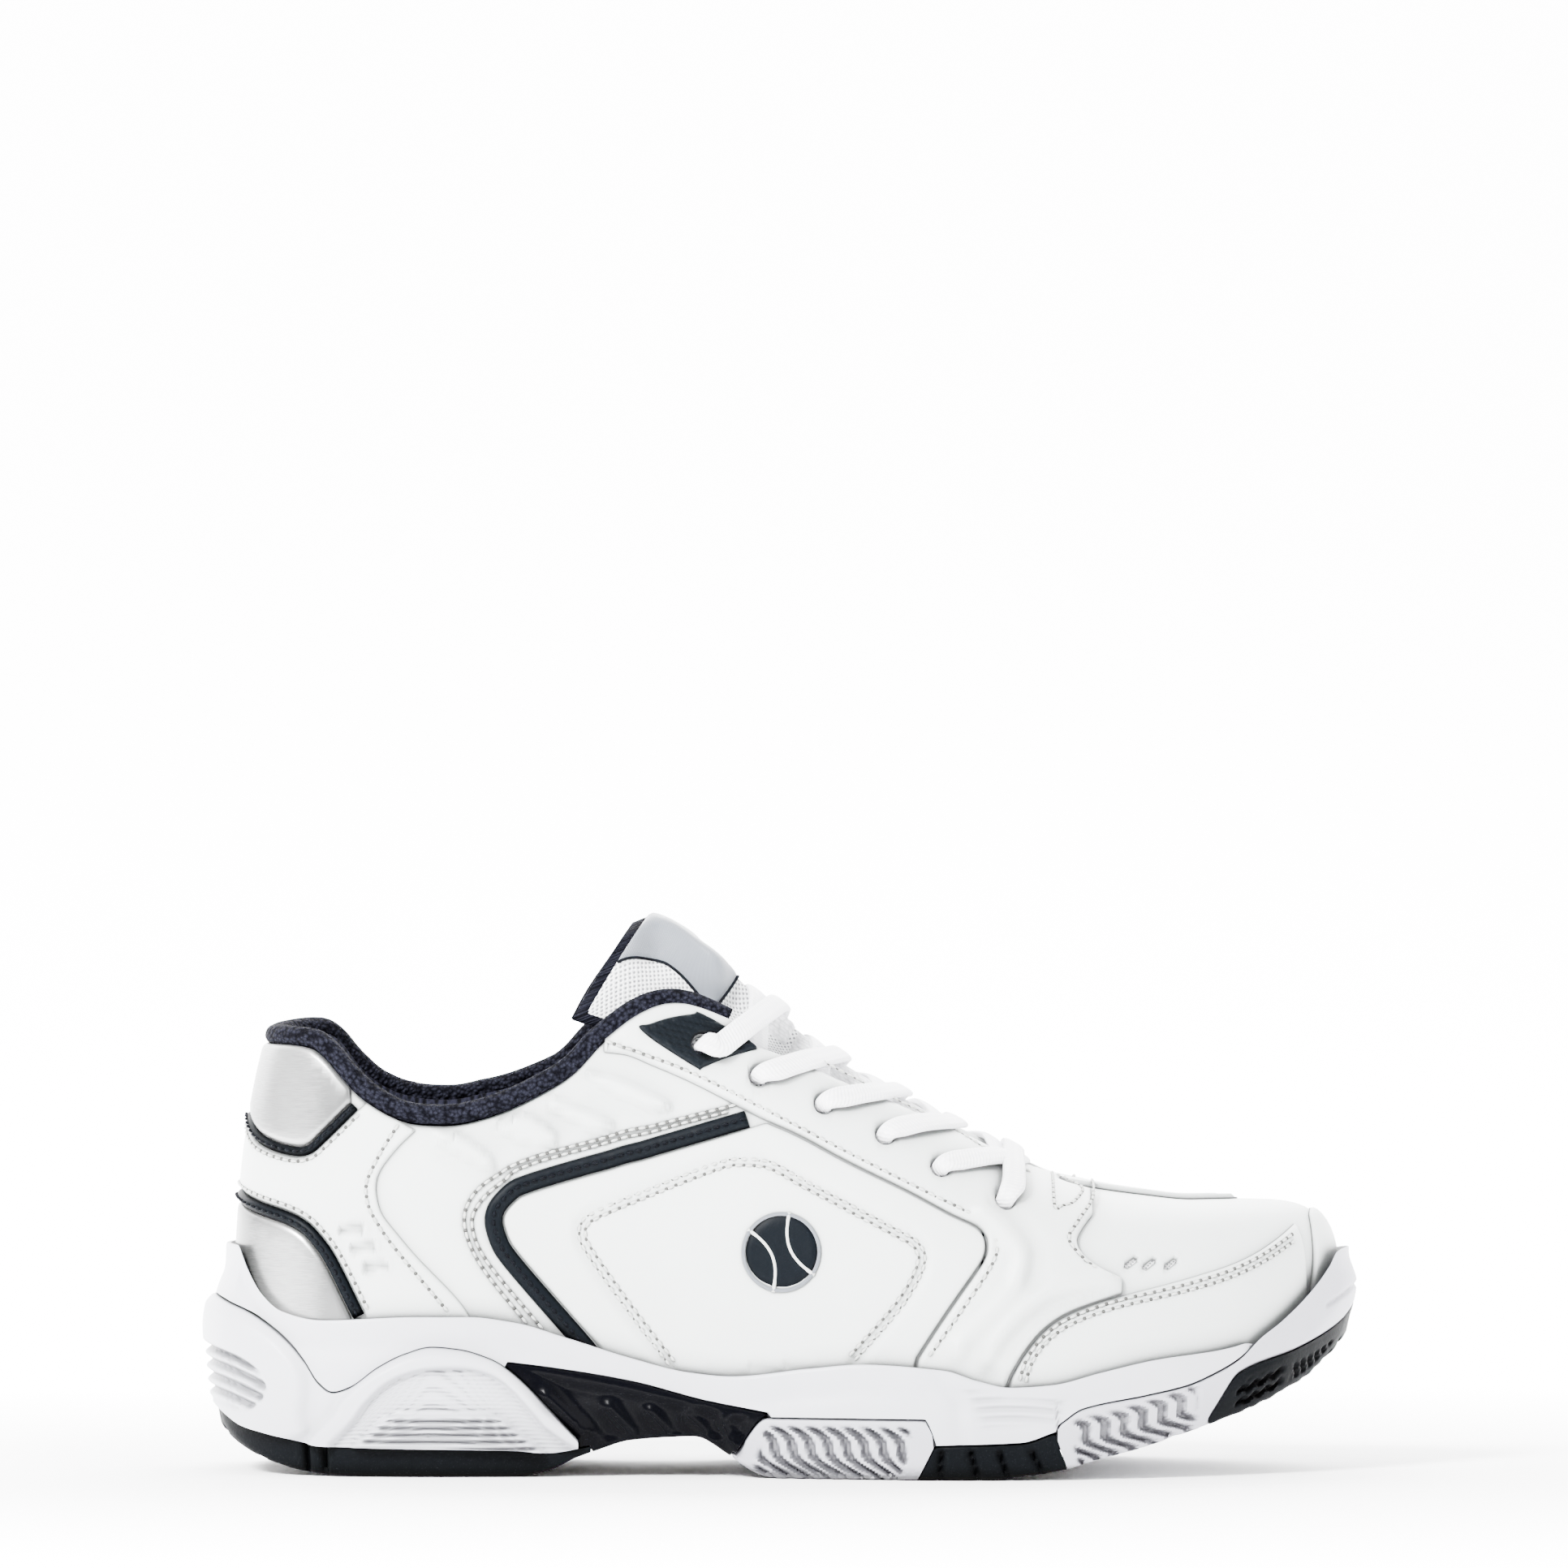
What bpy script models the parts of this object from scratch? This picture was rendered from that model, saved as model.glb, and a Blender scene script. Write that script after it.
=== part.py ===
"""Court shoe, right foot, as an assembly of separate pieces.

Frame: toe +X, lateral side -Y, medial side +Y, up +Z, standing on the floor at
z = 0. All working dimensions are in millimetres and become metres in add_mesh.
"""
import math

import bpy
import numpy as np
from mathutils import Vector
from mathutils.geometry import delaunay_2d_cdt

MM = 0.001

# ---- driving dimensions (mm) ----
SHIFT = (0.1055, 1.1448, 0.0)
UPPER_INSET = 5.2
SHELL = 1.4
OVERLAY = 1.0
GAP = 0.4
BINDING_W = 6.4
BINDING_H = 5.0
LACE_W = 4.8
LACE_T = 2.2
EYELET_R = 3.1
TOE_HINGE_X = 52.0
TOE_HINGE_Z = 19.0
TONGUE_HINGE_X = -8.0
TONGUE_HINGE_Z = 112.0

LATERAL = [(-148.8, 0.0), (-145.5, -17.0), (-135, -29), (-115, -38), (-90, -41), (-60, -40),
           (-30, -41.5), (0, -47), (30, -53), (55, -54.5), (80, -51.5), (105, -43), (125, -30),
           (140, -13)]
MEDIAL = [(148.8, 6.0), (142, 20), (130, 32), (110, 43.5), (85, 50.5), (60, 52), (30, 46),
          (0, 38), (-30, 34.5), (-60, 36), (-90, 39), (-115, 37), (-135, 28.5), (-145.5, 17)]

RIDGE_X = [(-143, -95), (-125, -92), (-100, -83), (-60, -55), (0, 0), (60, 58), (100, 92),
           (125, 108), (145, 117)]
RIDGE_Y = [(-95, 0), (-50, -1), (0, -2), (60, 0), (100, 3), (117, 5)]
RIDGE_Z = [(-95, 152), (-60, 151), (-40, 146), (-32, 140), (-15, 127), (-2, 117), (14.6, 104.5),
           (35.6, 92.5), (48, 85.5), (60, 78.5), (69, 74.5), (78, 72.6), (90, 70.6), (104, 69),
           (117, 69)]
EXPONENT = [(-143, 2.4), (0, 2.4), (90, 2.6), (125, 3.4), (145, 4.2)]
FOOTBED = [(-145, 28), (-100, 26), (-40, 22), (0, 19), (40, 17), (80, 19), (110, 24), (135, 33),
           (146, 36)]
FEATHER = [(-143, 58), (-140, 52), (-135.8, 46), (-129.5, 41.6), (-119, 39.5), (-93.8, 40.5),
           (-81, 40.5), (-68.6, 39), (-56, 35.3), (-39, 30), (-24.5, 26.5), (-14, 25.6),
           (7, 27.9), (20, 29), (40.6, 27.6), (49, 25), (57.4, 23.3), (68, 23.9), (80.5, 26.9),
           (95, 30), (112, 32.1), (120.4, 34.2), (128.8, 38.4), (137.2, 45.8), (142.5, 52.1),
           (144.6, 55.5)]
BOTTOM = [(-148.8, 18), (-145.6, 12), (-138.7, 6.5), (-131, 3), (-122, 0.8), (-112, 0),
          (-68, 0), (-60, 1.4), (-53.7, 4.4), (-48, 6.5), (-39, 9.2), (-23, 10.2), (-14, 5.5),
          (-8, 1.4), (-3, 0), (52, 0), (62, 1.2), (72.6, 3.4), (90, 7.4), (100, 10.5),
          (108.5, 13.2), (120.4, 17.4), (131, 22.3), (137, 26), (144.6, 33.4), (148.8, 39.5)]
LACE_EYELETS = [(-21.3, 109.5), (-6.6, 101.4), (9.8, 94.1), (25.5, 86.1), (39.6, 77.9),
                (56.0, 69.5)]


def hermite(table, x):
    """Monotone cubic through a table of (x, y) pairs, flat outside it."""
    xs = np.array([p[0] for p in table], float)
    ys = np.array([p[1] for p in table], float)
    d = np.diff(ys) / np.diff(xs)
    m = np.zeros_like(ys)
    both = d[:-1] * d[1:] > 0
    m[1:-1] = np.where(both, 2 * d[:-1] * d[1:] / np.where(both, d[:-1] + d[1:], 1), 0)
    m[0], m[-1] = d[0], d[-1]
    x = np.clip(np.asarray(x, float), xs[0], xs[-1])
    i = np.clip(np.searchsorted(xs, x) - 1, 0, len(xs) - 2)
    h = xs[i + 1] - xs[i]
    s = (x - xs[i]) / h
    a = (1 + 2 * s) * (1 - s) ** 2 * ys[i] + s * (1 - s) ** 2 * h * m[i]
    b = s * s * (3 - 2 * s) * ys[i + 1] + s * s * (s - 1) * h * m[i + 1]
    return a + b


def smooth(a, b, x):
    s = np.clip((np.asarray(x, float) - a) / (b - a), 0, 1)
    return s * s * (3 - 2 * s)


class Loop:
    """Closed smooth curve through points; parameter 0..1, 0.5 at a chosen index."""

    def __init__(self, points, half):
        p = np.array(points, float)
        n = len(p)
        d = np.linalg.norm(np.roll(p, -1, 0) - p, axis=1)
        t = np.concatenate([[0], np.cumsum(d)])
        first, last = t[half], t[-1] - t[half]
        t = np.where(t <= first, 0.5 * t / first, 0.5 + 0.5 * (t - first) / last)
        h = np.diff(t)
        a = np.zeros((n, n))
        r = np.zeros((n, 2))
        for i in range(n):
            g, k = h[i - 1], h[i]
            a[i, i - 1] += g
            a[i, i] += 2 * (g + k)
            a[i, (i + 1) % n] += k
            r[i] = 6 * ((p[(i + 1) % n] - p[i]) / k - (p[i] - p[i - 1]) / g)
        self.p, self.t, self.h, self.m = p, t, h, np.linalg.solve(a, r)

    def at(self, t):
        t = np.mod(np.asarray(t, float), 1.0)
        i = np.clip(np.searchsorted(self.t, t, side="right") - 1, 0, len(self.h) - 1)
        j = (i + 1) % len(self.p)
        h = self.h[i][..., None]
        u = (t - self.t[i])[..., None] / h
        w = 1 - u
        a = w * self.p[i] + u * self.p[j]
        b = ((w ** 3 - w) * self.m[i] + (u ** 3 - u) * self.m[j]) * h * h / 6
        return a + b

    def normal(self, t):
        d = self.at(np.asarray(t) + 5e-4) - self.at(np.asarray(t) - 5e-4)
        d /= np.linalg.norm(d, axis=-1, keepdims=True)
        return np.stack([d[..., 1], -d[..., 0]], -1)

    def inset(self, amount, n=72):
        t = np.arange(n) / n
        return Loop(self.at(t) - self.normal(t) * amount(self.at(t)[:, 0])[:, None], n // 2)


SOLE = Loop(LATERAL + MEDIAL, len(LATERAL))
UPPER = SOLE.inset(lambda x: hermite([(-149, 7.4), (-120, 5.6), (-60, UPPER_INSET),
                                      (100, UPPER_INSET), (149, 6.0)], x))


def ridge(x):
    rx = hermite(RIDGE_X, x)
    return np.stack([rx, hermite(RIDGE_Y, rx), hermite(RIDGE_Z, rx)], -1)


def last_point(t, v):
    """Outer face of the upper: t runs round the foot, v from the sole to the ridge."""
    o = UPPER.at(t)
    r = ridge(o[..., 0])
    n = hermite(EXPONENT, o[..., 0])
    c, s = np.cos(v * math.pi / 2), np.sin(v * math.pi / 2)
    k = (np.abs(c) ** n + np.abs(s) ** n) ** (-1 / n)
    a, f = 1 - k * c, k * s
    zb = hermite(FOOTBED, o[..., 0]) + 1.8 + 1.4 * smooth(100, 140, o[..., 0])
    x = o[..., 0] + a * (r[..., 0] - o[..., 0])
    y = o[..., 1] + a * (r[..., 1] - o[..., 1])
    return np.stack([x, y, zb + f * (r[..., 2] - zb)], -1)


def last_normal(t, v):
    e = 2e-3
    v = np.minimum(v, 0.985)
    dt = last_point(t + e, v) - last_point(t - e, v)
    dv = last_point(t, v + e) - last_point(t, v - e)
    n = np.cross(dt, dv)
    return n / np.linalg.norm(n, axis=-1, keepdims=True)


def layer(tv, d):
    return last_point(tv[:, 0], tv[:, 1]) + last_normal(tv[:, 0], tv[:, 1]) * np.asarray(d)[..., None]


def solve(target, fun, start):
    """Newton steps for fun(t, v) = target, both (n, 2)."""
    tv = start.copy()
    e = 1e-4
    for _ in range(14):
        f = fun(tv[:, 0], tv[:, 1])
        a = (fun(tv[:, 0] + e, tv[:, 1]) - f) / e
        b = (fun(tv[:, 0], tv[:, 1] + e) - f) / e
        r = target - f
        det = a[:, 0] * b[:, 1] - a[:, 1] * b[:, 0]
        det = np.where(np.abs(det) < 1e-3, 1e-3, det)
        dt = (r[:, 0] * b[:, 1] - r[:, 1] * b[:, 0]) / det
        dv = (a[:, 0] * r[:, 1] - a[:, 1] * r[:, 0]) / det
        tv[:, 0] += np.clip(dt, -0.03, 0.03)
        tv[:, 1] = np.clip(tv[:, 1] + np.clip(dv, -0.1, 0.1), 0.0, 0.9995)
    return tv


def nearest(target, fun, t0, t1):
    t, v = np.meshgrid(np.linspace(t0, t1, 121), np.linspace(0.01, 0.97, 25))
    t, v = t.ravel(), v.ravel()
    f = fun(t, v)
    i = np.argmin(((target[:, None] - f[None]) ** 2).sum(-1), axis=1)
    return np.stack([t[i], v[i]], -1)


def side(points):
    """(x, z) seen from the lateral side -> (t, v)."""
    p = np.array(points, float)
    fun = lambda t, v: last_point(t, v)[..., [0, 2]]
    return solve(p, fun, nearest(p, fun, 0.0, 0.5))


def plan(points):
    """(x, y) seen from above -> (t, v)."""
    p = np.array(points, float)
    fun = lambda t, v: last_point(t, v)[..., :2]
    return solve(p, fun, nearest(p, fun, 0.0, 1.0))


def mirror(tv):
    """Lateral (t, v) to medial; the medial collar stands a little higher."""
    t, v = tv[:, 0], tv[:, 1]
    up = 0.024 * smooth(0.0, 0.06, t) * (1 - smooth(0.12, 0.19, t)) * smooth(0.25, 0.6, v)
    return np.stack([1 - t, v + up], -1)


def chart(t, v):
    o = UPPER.at(t)
    return o + v[..., None] * (ridge(o[..., 0])[..., :2] - o)


def unchart(q):
    return solve(q, chart, nearest(q, chart, 0.0, 1.0))


def to_chart(tv):
    return chart(tv[:, 0], tv[:, 1])


# ---- mesh helpers ----

def material(name, color, rough=0.6, metal=0.0):
    m = bpy.data.materials.new(name)
    m.use_nodes = True
    b = m.node_tree.nodes["Principled BSDF"]
    b.inputs["Base Color"].default_value = (*color, 1.0)
    b.inputs["Roughness"].default_value = rough
    b.inputs["Metallic"].default_value = metal
    m.diffuse_color = (*color, 1.0)
    return m


def add_mesh(name, verts, faces, look):
    v = (np.array(verts, float) + np.array(SHIFT)) * MM
    f = [tuple(int(i) for i in face) for face in faces]
    volume = 0.0
    for face in f:
        for i in range(1, len(face) - 1):
            volume += np.dot(v[face[0]], np.cross(v[face[i]], v[face[i + 1]]))
    if volume < 0:
        f = [face[::-1] for face in f]
    me = bpy.data.meshes.new(name)
    me.from_pydata(v.tolist(), [], f)
    me.polygons.foreach_set("use_smooth", [True] * len(me.polygons))
    me.materials.append(look)
    me.update()
    ob = bpy.data.objects.new(name, me)
    bpy.context.scene.collection.objects.link(ob)
    return ob


def resample(p, step, closed=True):
    p = np.array(p, float)
    if closed:
        p = np.vstack([p, p[:1]])
    d = np.concatenate([[0], np.cumsum(np.linalg.norm(np.diff(p, axis=0), axis=1))])
    n = max(3, int(round(d[-1] / step)))
    s = np.linspace(0, d[-1], n + 1)
    out = np.stack([np.interp(s, d, p[:, k]) for k in range(p.shape[1])], -1)
    return out[:-1] if closed else out


def rounded(p, closed=True, n=6):
    """Catmull-Rom curve through the points."""
    p = np.array(p, float)
    m = len(p)
    out = []
    for i in range(m if closed else m - 1):
        a, b, c, d = (p[(i + k) % m] if closed else p[min(max(i + k, 0), m - 1)]
                      for k in (-1, 0, 1, 2))
        for s in np.arange(n) / n:
            out.append(0.5 * (2 * b + (c - a) * s + (2 * a - 5 * b + 4 * c - d) * s ** 2
                              + (3 * b - a - 3 * c + d) * s ** 3))
    if not closed:
        out.append(p[-1])
    return np.array(out)


def inside(q, poly):
    x, y = q[:, 0], q[:, 1]
    hit = np.zeros(len(q), bool)
    for i in range(len(poly)):
        (x0, y0), (x1, y1) = poly[i - 1], poly[i]
        cross = (y0 > y) != (y1 > y)
        if y1 != y0:
            hit ^= cross & (x < (x1 - x0) * (y - y0) / (y1 - y0) + x0)
    return hit


def edge_distance(q, poly):
    best = np.full(len(q), 1e9)
    for i in range(len(poly)):
        a, b = poly[i - 1], poly[i]
        ab = b - a
        s = np.clip(((q - a) @ ab) / max(ab @ ab, 1e-12), 0, 1)
        best = np.minimum(best, np.linalg.norm(q - a - s[:, None] * ab, axis=1))
    return best


def triangulate(loops, step, extra=None):
    """Outer loop, hole loops -> points, triangles, boundary edges."""
    outer = loops[0]
    lo, hi = outer.min(0), outer.max(0)
    rows = np.arange(lo[1], hi[1], step * 0.866)
    grid = np.array([(x + (k % 2) * step / 2, y) for k, y in enumerate(rows)
                     for x in np.arange(lo[0], hi[0] + step, step)])
    keep = inside(grid, outer) & (edge_distance(grid, outer) > 0.55 * step)
    for hole in loops[1:]:
        keep &= ~inside(grid, hole) & (edge_distance(grid, hole) > 0.5 * step)
    grid = grid[keep]
    if extra is not None:
        d = np.linalg.norm(grid[:, None] - extra[None], axis=-1).min(1)
        grid = np.vstack([grid[d > 0.5 * step], extra])
    pts, edges, at = [], [], 0
    for loop in loops:
        n = len(loop)
        pts += loop.tolist()
        edges += [(at + i, at + (i + 1) % n) for i in range(n)]
        at += n
    pts += grid.tolist()
    out = delaunay_2d_cdt([Vector(p) for p in pts], edges, [], 0, 1e-6, True)
    co = np.array([tuple(p) for p in out[0]])
    tri = np.array([f for f in out[2] if len(f) == 3])
    c = co[tri].mean(1)
    ok = inside(c, outer)
    for hole in loops[1:]:
        ok &= ~inside(c, hole)
    area = np.cross(co[tri[:, 1]] - co[tri[:, 0]], co[tri[:, 2]] - co[tri[:, 0]])
    tri = tri[ok & (np.abs(area) > 1e-5)]
    area = area[ok & (np.abs(area) > 1e-5)]
    tri[area < 0] = tri[area < 0][:, ::-1]
    used = np.unique(tri)
    back = np.full(len(co), -1)
    back[used] = np.arange(len(used))
    return co[used], back[tri]


def closed_pair(low, high, tri):
    """Two copies of one triangulation joined by side walls."""
    n = len(low)
    edges = {}
    for a, b, c in tri:
        for e in ((a, b), (b, c), (c, a)):
            edges[e] = True
    rim = [e for e in edges if (e[1], e[0]) not in edges]
    faces = [tuple(t + n) for t in tri] + [tuple(t[::-1]) for t in tri]
    for a, b in rim:
        faces.append((a, b, b + n, a + n))
    return np.vstack([low, high]), faces


def upper_plan():
    """One coarse mesh of the whole upper in the chart, shared by every layer."""
    t = np.concatenate([np.arange(0, 9) / 80, 0.1 + np.arange(1, 12) / 30.0])
    t = np.concatenate([t[t < 0.44], [0.44, 0.462, 0.482, 0.5]])
    t = np.concatenate([t, 1 - t[-2:0:-1]])
    v = np.array([0, 0.16, 0.33, 0.5, 0.66, 0.8, 0.91])
    n, m = len(t), len(v)
    tt, vv = np.meshgrid(t, v, indexing="ij")
    pts = to_chart(np.stack([tt.ravel(), vv.ravel()], -1)).tolist()
    edges = []
    for i in range(n):
        for j in range(m):
            a, b = i * m + j, ((i + 1) % n) * m + j
            edges.append((a, b))
            if j < m - 1:
                edges.append((a, a + 1))
    mid = [(x, float(hermite(RIDGE_Y, x))) for x in np.arange(-85, 115, 14.0)]
    out = delaunay_2d_cdt([Vector(p) for p in pts + mid], edges, [], 0, 1e-4, True)
    co = np.array([tuple(p) for p in out[0]])
    tri = np.array([f for f in out[2] if len(f) == 3])
    tri = tri[inside(co[tri].mean(1), to_chart(base_arc(0, 1, 400, 0.0)))]
    return co, tri


def base_arc(t0, t1, n=40, v=0.015):
    t = np.linspace(t0, t1, n)
    return np.stack([t, np.full(n, v)], -1)


BASE_Q, BASE_TRI = upper_plan()
BASE_TV = unchart(BASE_Q)
BASE_P = last_point(BASE_TV[:, 0], BASE_TV[:, 1])
BASE_N = last_normal(BASE_TV[:, 0], BASE_TV[:, 1])
BASE_EDGES = sorted({(min(e), max(e)) for f in BASE_TRI.tolist()
                     for e in ((f[0], f[1]), (f[1], f[2]), (f[2], f[0]))})


def locate(q):
    """Triangle of the shared mesh and barycentric weights for chart points."""
    a, b, c = (BASE_Q[BASE_TRI[:, k]] for k in range(3))
    den = np.cross(b - a, c - a)
    out_i, out_w = np.zeros(len(q), int), np.zeros((len(q), 3))
    for k, p in enumerate(q):
        w1 = np.cross(p - a, c - a) / den
        w2 = np.cross(b - a, p - a) / den
        w = np.stack([1 - w1 - w2, w1, w2], -1)
        i = int(np.argmax(w.min(1)))
        out_i[k], out_w[k] = i, w[i]
    return out_i, out_w


def on_facets(q, d):
    """Points at offset d from the shared faceted surface; d is a number or per vertex."""
    i, w = locate(q)
    corner = BASE_TRI[i]
    depth_at = np.broadcast_to(d, len(BASE_Q))[corner]
    return ((BASE_P[corner] + BASE_N[corner] * depth_at[..., None]) * w[..., None]).sum(1)


def panel(name, outline, d0, d1, look, step=7.0, holes=()):
    """Thin closed sheet on the upper between two offsets; outline in the chart."""
    loops = [resample(outline, step)] + [np.array(h) for h in holes]
    pts, edges, at = BASE_Q.tolist(), list(BASE_EDGES), len(BASE_Q)
    for loop in loops:
        n = len(loop)
        pts += loop.tolist()
        edges += [(at + i, at + (i + 1) % n) for i in range(n)]
        at += n
    out = delaunay_2d_cdt([Vector(p) for p in pts], edges, [], 0, 0.25, True)
    co = np.array([tuple(p) for p in out[0]])
    tri = np.array([f for f in out[2] if len(f) == 3])
    c = co[tri].mean(1)
    ok = inside(c, loops[0])
    for hole in loops[1:]:
        ok &= ~inside(c, hole)
    tri = tri[ok]
    area = np.cross(co[tri[:, 1]] - co[tri[:, 0]], co[tri[:, 2]] - co[tri[:, 0]])
    tri[area < 0] = tri[area < 0][:, ::-1]
    used = np.unique(tri)
    back = np.full(len(co), -1)
    back[used] = np.arange(len(used))
    v, f = closed_pair(on_facets(co[used], d0), on_facets(co[used], d1), back[tri])
    return add_mesh(name, v, f, look)


def frames(path, up):
    tan = np.gradient(path, axis=0)
    tan /= np.linalg.norm(tan, axis=1, keepdims=True)
    b = np.cross(tan, up)
    b /= np.linalg.norm(b, axis=1, keepdims=True)
    return b, np.cross(b, tan)


def sweep(name, path, up, half_w, half_t, look, sides, power):
    """Closed strap of rounded section; half_w across, half_t along up."""
    b, n = frames(path, up)
    ang = np.arange(sides) * 2 * math.pi / sides
    c, s = np.cos(ang), np.sin(ang)
    c = np.sign(c) * np.abs(c) ** (2 / power)
    s = np.sign(s) * np.abs(s) ** (2 / power)
    v = (path[:, None] + b[:, None] * (c * half_w)[None, :, None]
         + n[:, None] * (s * half_t)[None, :, None]).reshape(-1, 3)
    f = []
    for i in range(len(path) - 1):
        for k in range(sides):
            m = (k + 1) % sides
            f.append((i * sides + k, i * sides + m, (i + 1) * sides + m, (i + 1) * sides + k))
    f.append(tuple(range(sides))[::-1])
    f.append(tuple((len(path) - 1) * sides + k for k in range(sides)))
    return add_mesh(name, v, f, look)


# ---- start from an empty scene ----
for ob in list(bpy.data.objects):
    bpy.data.objects.remove(ob, do_unlink=True)

WHITE = material("leather_white", (0.86, 0.88, 0.88), 0.5)
VAMP = material("vamp_leather", (0.86, 0.88, 0.88), 0.45)
SILVER = material("silver_film", (0.62, 0.63, 0.63), 0.35, 0.7)
PIPING = material("dark_piping", (0.03, 0.045, 0.06), 0.45)
KNIT = material("collar_knit", (0.02, 0.02, 0.035), 0.9)
LINING = material("lining_mesh", (0.02, 0.02, 0.035), 0.95)
MESH = material("tongue_mesh", (0.85, 0.86, 0.87), 0.8)
LABEL = material("label_grey", (0.6, 0.63, 0.68), 0.5)
LACE = material("lace_white", (0.88, 0.88, 0.9), 0.85)
EVA = material("midsole_eva", (0.9, 0.9, 0.93), 0.5)
RUBBER_W = material("rubber_white", (0.88, 0.88, 0.92), 0.5)
RUBBER_D = material("rubber_dark", (0.02, 0.03, 0.04), 0.5)
SHANK = material("shank_plastic", (0.006, 0.008, 0.015), 0.15)
BOARD = material("board_fibre", (0.7, 0.66, 0.55), 0.9)
FOAM = material("foam", (0.75, 0.72, 0.6), 0.95)
STIFF = material("stiffener", (0.6, 0.55, 0.45), 0.8)
SOCK = material("sock_fabric", (0.05, 0.05, 0.07), 0.9)
PATCH = material("eyelet_patch", (0.03, 0.045, 0.06), 0.4)

# ---- sole: slabs stacked over one shared plan mesh ----
LIP = 3.0
LIP_IN = 3.6
PLATE = 10.0
CUTS = (-71.0, -52.6, -49.5, -13.4, -4.4, 37.2, 37.6, 69.0, 69.4, 108.8, 112.0)


def wall_shift(x, z, d):
    """Sideways shift of the sole wall with height; negative is inwards."""
    low = hermite(BOTTOM, x)
    top = hermite(FEATHER, x)
    f = np.clip((z - low) / np.maximum(top - low, 1), 0, 1)
    lean = hermite([(-149, 4.4), (-125, 2.2), (-60, 1.6), (110, 1.6), (149, 2.4)], x)
    outer = -2.0 * (1 - f) ** 3 - lean * smooth(0.45, 1.0, f)
    heel = -2.2 * smooth(0.3, 1.0, f) * (1 - smooth(-140, -120, x))
    s = smooth(0, LIP, d)
    return outer * (1 - s) + heel * s * (1 - smooth(LIP_IN, PLATE, d))


def sole_plan():
    t = np.arange(86) / 86
    loops = [SOLE.at(t)]
    for d, n in ((LIP, 82), (LIP_IN, 82), (PLATE, 50)):
        k = np.arange(n) / n
        loops.append(SOLE.at(k) - SOLE.normal(k) * d)
    lo, hi = loops[3].min(0), loops[3].max(0)
    rows = np.arange(lo[1] + 6, hi[1], 13.0)
    grid = np.array([(x + (k % 2) * 7.5, y) for k, y in enumerate(rows)
                     for x in np.arange(lo[0], hi[0], 15.0)])
    grid = grid[inside(grid, loops[3]) & (edge_distance(grid, loops[3]) > 6.0)]
    grid = grid[np.abs(grid[:, :1] - np.array(CUTS)[None]).min(1) > 3.5]
    pts, edges, at = [], [], 0
    for loop in loops:
        n = len(loop)
        pts += loop.tolist()
        edges += [(at + i, at + (i + 1) % n) for i in range(n)]
        at += n
    for cut in CUTS:
        pts += [[cut, -70.0], [cut, 70.0]]
        edges.append((at, at + 1))
        at += 2
    pts += grid.tolist()
    out = delaunay_2d_cdt([Vector(p) for p in pts], edges, [], 0, 1e-5, True)
    co = np.array([tuple(p) for p in out[0]])
    tri = np.array([f for f in out[2] if len(f) == 3])
    tri = tri[inside(co[tri].mean(1), loops[0])]
    area = np.cross(co[tri[:, 1]] - co[tri[:, 0]], co[tri[:, 2]] - co[tri[:, 0]])
    tri[area < 0] = tri[area < 0][:, ::-1]
    return co, tri


def depth(q):
    """Distance inside the sole outline, with the outward normal there."""
    t = np.arange(1440) / 1440
    p = SOLE.at(t)
    i = np.argmin(((q[:, None] - p[None]) ** 2).sum(-1), axis=1)
    n = SOLE.normal(t[i])
    return np.maximum(((p[i] - q) * n).sum(1), 0), n


PLAN_Q, PLAN_TRI = sole_plan()
PLAN_D, PLAN_N = depth(PLAN_Q)


def lift(index, z):
    q, d, n = PLAN_Q[index], PLAN_D[index], PLAN_N[index]
    return np.column_stack([q + n * wall_shift(q[:, 0], z, d)[:, None], z])


def slab(name, x0, x1, lower, upper, look, levels=1, keep=None):
    """Closed slab between two height fields lower(x, d) and upper(x, d)."""
    c = PLAN_Q[PLAN_TRI].mean(1)
    cd = PLAN_D[PLAN_TRI].mean(1)
    pick = (c[:, 0] > x0) & (c[:, 0] < x1)
    if keep is not None:
        pick &= keep(c[:, 0], cd)
    tri = PLAN_TRI[pick]
    used = np.unique(tri)
    back = np.full(len(PLAN_Q), -1)
    back[used] = np.arange(len(used))
    tri = back[tri]
    n = len(used)
    x, d = PLAN_Q[used, 0], PLAN_D[used]
    zl = lower(x, d)
    zu = np.maximum(upper(x, d), zl + 0.7)
    edges = set()
    for a, b, e in tri:
        edges.update([(a, b), (b, e), (e, a)])
    rim = sorted(e for e in edges if (e[1], e[0]) not in edges)
    ring = sorted({a for e in rim for a in e})
    verts = [lift(used, zl)]
    index = [np.arange(n)]
    at = n
    for k in range(1, levels):
        mid = lift(used[ring], (zl + (zu - zl) * k / levels)[ring])
        row = np.full(n, -1)
        row[ring] = np.arange(len(ring)) + at
        verts.append(mid)
        index.append(row)
        at += len(ring)
    verts.append(lift(used, zu))
    index.append(np.arange(n) + at)
    faces = [tuple(f[::-1]) for f in tri] + [tuple(f + at) for f in tri]
    for a, b in rim:
        for k in range(levels):
            i, j = index[k], index[k + 1]
            faces.append((i[a], i[b], j[b], j[a]))
    return add_mesh(name, np.vstack(verts), faces, look)


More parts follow.
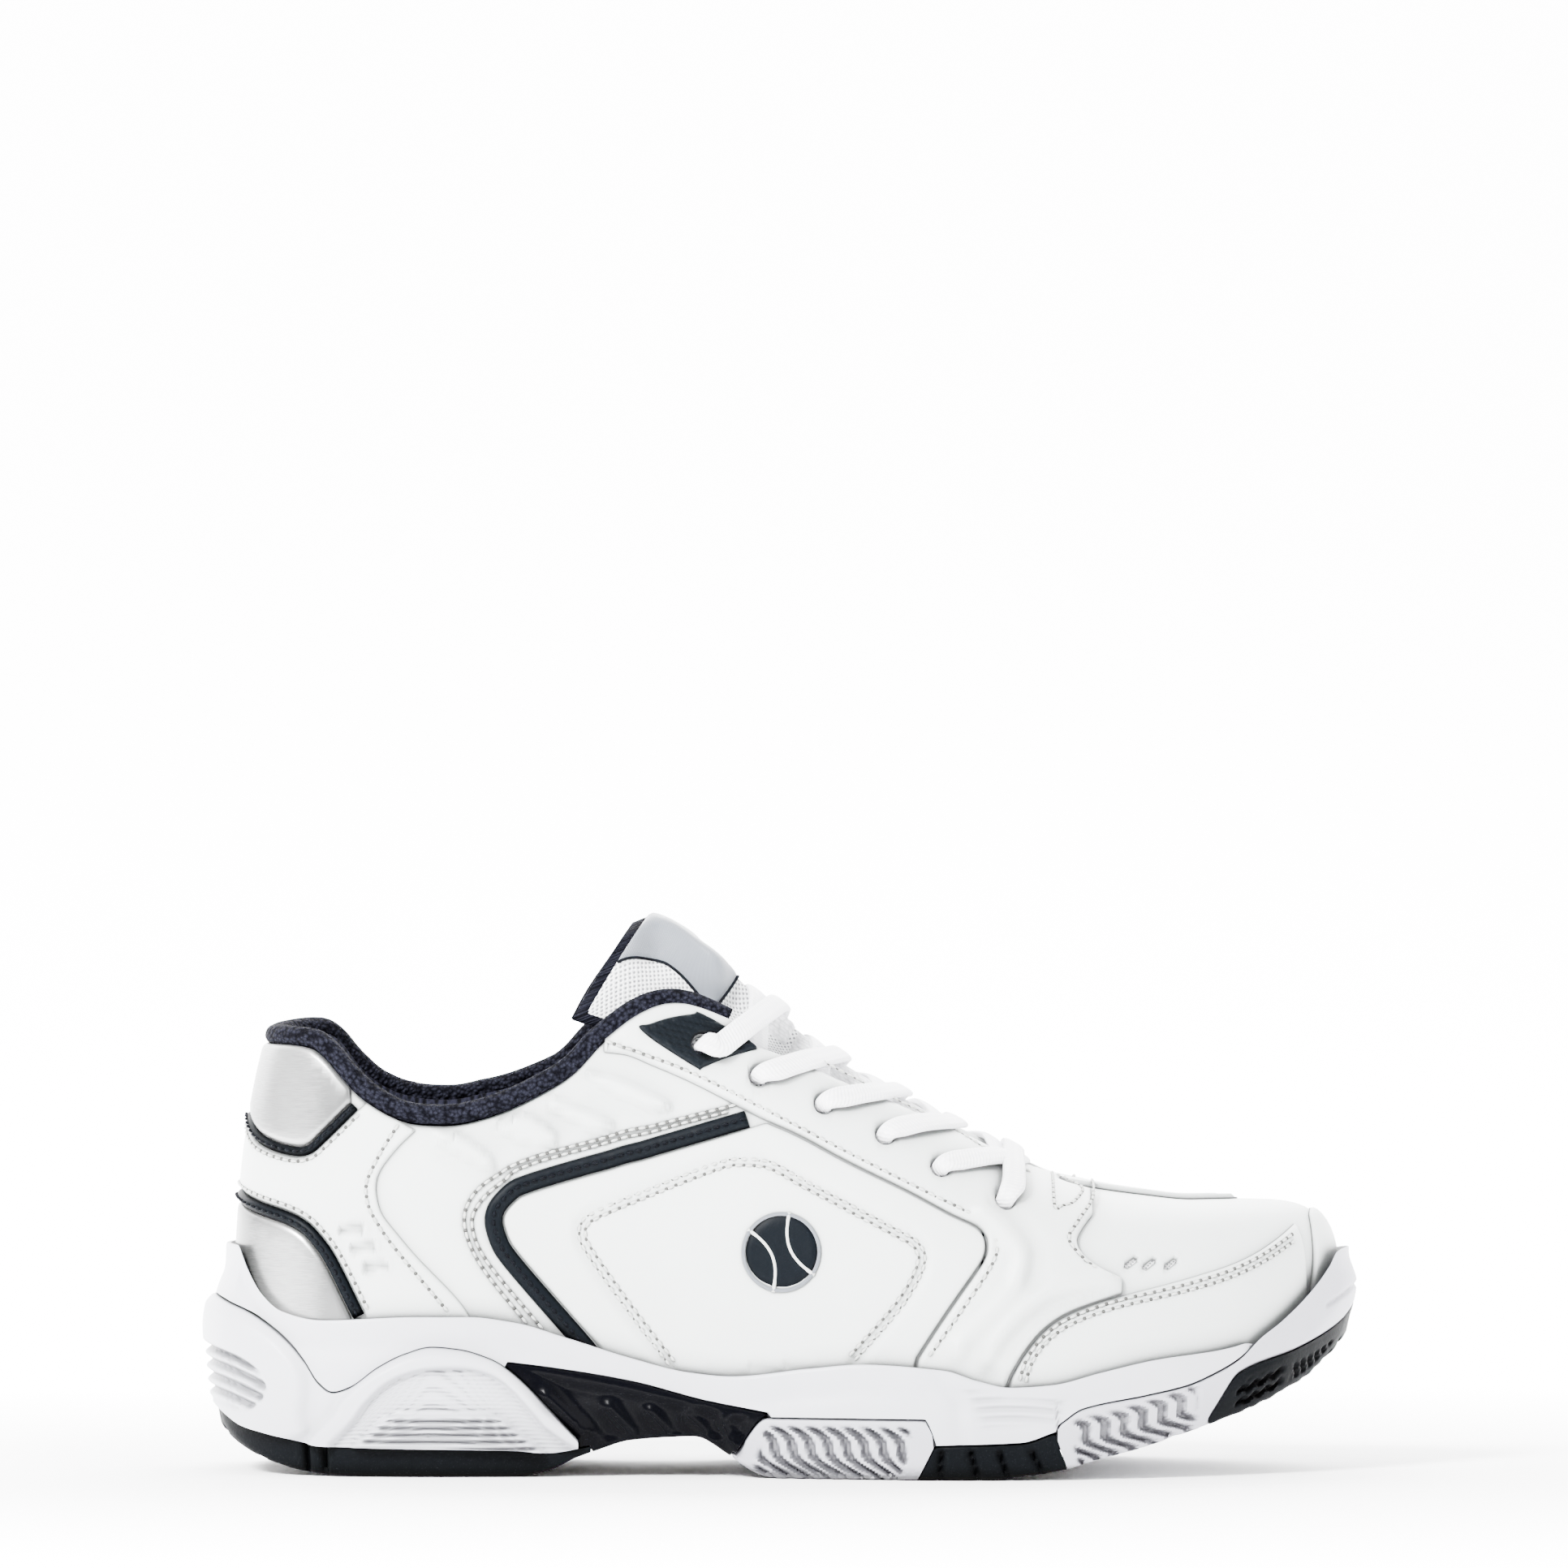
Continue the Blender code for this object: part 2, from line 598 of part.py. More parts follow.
HEEL_TOP = [(-148.8, 19.5), (-143.5, 14.8), (-138.7, 11.8), (-133, 10.3), (-128, 9.2),
            (-118, 7.2), (-109, 6.9), (-69, 6.3), (-60, 5.6), (-49.5, 7.4)]
UNIT_TOP = [(-148.2, 45), (-140.6, 42), (-133, 37.8), (-127.6, 33.8), (-123, 29), (-119, 23.5),
            (-115.4, 21.2), (-111, 22.5), (-103.8, 27.6), (-97, 31), (-90, 32.8), (-83, 32.2),
            (-75, 29.8), (-71, 27.5), (-52.6, 9.2)]
SHANK_TOP = [(-71, 29), (-62, 27.9), (-39.4, 24.2), (-20, 19.3), (-4.4, 16.4)]
BLOCK_TOP = [(-13.4, 4.4), (-4.4, 15.2), (35.6, 15.1), (38.1, 9.5)]
PAD_TOP = [(37.6, 8.4), (60, 9.2), (69, 12)]
FRONT_TOP = [(69.4, 13.6), (76, 17.8), (92.3, 21), (103, 23.3), (111, 26.5), (117, 29.8),
             (123, 35), (128.8, 39), (137.2, 46.3), (142.5, 52.6), (144.6, 56), (149, 57)]
TOE_TOP = [(108.8, 14.9), (116.4, 26), (132.4, 31.7), (144.6, 37.8), (149, 42.2)]


def lip_or_plate(table, plate, a=LIP, b=LIP_IN):
    """Side lip height near the edge, plate height above the ground further in."""
    def field(x, d):
        low = hermite(BOTTOM, x)
        p = low + hermite(plate, x)
        w = np.maximum(hermite(table, x), low + 1.0)
        return p + (w - p) * (1 - smooth(a, b, d))
    return field


def ground(x, d):
    return hermite(BOTTOM, x) + 0 * d


heel_top = lip_or_plate(HEEL_TOP, [(-149, 2.5), (-120, 4.2), (-60, 4.2), (-49, 2.4)])
unit_top = lip_or_plate(UNIT_TOP, [(-149, 8), (-135, 10), (-75, 10), (-71, 9), (-52.6, 4.2)])
shank_top = lip_or_plate(SHANK_TOP, [(-71, 12.5), (-52, 7.5), (-40, 4.5), (-14, 7), (-4, 8)])
block_top = lip_or_plate(BLOCK_TOP, [(-13.4, 3), (-4, 4.6), (40, 4.6)])
pad_top = lip_or_plate(PAD_TOP, [(36, 4.6), (70, 4.6)])
front_top = lip_or_plate(FRONT_TOP, [(69, 4.4), (110, 4.4), (125, 3.8), (149, 3.6)])
toe_top = lip_or_plate(TOE_TOP, [(108, 1.8), (149, 1.8)])


def highest(x, d, *spans):
    """Top of whichever pieces lie below; both count on a shared cut line."""
    z = hermite(BOTTOM, x) - GAP
    for x0, x1, field in spans:
        z = np.where((x > x0 - 0.01) & (x < x1 + 0.01), np.maximum(z, field(x, d)), z)
    return z + GAP


def shank_low(x, d):
    return highest(x, d, (-71, -52.6, unit_top), (-52.6, -49.5, heel_top),
                   (-13.4, -4.4, block_top))


def front_low(x, d):
    return np.where(x < 108.79, ground(x, d), toe_top(x, d) + GAP)


def midsole_low(x, d):
    return highest(x, d, (-149, -71, unit_top), (-71, -4.4, shank_top), (-4.4, 37.2, block_top),
                   (37.6, 69, pad_top), (69.4, 149, front_top))


def cup(x, d):
    bed = hermite(FOOTBED, x)
    rim = hermite(FEATHER, x)
    rim = rim + (bed - rim) * smooth(104, 112, x)
    return bed + (rim - bed) * (1 - smooth(LIP, LIP_IN, d))


slab("outsole_heel", -149, -49.5, ground, heel_top, RUBBER_D)
slab("midsole_heel_unit", -149, -52.6, lambda x, d: heel_top(x, d) + GAP, unit_top, EVA, 2)
slab("shank_plate", -71.0, -4.4, shank_low, shank_top, SHANK, 2)
slab("outsole_midfoot_block", -13.4, 37.2, ground, block_top, RUBBER_W, 2)
slab("outsole_flex_pad", 37.6, 69.0, ground, pad_top, RUBBER_D)
slab("outsole_front_bumper", 69.4, 149, front_low, front_top, RUBBER_W, 2)
slab("outsole_toe", 108.8, 149, ground, toe_top, RUBBER_D)
slab("midsole_cup", -149, 149, midsole_low, cup, EVA, 2,
     lambda x, d: (x < 112) | (d > LIP_IN - 0.05))

# ---- upper: reference curves, all as (t, v) ----
RIM = [(-124, 111.8), (-118, 109.5), (-111.5, 102.5), (-106, 97.5), (-98, 93.3), (-90, 92.2),
       (-81, 92.8), (-68.6, 96.9), (-56, 103.8), (-48.5, 111.5), (-40.2, 118.0), (-32, 121.6),
       (-24, 121.2), (-14, 117.0)]
SEAM = [(-94.2, 86), (-98.4, 82), (-102.8, 78.5), (-104.3, 74.8), (-104.1, 71), (-102.8, 66.6),
        (-99, 61.7), (-93.6, 55.4), (-82.8, 44.1), (-78, 36)]
STRIPE = [(-13, 89.3), (-33, 83.9), (-64.5, 74.8), (-71, 71.2), (-74.2, 66.5), (-73.4, 61.0),
          (-69.6, 54.5), (-52, 34.6)]
FACING = [(-46.5, 107.5), (-25.3, 100.4), (-7, 91.1), (7.7, 84.2), (28, 73.9), (42.3, 66.4),
          (49.5, 62.8), (51.3, 58.2), (48.4, 52.1), (33.7, 30.5)]
HEEL_PIPE_HIGH = [(-134.0, 85.0), (-127.2, 82.6), (-122.1, 82.6), (-117.9, 86.0),
                  (-109.8, 92.0)]
HEEL_PIPE_LOW = [(-132.2, 66.8), (-124, 63.8), (-119, 59.2), (-115, 53.1),
                 (-109.5, 42.5)]
TOE_EDGE = [(57.5, 25.5), (61.0, 31.5), (66.5, 37.8), (73.5, 42.0), (86, 46.0), (105, 50.6),
            (119.2, 55.6), (127.2, 60.5)]
VAMP_EDGE = [(78.8, 66), (74.6, 60.3), (75.5, 57.0), (79.5, 53.6), (86, 50.5)]
THROAT_HW = [(-16, 23), (-4, 21.5), (8, 20), (20, 18.5), (32, 17), (44, 15), (54, 13), (61, 10.5)]
THROAT_END = 67.0


def half_throat(x, sgn):
    """Distance from the ridge to the throat's edge; the medial one is narrower."""
    return hermite(THROAT_HW, x) - (2.0 if sgn > 0 else 0.0)


def in_plane(tv, offset_u, offset_w, along):
    """Shift (t, v) by distances across and along a path, measured on the surface."""
    e = 1e-3
    st = (last_point(tv[:, 0] + e, tv[:, 1]) - last_point(tv[:, 0] - e, tv[:, 1])) / (2 * e)
    lo, hi = np.clip(tv[:, 1] - e, 0, 1), np.clip(tv[:, 1] + e, 0, 1)
    sv = (last_point(tv[:, 0], hi) - last_point(tv[:, 0], lo)) / (hi - lo)[:, None]
    n = last_normal(tv[:, 0], tv[:, 1])
    side_dir = np.cross(n, along)
    move = side_dir * np.asarray(offset_u)[..., None] + along * np.asarray(offset_w)[..., None]
    a, b, c = (st * st).sum(1), (st * sv).sum(1), (sv * sv).sum(1)
    p, q = (move * st).sum(1), (move * sv).sum(1)
    det = a * c - b * b
    return tv + np.stack([(p * c - q * b) / det, (a * q - b * p) / det], -1)


def direction(tv):
    p = last_point(tv[:, 0], tv[:, 1])
    d = np.gradient(p, axis=0)
    return d / np.linalg.norm(d, axis=1, keepdims=True)


def offset_curve(tv, dist):
    return in_plane(tv, np.full(len(tv), float(dist)), np.zeros(len(tv)), direction(tv))


def disc(tv, r, n=9):
    """Small circle on the surface, in the chart."""
    ang = np.arange(n) * 2 * math.pi / n
    c = np.repeat(tv[None], n, 0)
    e = 1e-3
    st = last_point(c[:, 0] + e, c[:, 1]) - last_point(c[:, 0] - e, c[:, 1])
    st /= np.linalg.norm(st, axis=1, keepdims=True)
    return to_chart(in_plane(c, r * np.sin(ang), r * np.cos(ang), st))


def surface_path(tv, step):
    """Resample a (t, v) curve evenly by distance on the surface."""
    tv = rounded(tv, closed=False, n=8)
    p = last_point(tv[:, 0], tv[:, 1])
    s = np.concatenate([[0], np.cumsum(np.linalg.norm(np.diff(p, axis=0), axis=1))])
    n = max(2, int(round(s[-1] / step)) + 1)
    u = np.linspace(0, s[-1], n)
    return np.stack([np.interp(u, s, tv[:, k]) for k in (0, 1)], -1)


def ribbon(name, tv, width, d0, d1, look, step=5.0):
    """Narrow closed strip along a surface curve."""
    tv = surface_path(tv, step)
    half = np.full(len(tv), width / 2)
    d = direction(tv)
    left, right = (in_plane(tv, k * half, 0 * half, d) for k in (1, -1))
    rows = [layer(left, np.full(len(tv), d0)), layer(right, np.full(len(tv), d0)),
            layer(right, np.full(len(tv), d1)), layer(left, np.full(len(tv), d1))]
    v = np.stack(rows, 1).reshape(-1, 3)
    f = []
    for i in range(len(tv) - 1):
        for k in range(4):
            m = (k + 1) % 4
            f.append((i * 4 + k, i * 4 + m, i * 4 + 4 + m, i * 4 + 4 + k))
    f.append((3, 2, 1, 0))
    last = (len(tv) - 1) * 4
    f.append((last, last + 1, last + 2, last + 3))
    return add_mesh(name, v, f, look)


def both(tv):
    """A lateral curve that starts at the heel centre, carried round to the medial side."""
    return np.vstack([(mirror(tv)[::-1] - [1, 0])[:-1], tv])


rim_lat = side(RIM)
heel_v = solve(np.array([[-133.5, 112.0]]), lambda t, v: last_point(0 * t, v)[..., [0, 2]]
               + np.stack([t, 0 * t], -1), np.array([[0.0, 0.6]]))[0, 1]
rim_lat = surface_path(np.vstack([[0.0, heel_v], rim_lat]), 4.0)
rim_med = mirror(rim_lat)
drop = 0.032


def between(tv, x0, x1):
    x = last_point(tv[:, 0], tv[:, 1])[:, 0]
    return tv[(x > x0) & (x < x1)]


throat_x = np.array([-9.0, -1.0, 8, 20, 32, 44, 54, 61])
throat_lat = plan([(x, hermite(RIDGE_Y, x) - hermite(THROAT_HW, x)) for x in throat_x])
throat_med = plan([(x, hermite(RIDGE_Y, x) + half_throat(x, 1)) for x in throat_x])
throat_end = plan([(65.6, -5.5), (THROAT_END, 0.0), (65.6, 4.5)])


def lower_rim(tv, amount):
    return np.stack([tv[:, 0], tv[:, 1] - amount], -1)


def t_of(x, medial=False):
    """Lateral outline parameter at x, or its mirrored partner."""
    t = np.linspace(0, 0.5, 2001)
    t = t[np.argmin(np.abs(UPPER.at(t)[:, 0] - x))]
    return 1 - t if medial else t


eyelets = side(LACE_EYELETS)
eyelet_xy = last_point(eyelets[:, 0], eyelets[:, 1])[:, :2]
eyelet_mid = hermite(RIDGE_Y, eyelet_xy[:, 0])
eyelets_med = plan(np.stack([eyelet_xy[:, 0],
                             eyelet_mid + 0.92 * (eyelet_mid - eyelet_xy[:, 1])], -1))
holes_lat = [disc(e, EYELET_R) for e in eyelets]
holes_med = [disc(e, EYELET_R) for e in eyelets_med]

# base layer
split = 47.0
ql = np.vstack([base_arc(0.0008, t_of(split - 0.3)), side([(49.5, 45), (50.5, 60), (51.0, 70)]),
                throat_lat[5::-1], lower_rim(rim_lat[:0:-1], drop),
                [[0.0008, heel_v - drop]]])
ql[43] = plan([(51.3, hermite(RIDGE_Y, 51.3) - hermite(THROAT_HW, 51.3) - 0.6)])[0]
qm = mirror(ql)
panel("quarter_lateral", to_chart(ql), -SHELL, 0.0, WHITE, 9.0, holes_lat[:5])
panel("quarter_medial", to_chart(qm), -SHELL, 0.0, WHITE, 9.0, holes_med[:5])
vl = side([(49.9, 45), (50.9, 60), (51.4, 70)])
vamp_start = plan([(51.9, hermite(RIDGE_Y, 51.9) - hermite(THROAT_HW, 51.9) - 0.6)])
vp = np.vstack([base_arc(t_of(split + 0.3), t_of(split + 0.3, True), 60), mirror(vl),
                mirror(vamp_start), throat_med[6:], throat_end[::-1], throat_lat[:5:-1],
                vamp_start, vl[::-1]])
panel("vamp", to_chart(vp), -SHELL, 0.0, VAMP, 9.0, [holes_lat[5], holes_med[5]])

# overlays on the base layer
L0, L1 = GAP, GAP + OVERLAY
toe_l = side(TOE_EDGE)
toe_c = plan([(132.4, -3), (133.6, 5.0), (132.4, 13)])
toe_path = np.vstack([base_arc(t_of(56.5), t_of(56.5, True), 60), mirror(toe_l), toe_c[::-1],
                      toe_l[::-1]])
panel("toe_overlay", to_chart(toe_path), L0, L1, WHITE, 8.0)

front_l = offset_curve(toe_l[:5], 0.9)
vamp_edge = side(VAMP_EDGE)
bridge = plan([(79.5, -12), (81, 2), (79.5, 16)])
facing_l = side(FACING)
top_l = np.vstack([lower_rim(between(rim_lat, -44, -13.9), drop + 0.012), throat_lat])
out_l = np.vstack([offset_curve(surface_path(facing_l, 5.0), 0.5)[::-1], top_l])
facing = np.vstack([[[t_of(33.0), 0.015]], out_l, throat_end, mirror(out_l)[::-1],
                    [[t_of(33.0, True), 0.015]], base_arc(t_of(36, True), t_of(55.6, True), 6),
                    mirror(front_l), mirror(vamp_edge)[::-1], bridge[::-1], vamp_edge,
                    front_l[::-1], base_arc(t_of(55.6), t_of(36), 6)])
panel("eyestay_facing", to_chart(facing), L0, L1, WHITE, 5.0, holes_lat + holes_med)

stripe_l = side(STRIPE)
for tag, flip in (("lateral", False), ("medial", True)):
    turn = mirror if flip else (lambda c: c)
    inner_edge = offset_curve(surface_path(stripe_l, 4.0), 3.2)[2:]
    facing_in = offset_curve(surface_path(facing_l, 5.0), -0.9)
    facing_in = facing_in[last_point(facing_in[:, 0], facing_in[:, 1])[:, 0] > -2.5]
    saddle = np.vstack([inner_edge[::-1][:-1], facing_in,
                        base_arc(t_of(32), t_of(-47), 16)])
    order = turn(saddle)
    panel("saddle_panel_" + tag, to_chart(order), L0, L1, WHITE, 5.0)
    ribbon("side_stripe_" + tag, turn(stripe_l), 4.4, L0, L1 + 0.3, PIPING)
    mark = turn(side([(-36.4, 109.5), (-24.5, 114.6), (-8.9, 107.6), (-20.7, 102.4)]))
    hole = holes_med[0] if flip else holes_lat[0]
    if flip:
        mark[:, 0] += eyelets_med[0, 0] - (1 - eyelets[0, 0])
        mark[:, 1] += eyelets_med[0, 1] - eyelets[0, 1]
    panel("eyelet_patch_" + tag, to_chart(mark), L1 + GAP, L1 + GAP + 0.7, PATCH, 5.0, [hole])

seam = side(SEAM)


def at_heel(z):
    """The point on the heel centre line at a height."""
    v = np.linspace(0, 0.9, 901)
    return [[0.0, v[np.argmin(np.abs(last_point(0 * v, v)[:, 2] - z))]]]


pipe_hi = both(np.vstack([at_heel(91.0), side(HEEL_PIPE_HIGH)]))
pipe_lo = both(np.vstack([at_heel(70.5), side(HEEL_PIPE_LOW)]))
ribbon("heel_piping_upper", pipe_hi, 1.9, L0, L1 + 0.3, PIPING, 4.0)
ribbon("heel_piping_lower", pipe_lo, 3.0, L0, L1 + 0.3, PIPING, 4.0)
hi_up = offset_curve(surface_path(pipe_hi, 4.0), 1.8)
hi_dn = offset_curve(surface_path(pipe_hi, 4.0), -1.9)
lo_up = offset_curve(surface_path(pipe_lo, 4.0), 3.4)
lo_dn = offset_curve(surface_path(pipe_lo, 4.0), -2.3)
rim_all = np.vstack([(rim_med[::-1] - [1, 0])[:-1], rim_lat])
rim_low = lower_rim(rim_all, drop + 0.012)
tab = np.vstack([hi_up, between(rim_low, -140, -112)[::-1]])
panel("heel_tab", to_chart(tab), L0, L1, SILVER, 4.0)
overlay_side = np.vstack([lower_rim(between(rim_lat, -106, -97), drop + 0.012), seam])
over_l = np.vstack([overlay_side, base_arc(t_of(-77), t_of(-107.0), 6)])
over_m = np.vstack([base_arc(t_of(-107.0, True) - 1, t_of(-77, True) - 1, 6),
                    (mirror(overlay_side) - [1, 0])[::-1]])
heel_over = np.vstack([hi_dn, over_l, lo_up[::-1], over_m])
panel("heel_overlay", to_chart(heel_over), L0, L1, WHITE, 4.5)
low_panel = np.vstack([lo_dn, base_arc(t_of(-112.5), t_of(-112.5, True) - 1, 30)])
panel("heel_panel_lower", to_chart(low_panel), L0, L1 - 0.2, SILVER, 3.6)

# collar binding: a padded tube over the rim
rim_path = surface_path(rim_all, 6.5)
c = layer(rim_path, np.full(len(rim_path), -BINDING_W / 2 + 1.2))
sweep("collar_binding", c, last_normal(rim_path[:, 0], rim_path[:, 1]),
      BINDING_H / 2, BINDING_W / 2, KNIT, 8, 2.3)


def rim_v(t):
    """Height of the collar rim for any t; high where there is no collar."""
    t = np.mod(t, 1.0)
    a = np.interp(t, rim_lat[:, 0], rim_lat[:, 1])
    b = np.interp(1 - t, rim_lat[:, 0], rim_med[:, 1])
    return np.where(t < 0.5, a, b)


def pad(tv):
    """Depth of the lining's outer face below the upper's outer face."""
    below = rim_v(tv[:, 0]) - tv[:, 1]
    x = UPPER.at(tv[:, 0])[:, 0]
    near = (1 - smooth(0.08, 0.26, below)) * (1 - smooth(-40, 0, x))
    return 3.4 + 3.0 * near


lining_edge_l = np.vstack([lower_rim(between(rim_lat[1:], -140, -49), 0.03),
                           side([(-46, 104), (-32, 108), (-20, 103), (-6, 94.5), (10, 87),
                                 (25, 79), (40, 70), (54, 61)])])
lining_hole = np.vstack([[[0.0, heel_v - 0.03]], lining_edge_l, plan([(70, -16), (74, 0), (70, 16)]),
                         mirror(lining_edge_l)[::-1]])
arc = base_arc(0.0, 1.0, 90)[:-1]
lining_outer = to_chart(arc)
PAD = pad(BASE_TV)
panel("inner_lining", lining_outer, -PAD - 0.8, -PAD, LINING, 10.0,
      [resample(to_chart(lining_hole), 10.0)])
foam_top = lower_rim(between(rim_all, -140, -42), drop + 0.004)
foam = np.vstack([foam_top, lower_rim(foam_top, 0.11)[::-1]])
panel("collar_foam", to_chart(foam), 0.4 - PAD, -SHELL - 0.4, FOAM, 8.0)
counter_top = side([(-132, 74), (-120, 68), (-105, 58), (-92, 46), (-84, 34)])
counter = np.vstack([both(np.vstack([at_heel(76), counter_top])), base_arc(t_of(-84), t_of(-84, True) - 1, 30, 0.01)])
panel("heel_counter", to_chart(counter), -SHELL - 1.6, -SHELL - 0.4, STIFF, 9.0)
puff_edge = np.vstack([side([(104, 34), (108, 52), (111, 62)]), plan([(113, -4), (114, 5), (113, 14)]),
                       mirror(side([(104, 34), (108, 52), (111, 62)]))[::-1]])
puff = np.vstack([puff_edge, base_arc(t_of(104, True), t_of(104), 30, 0.01)])
panel("toe_puff", to_chart(puff), -SHELL - 1.6, -SHELL - 0.4, STIFF, 8.0)


def sheet_in_plan(name, inset, low, high, look, step=16.0, ring=9.0):
    loop = UPPER.inset(lambda x: inset + 0 * x)
    q, tri = triangulate([resample(loop.at(np.arange(360) / 360), ring)], step)
    z = hermite(FOOTBED, q[:, 0])
    v, f = closed_pair(np.column_stack([q, z + low]), np.column_stack([q, z + high]), tri)
    return add_mesh(name, v, f, look)


sheet_in_plan("lasting_board", 5.6, 1.2, 2.8, BOARD)
sheet_in_plan("sockliner", 6.0, 3.3, 6.8, SOCK)

# tongue: padded sheet following the ridge, standing up at the ankle
TONGUE_X = [76, 68, 60, 52, 44, 36, 28, 20, 12, 4, -4]
TONGUE_TOP = [(-10, 124.3), (-16, 130.2), (-22, 135.6), (-28, 140.1), (-34, 143.0)]
CLOUD_TV = np.stack([a.ravel() for a in np.meshgrid(np.arange(240) / 240,
                                                    np.linspace(0.3, 0.985, 70))], -1)
CLOUD = last_point(CLOUD_TV[:, 0], CLOUD_TV[:, 1])
CLOUD_N = last_normal(CLOUD_TV[:, 0], CLOUD_TV[:, 1])
CLOUD_ON = CLOUD_TV[:, 1] < rim_v(CLOUD_TV[:, 0]) + 0.04


def push_in(p, clear):
    """Move points inwards until they clear the collar wall by a given depth."""
    pts, nrm = CLOUD[CLOUD_ON], CLOUD_N[CLOUD_ON]
    out = p.copy()
    for k, q in enumerate(p):
        d = ((pts - q) ** 2).sum(1)
        i = int(np.argmin(d))
        gap = float((q - pts[i]) @ nrm[i])
        if d[i] < 14 ** 2 and gap > -clear:
            out[k] = q - nrm[i] * (gap + clear)
    return out


def tongue_rows(cols):
    w = np.linspace(-1, 1, cols)
    rows = []
    for x in TONGUE_X:
        half = float(hermite([(-4, 25), (20, 25), (60, 20), (76, 15)], x))
        y = hermite(RIDGE_Y, x) + w * half
        tv = plan(np.column_stack([np.full(cols, float(x)), y]))
        hw = float(half_throat(x, -1))
        lift_in = -5.6 * smooth(0.22 * hw, 0.68 * hw, np.abs(w * half)) * (1 - smooth(62, 67, x))
        lift_in = lift_in - 5.6 * smooth(62, 67, x)
        rows.append(layer(tv, lift_in - 0.2))
    for k, (x, z) in enumerate(TONGUE_TOP):
        f = (k + 1) / len(TONGUE_TOP)
        tangent = np.array([-0.8 - 0.1 * f, 0.0, 0.6 - 0.25 * f])
        inward = np.array([-tangent[2], 0.0, tangent[0]]) / np.linalg.norm(tangent)
        half = 25 - 3.0 * f
        low_w = np.interp(np.abs(w), [0, 0.25, 0.5, 0.75, 1], [0, 0.8, 6.5, 12.0, 18.0])
        fall = (1 - f) * low_w + f * 25 * np.abs(w) ** 2.2
        row = np.array([[x, -2.0 + f + wi * half, z] for wi in w])
        row += inward[None] * fall[:, None]
        rows.append(row)
    return rows


cols = 9
rows = tongue_rows(cols)
grid = np.array(rows)
flat = grid.reshape(-1, 3)
behind = flat[:, 0] < 6
flat[behind] = push_in(flat[behind], 8.6)
grid = flat.reshape(grid.shape)
du = np.gradient(grid, axis=0)
dw = np.gradient(grid, axis=1)
nrm = np.cross(dw, du)
nrm /= np.linalg.norm(nrm, axis=-1, keepdims=True)
if nrm[3, 4, 2] < 0:
    nrm = -nrm
for _ in range(7):
    nrm[:, 1:-1] = nrm[:, :-2] + nrm[:, 1:-1] + nrm[:, 2:]
    nrm[1:-1] = nrm[:-2] + nrm[1:-1] + nrm[2:]
    nrm /= np.linalg.norm(nrm, axis=-1, keepdims=True)
nrm = 0.6 * nrm[:, 4:5] + 0.4 * nrm
nrm /= np.linalg.norm(nrm, axis=-1, keepdims=True)
thick = np.interp(np.arange(len(rows)), [0, 3, 12, len(rows) - 1], [2.0, 3.6, 4.2, 3.8])
thick = thick[:, None] * (1 - 0.45 * np.abs(np.linspace(-1, 1, cols)) ** 3)[None]
n_r = len(rows)


def grid_solid(name, low, high, look):
    r, c = low.shape[:2]
    tri = []
    for i in range(r - 1):
        for j in range(c - 1):
            a = i * c + j
            tri += [(a, a + 1, a + c + 1), (a, a + c + 1, a + c)]
    v, f = closed_pair(low.reshape(-1, 3), high.reshape(-1, 3), np.array(tri))
    return add_mesh(name, v, f, look)


core = grid - nrm * thick[..., None]
grid_solid("tongue_padding", core, grid, MESH)
back = grid[4:] - nrm[4:] * (thick[4:] + 0.8)[..., None]
grid_solid("tongue_lining", back - nrm[4:] * 0.9, back, KNIT)
lab = grid[-4:, 2:7] + nrm[-4:, 2:7] * 0.4
grid_solid("tongue_label", lab, lab + nrm[-4:, 2:7] * 0.9, LABEL)


# keeper strap on the tongue, between the second and third crossings
keep_row = 9
seg = grid[keep_row:keep_row + 2].copy()
strap = np.stack([seg[0] * 0.75 + seg[1] * 0.25, seg[0] * 0.1 + seg[1] * 0.9])[:, 3:6]
strap_n = nrm[keep_row:keep_row + 2, 3:6]
grid_solid("lace_keeper", strap + strap_n * 0.35, strap + strap_n * 0.85, LABEL)


# ---- lace: one cord on its real route, over-and-under crossings ----
def corner(p0, p1, p2, r=2.3, n=2):
    """Rounded corner at p1."""
    a = p1 + (p0 - p1) / np.linalg.norm(p0 - p1) * min(r, np.linalg.norm(p0 - p1) * 0.49)
    c = p1 + (p2 - p1) / np.linalg.norm(p2 - p1) * min(r, np.linalg.norm(p2 - p1) * 0.49)
    u = np.linspace(0, 1, n + 1)[:, None]
    return (1 - u) ** 2 * a + 2 * u * (1 - u) * p1 + u * u * c


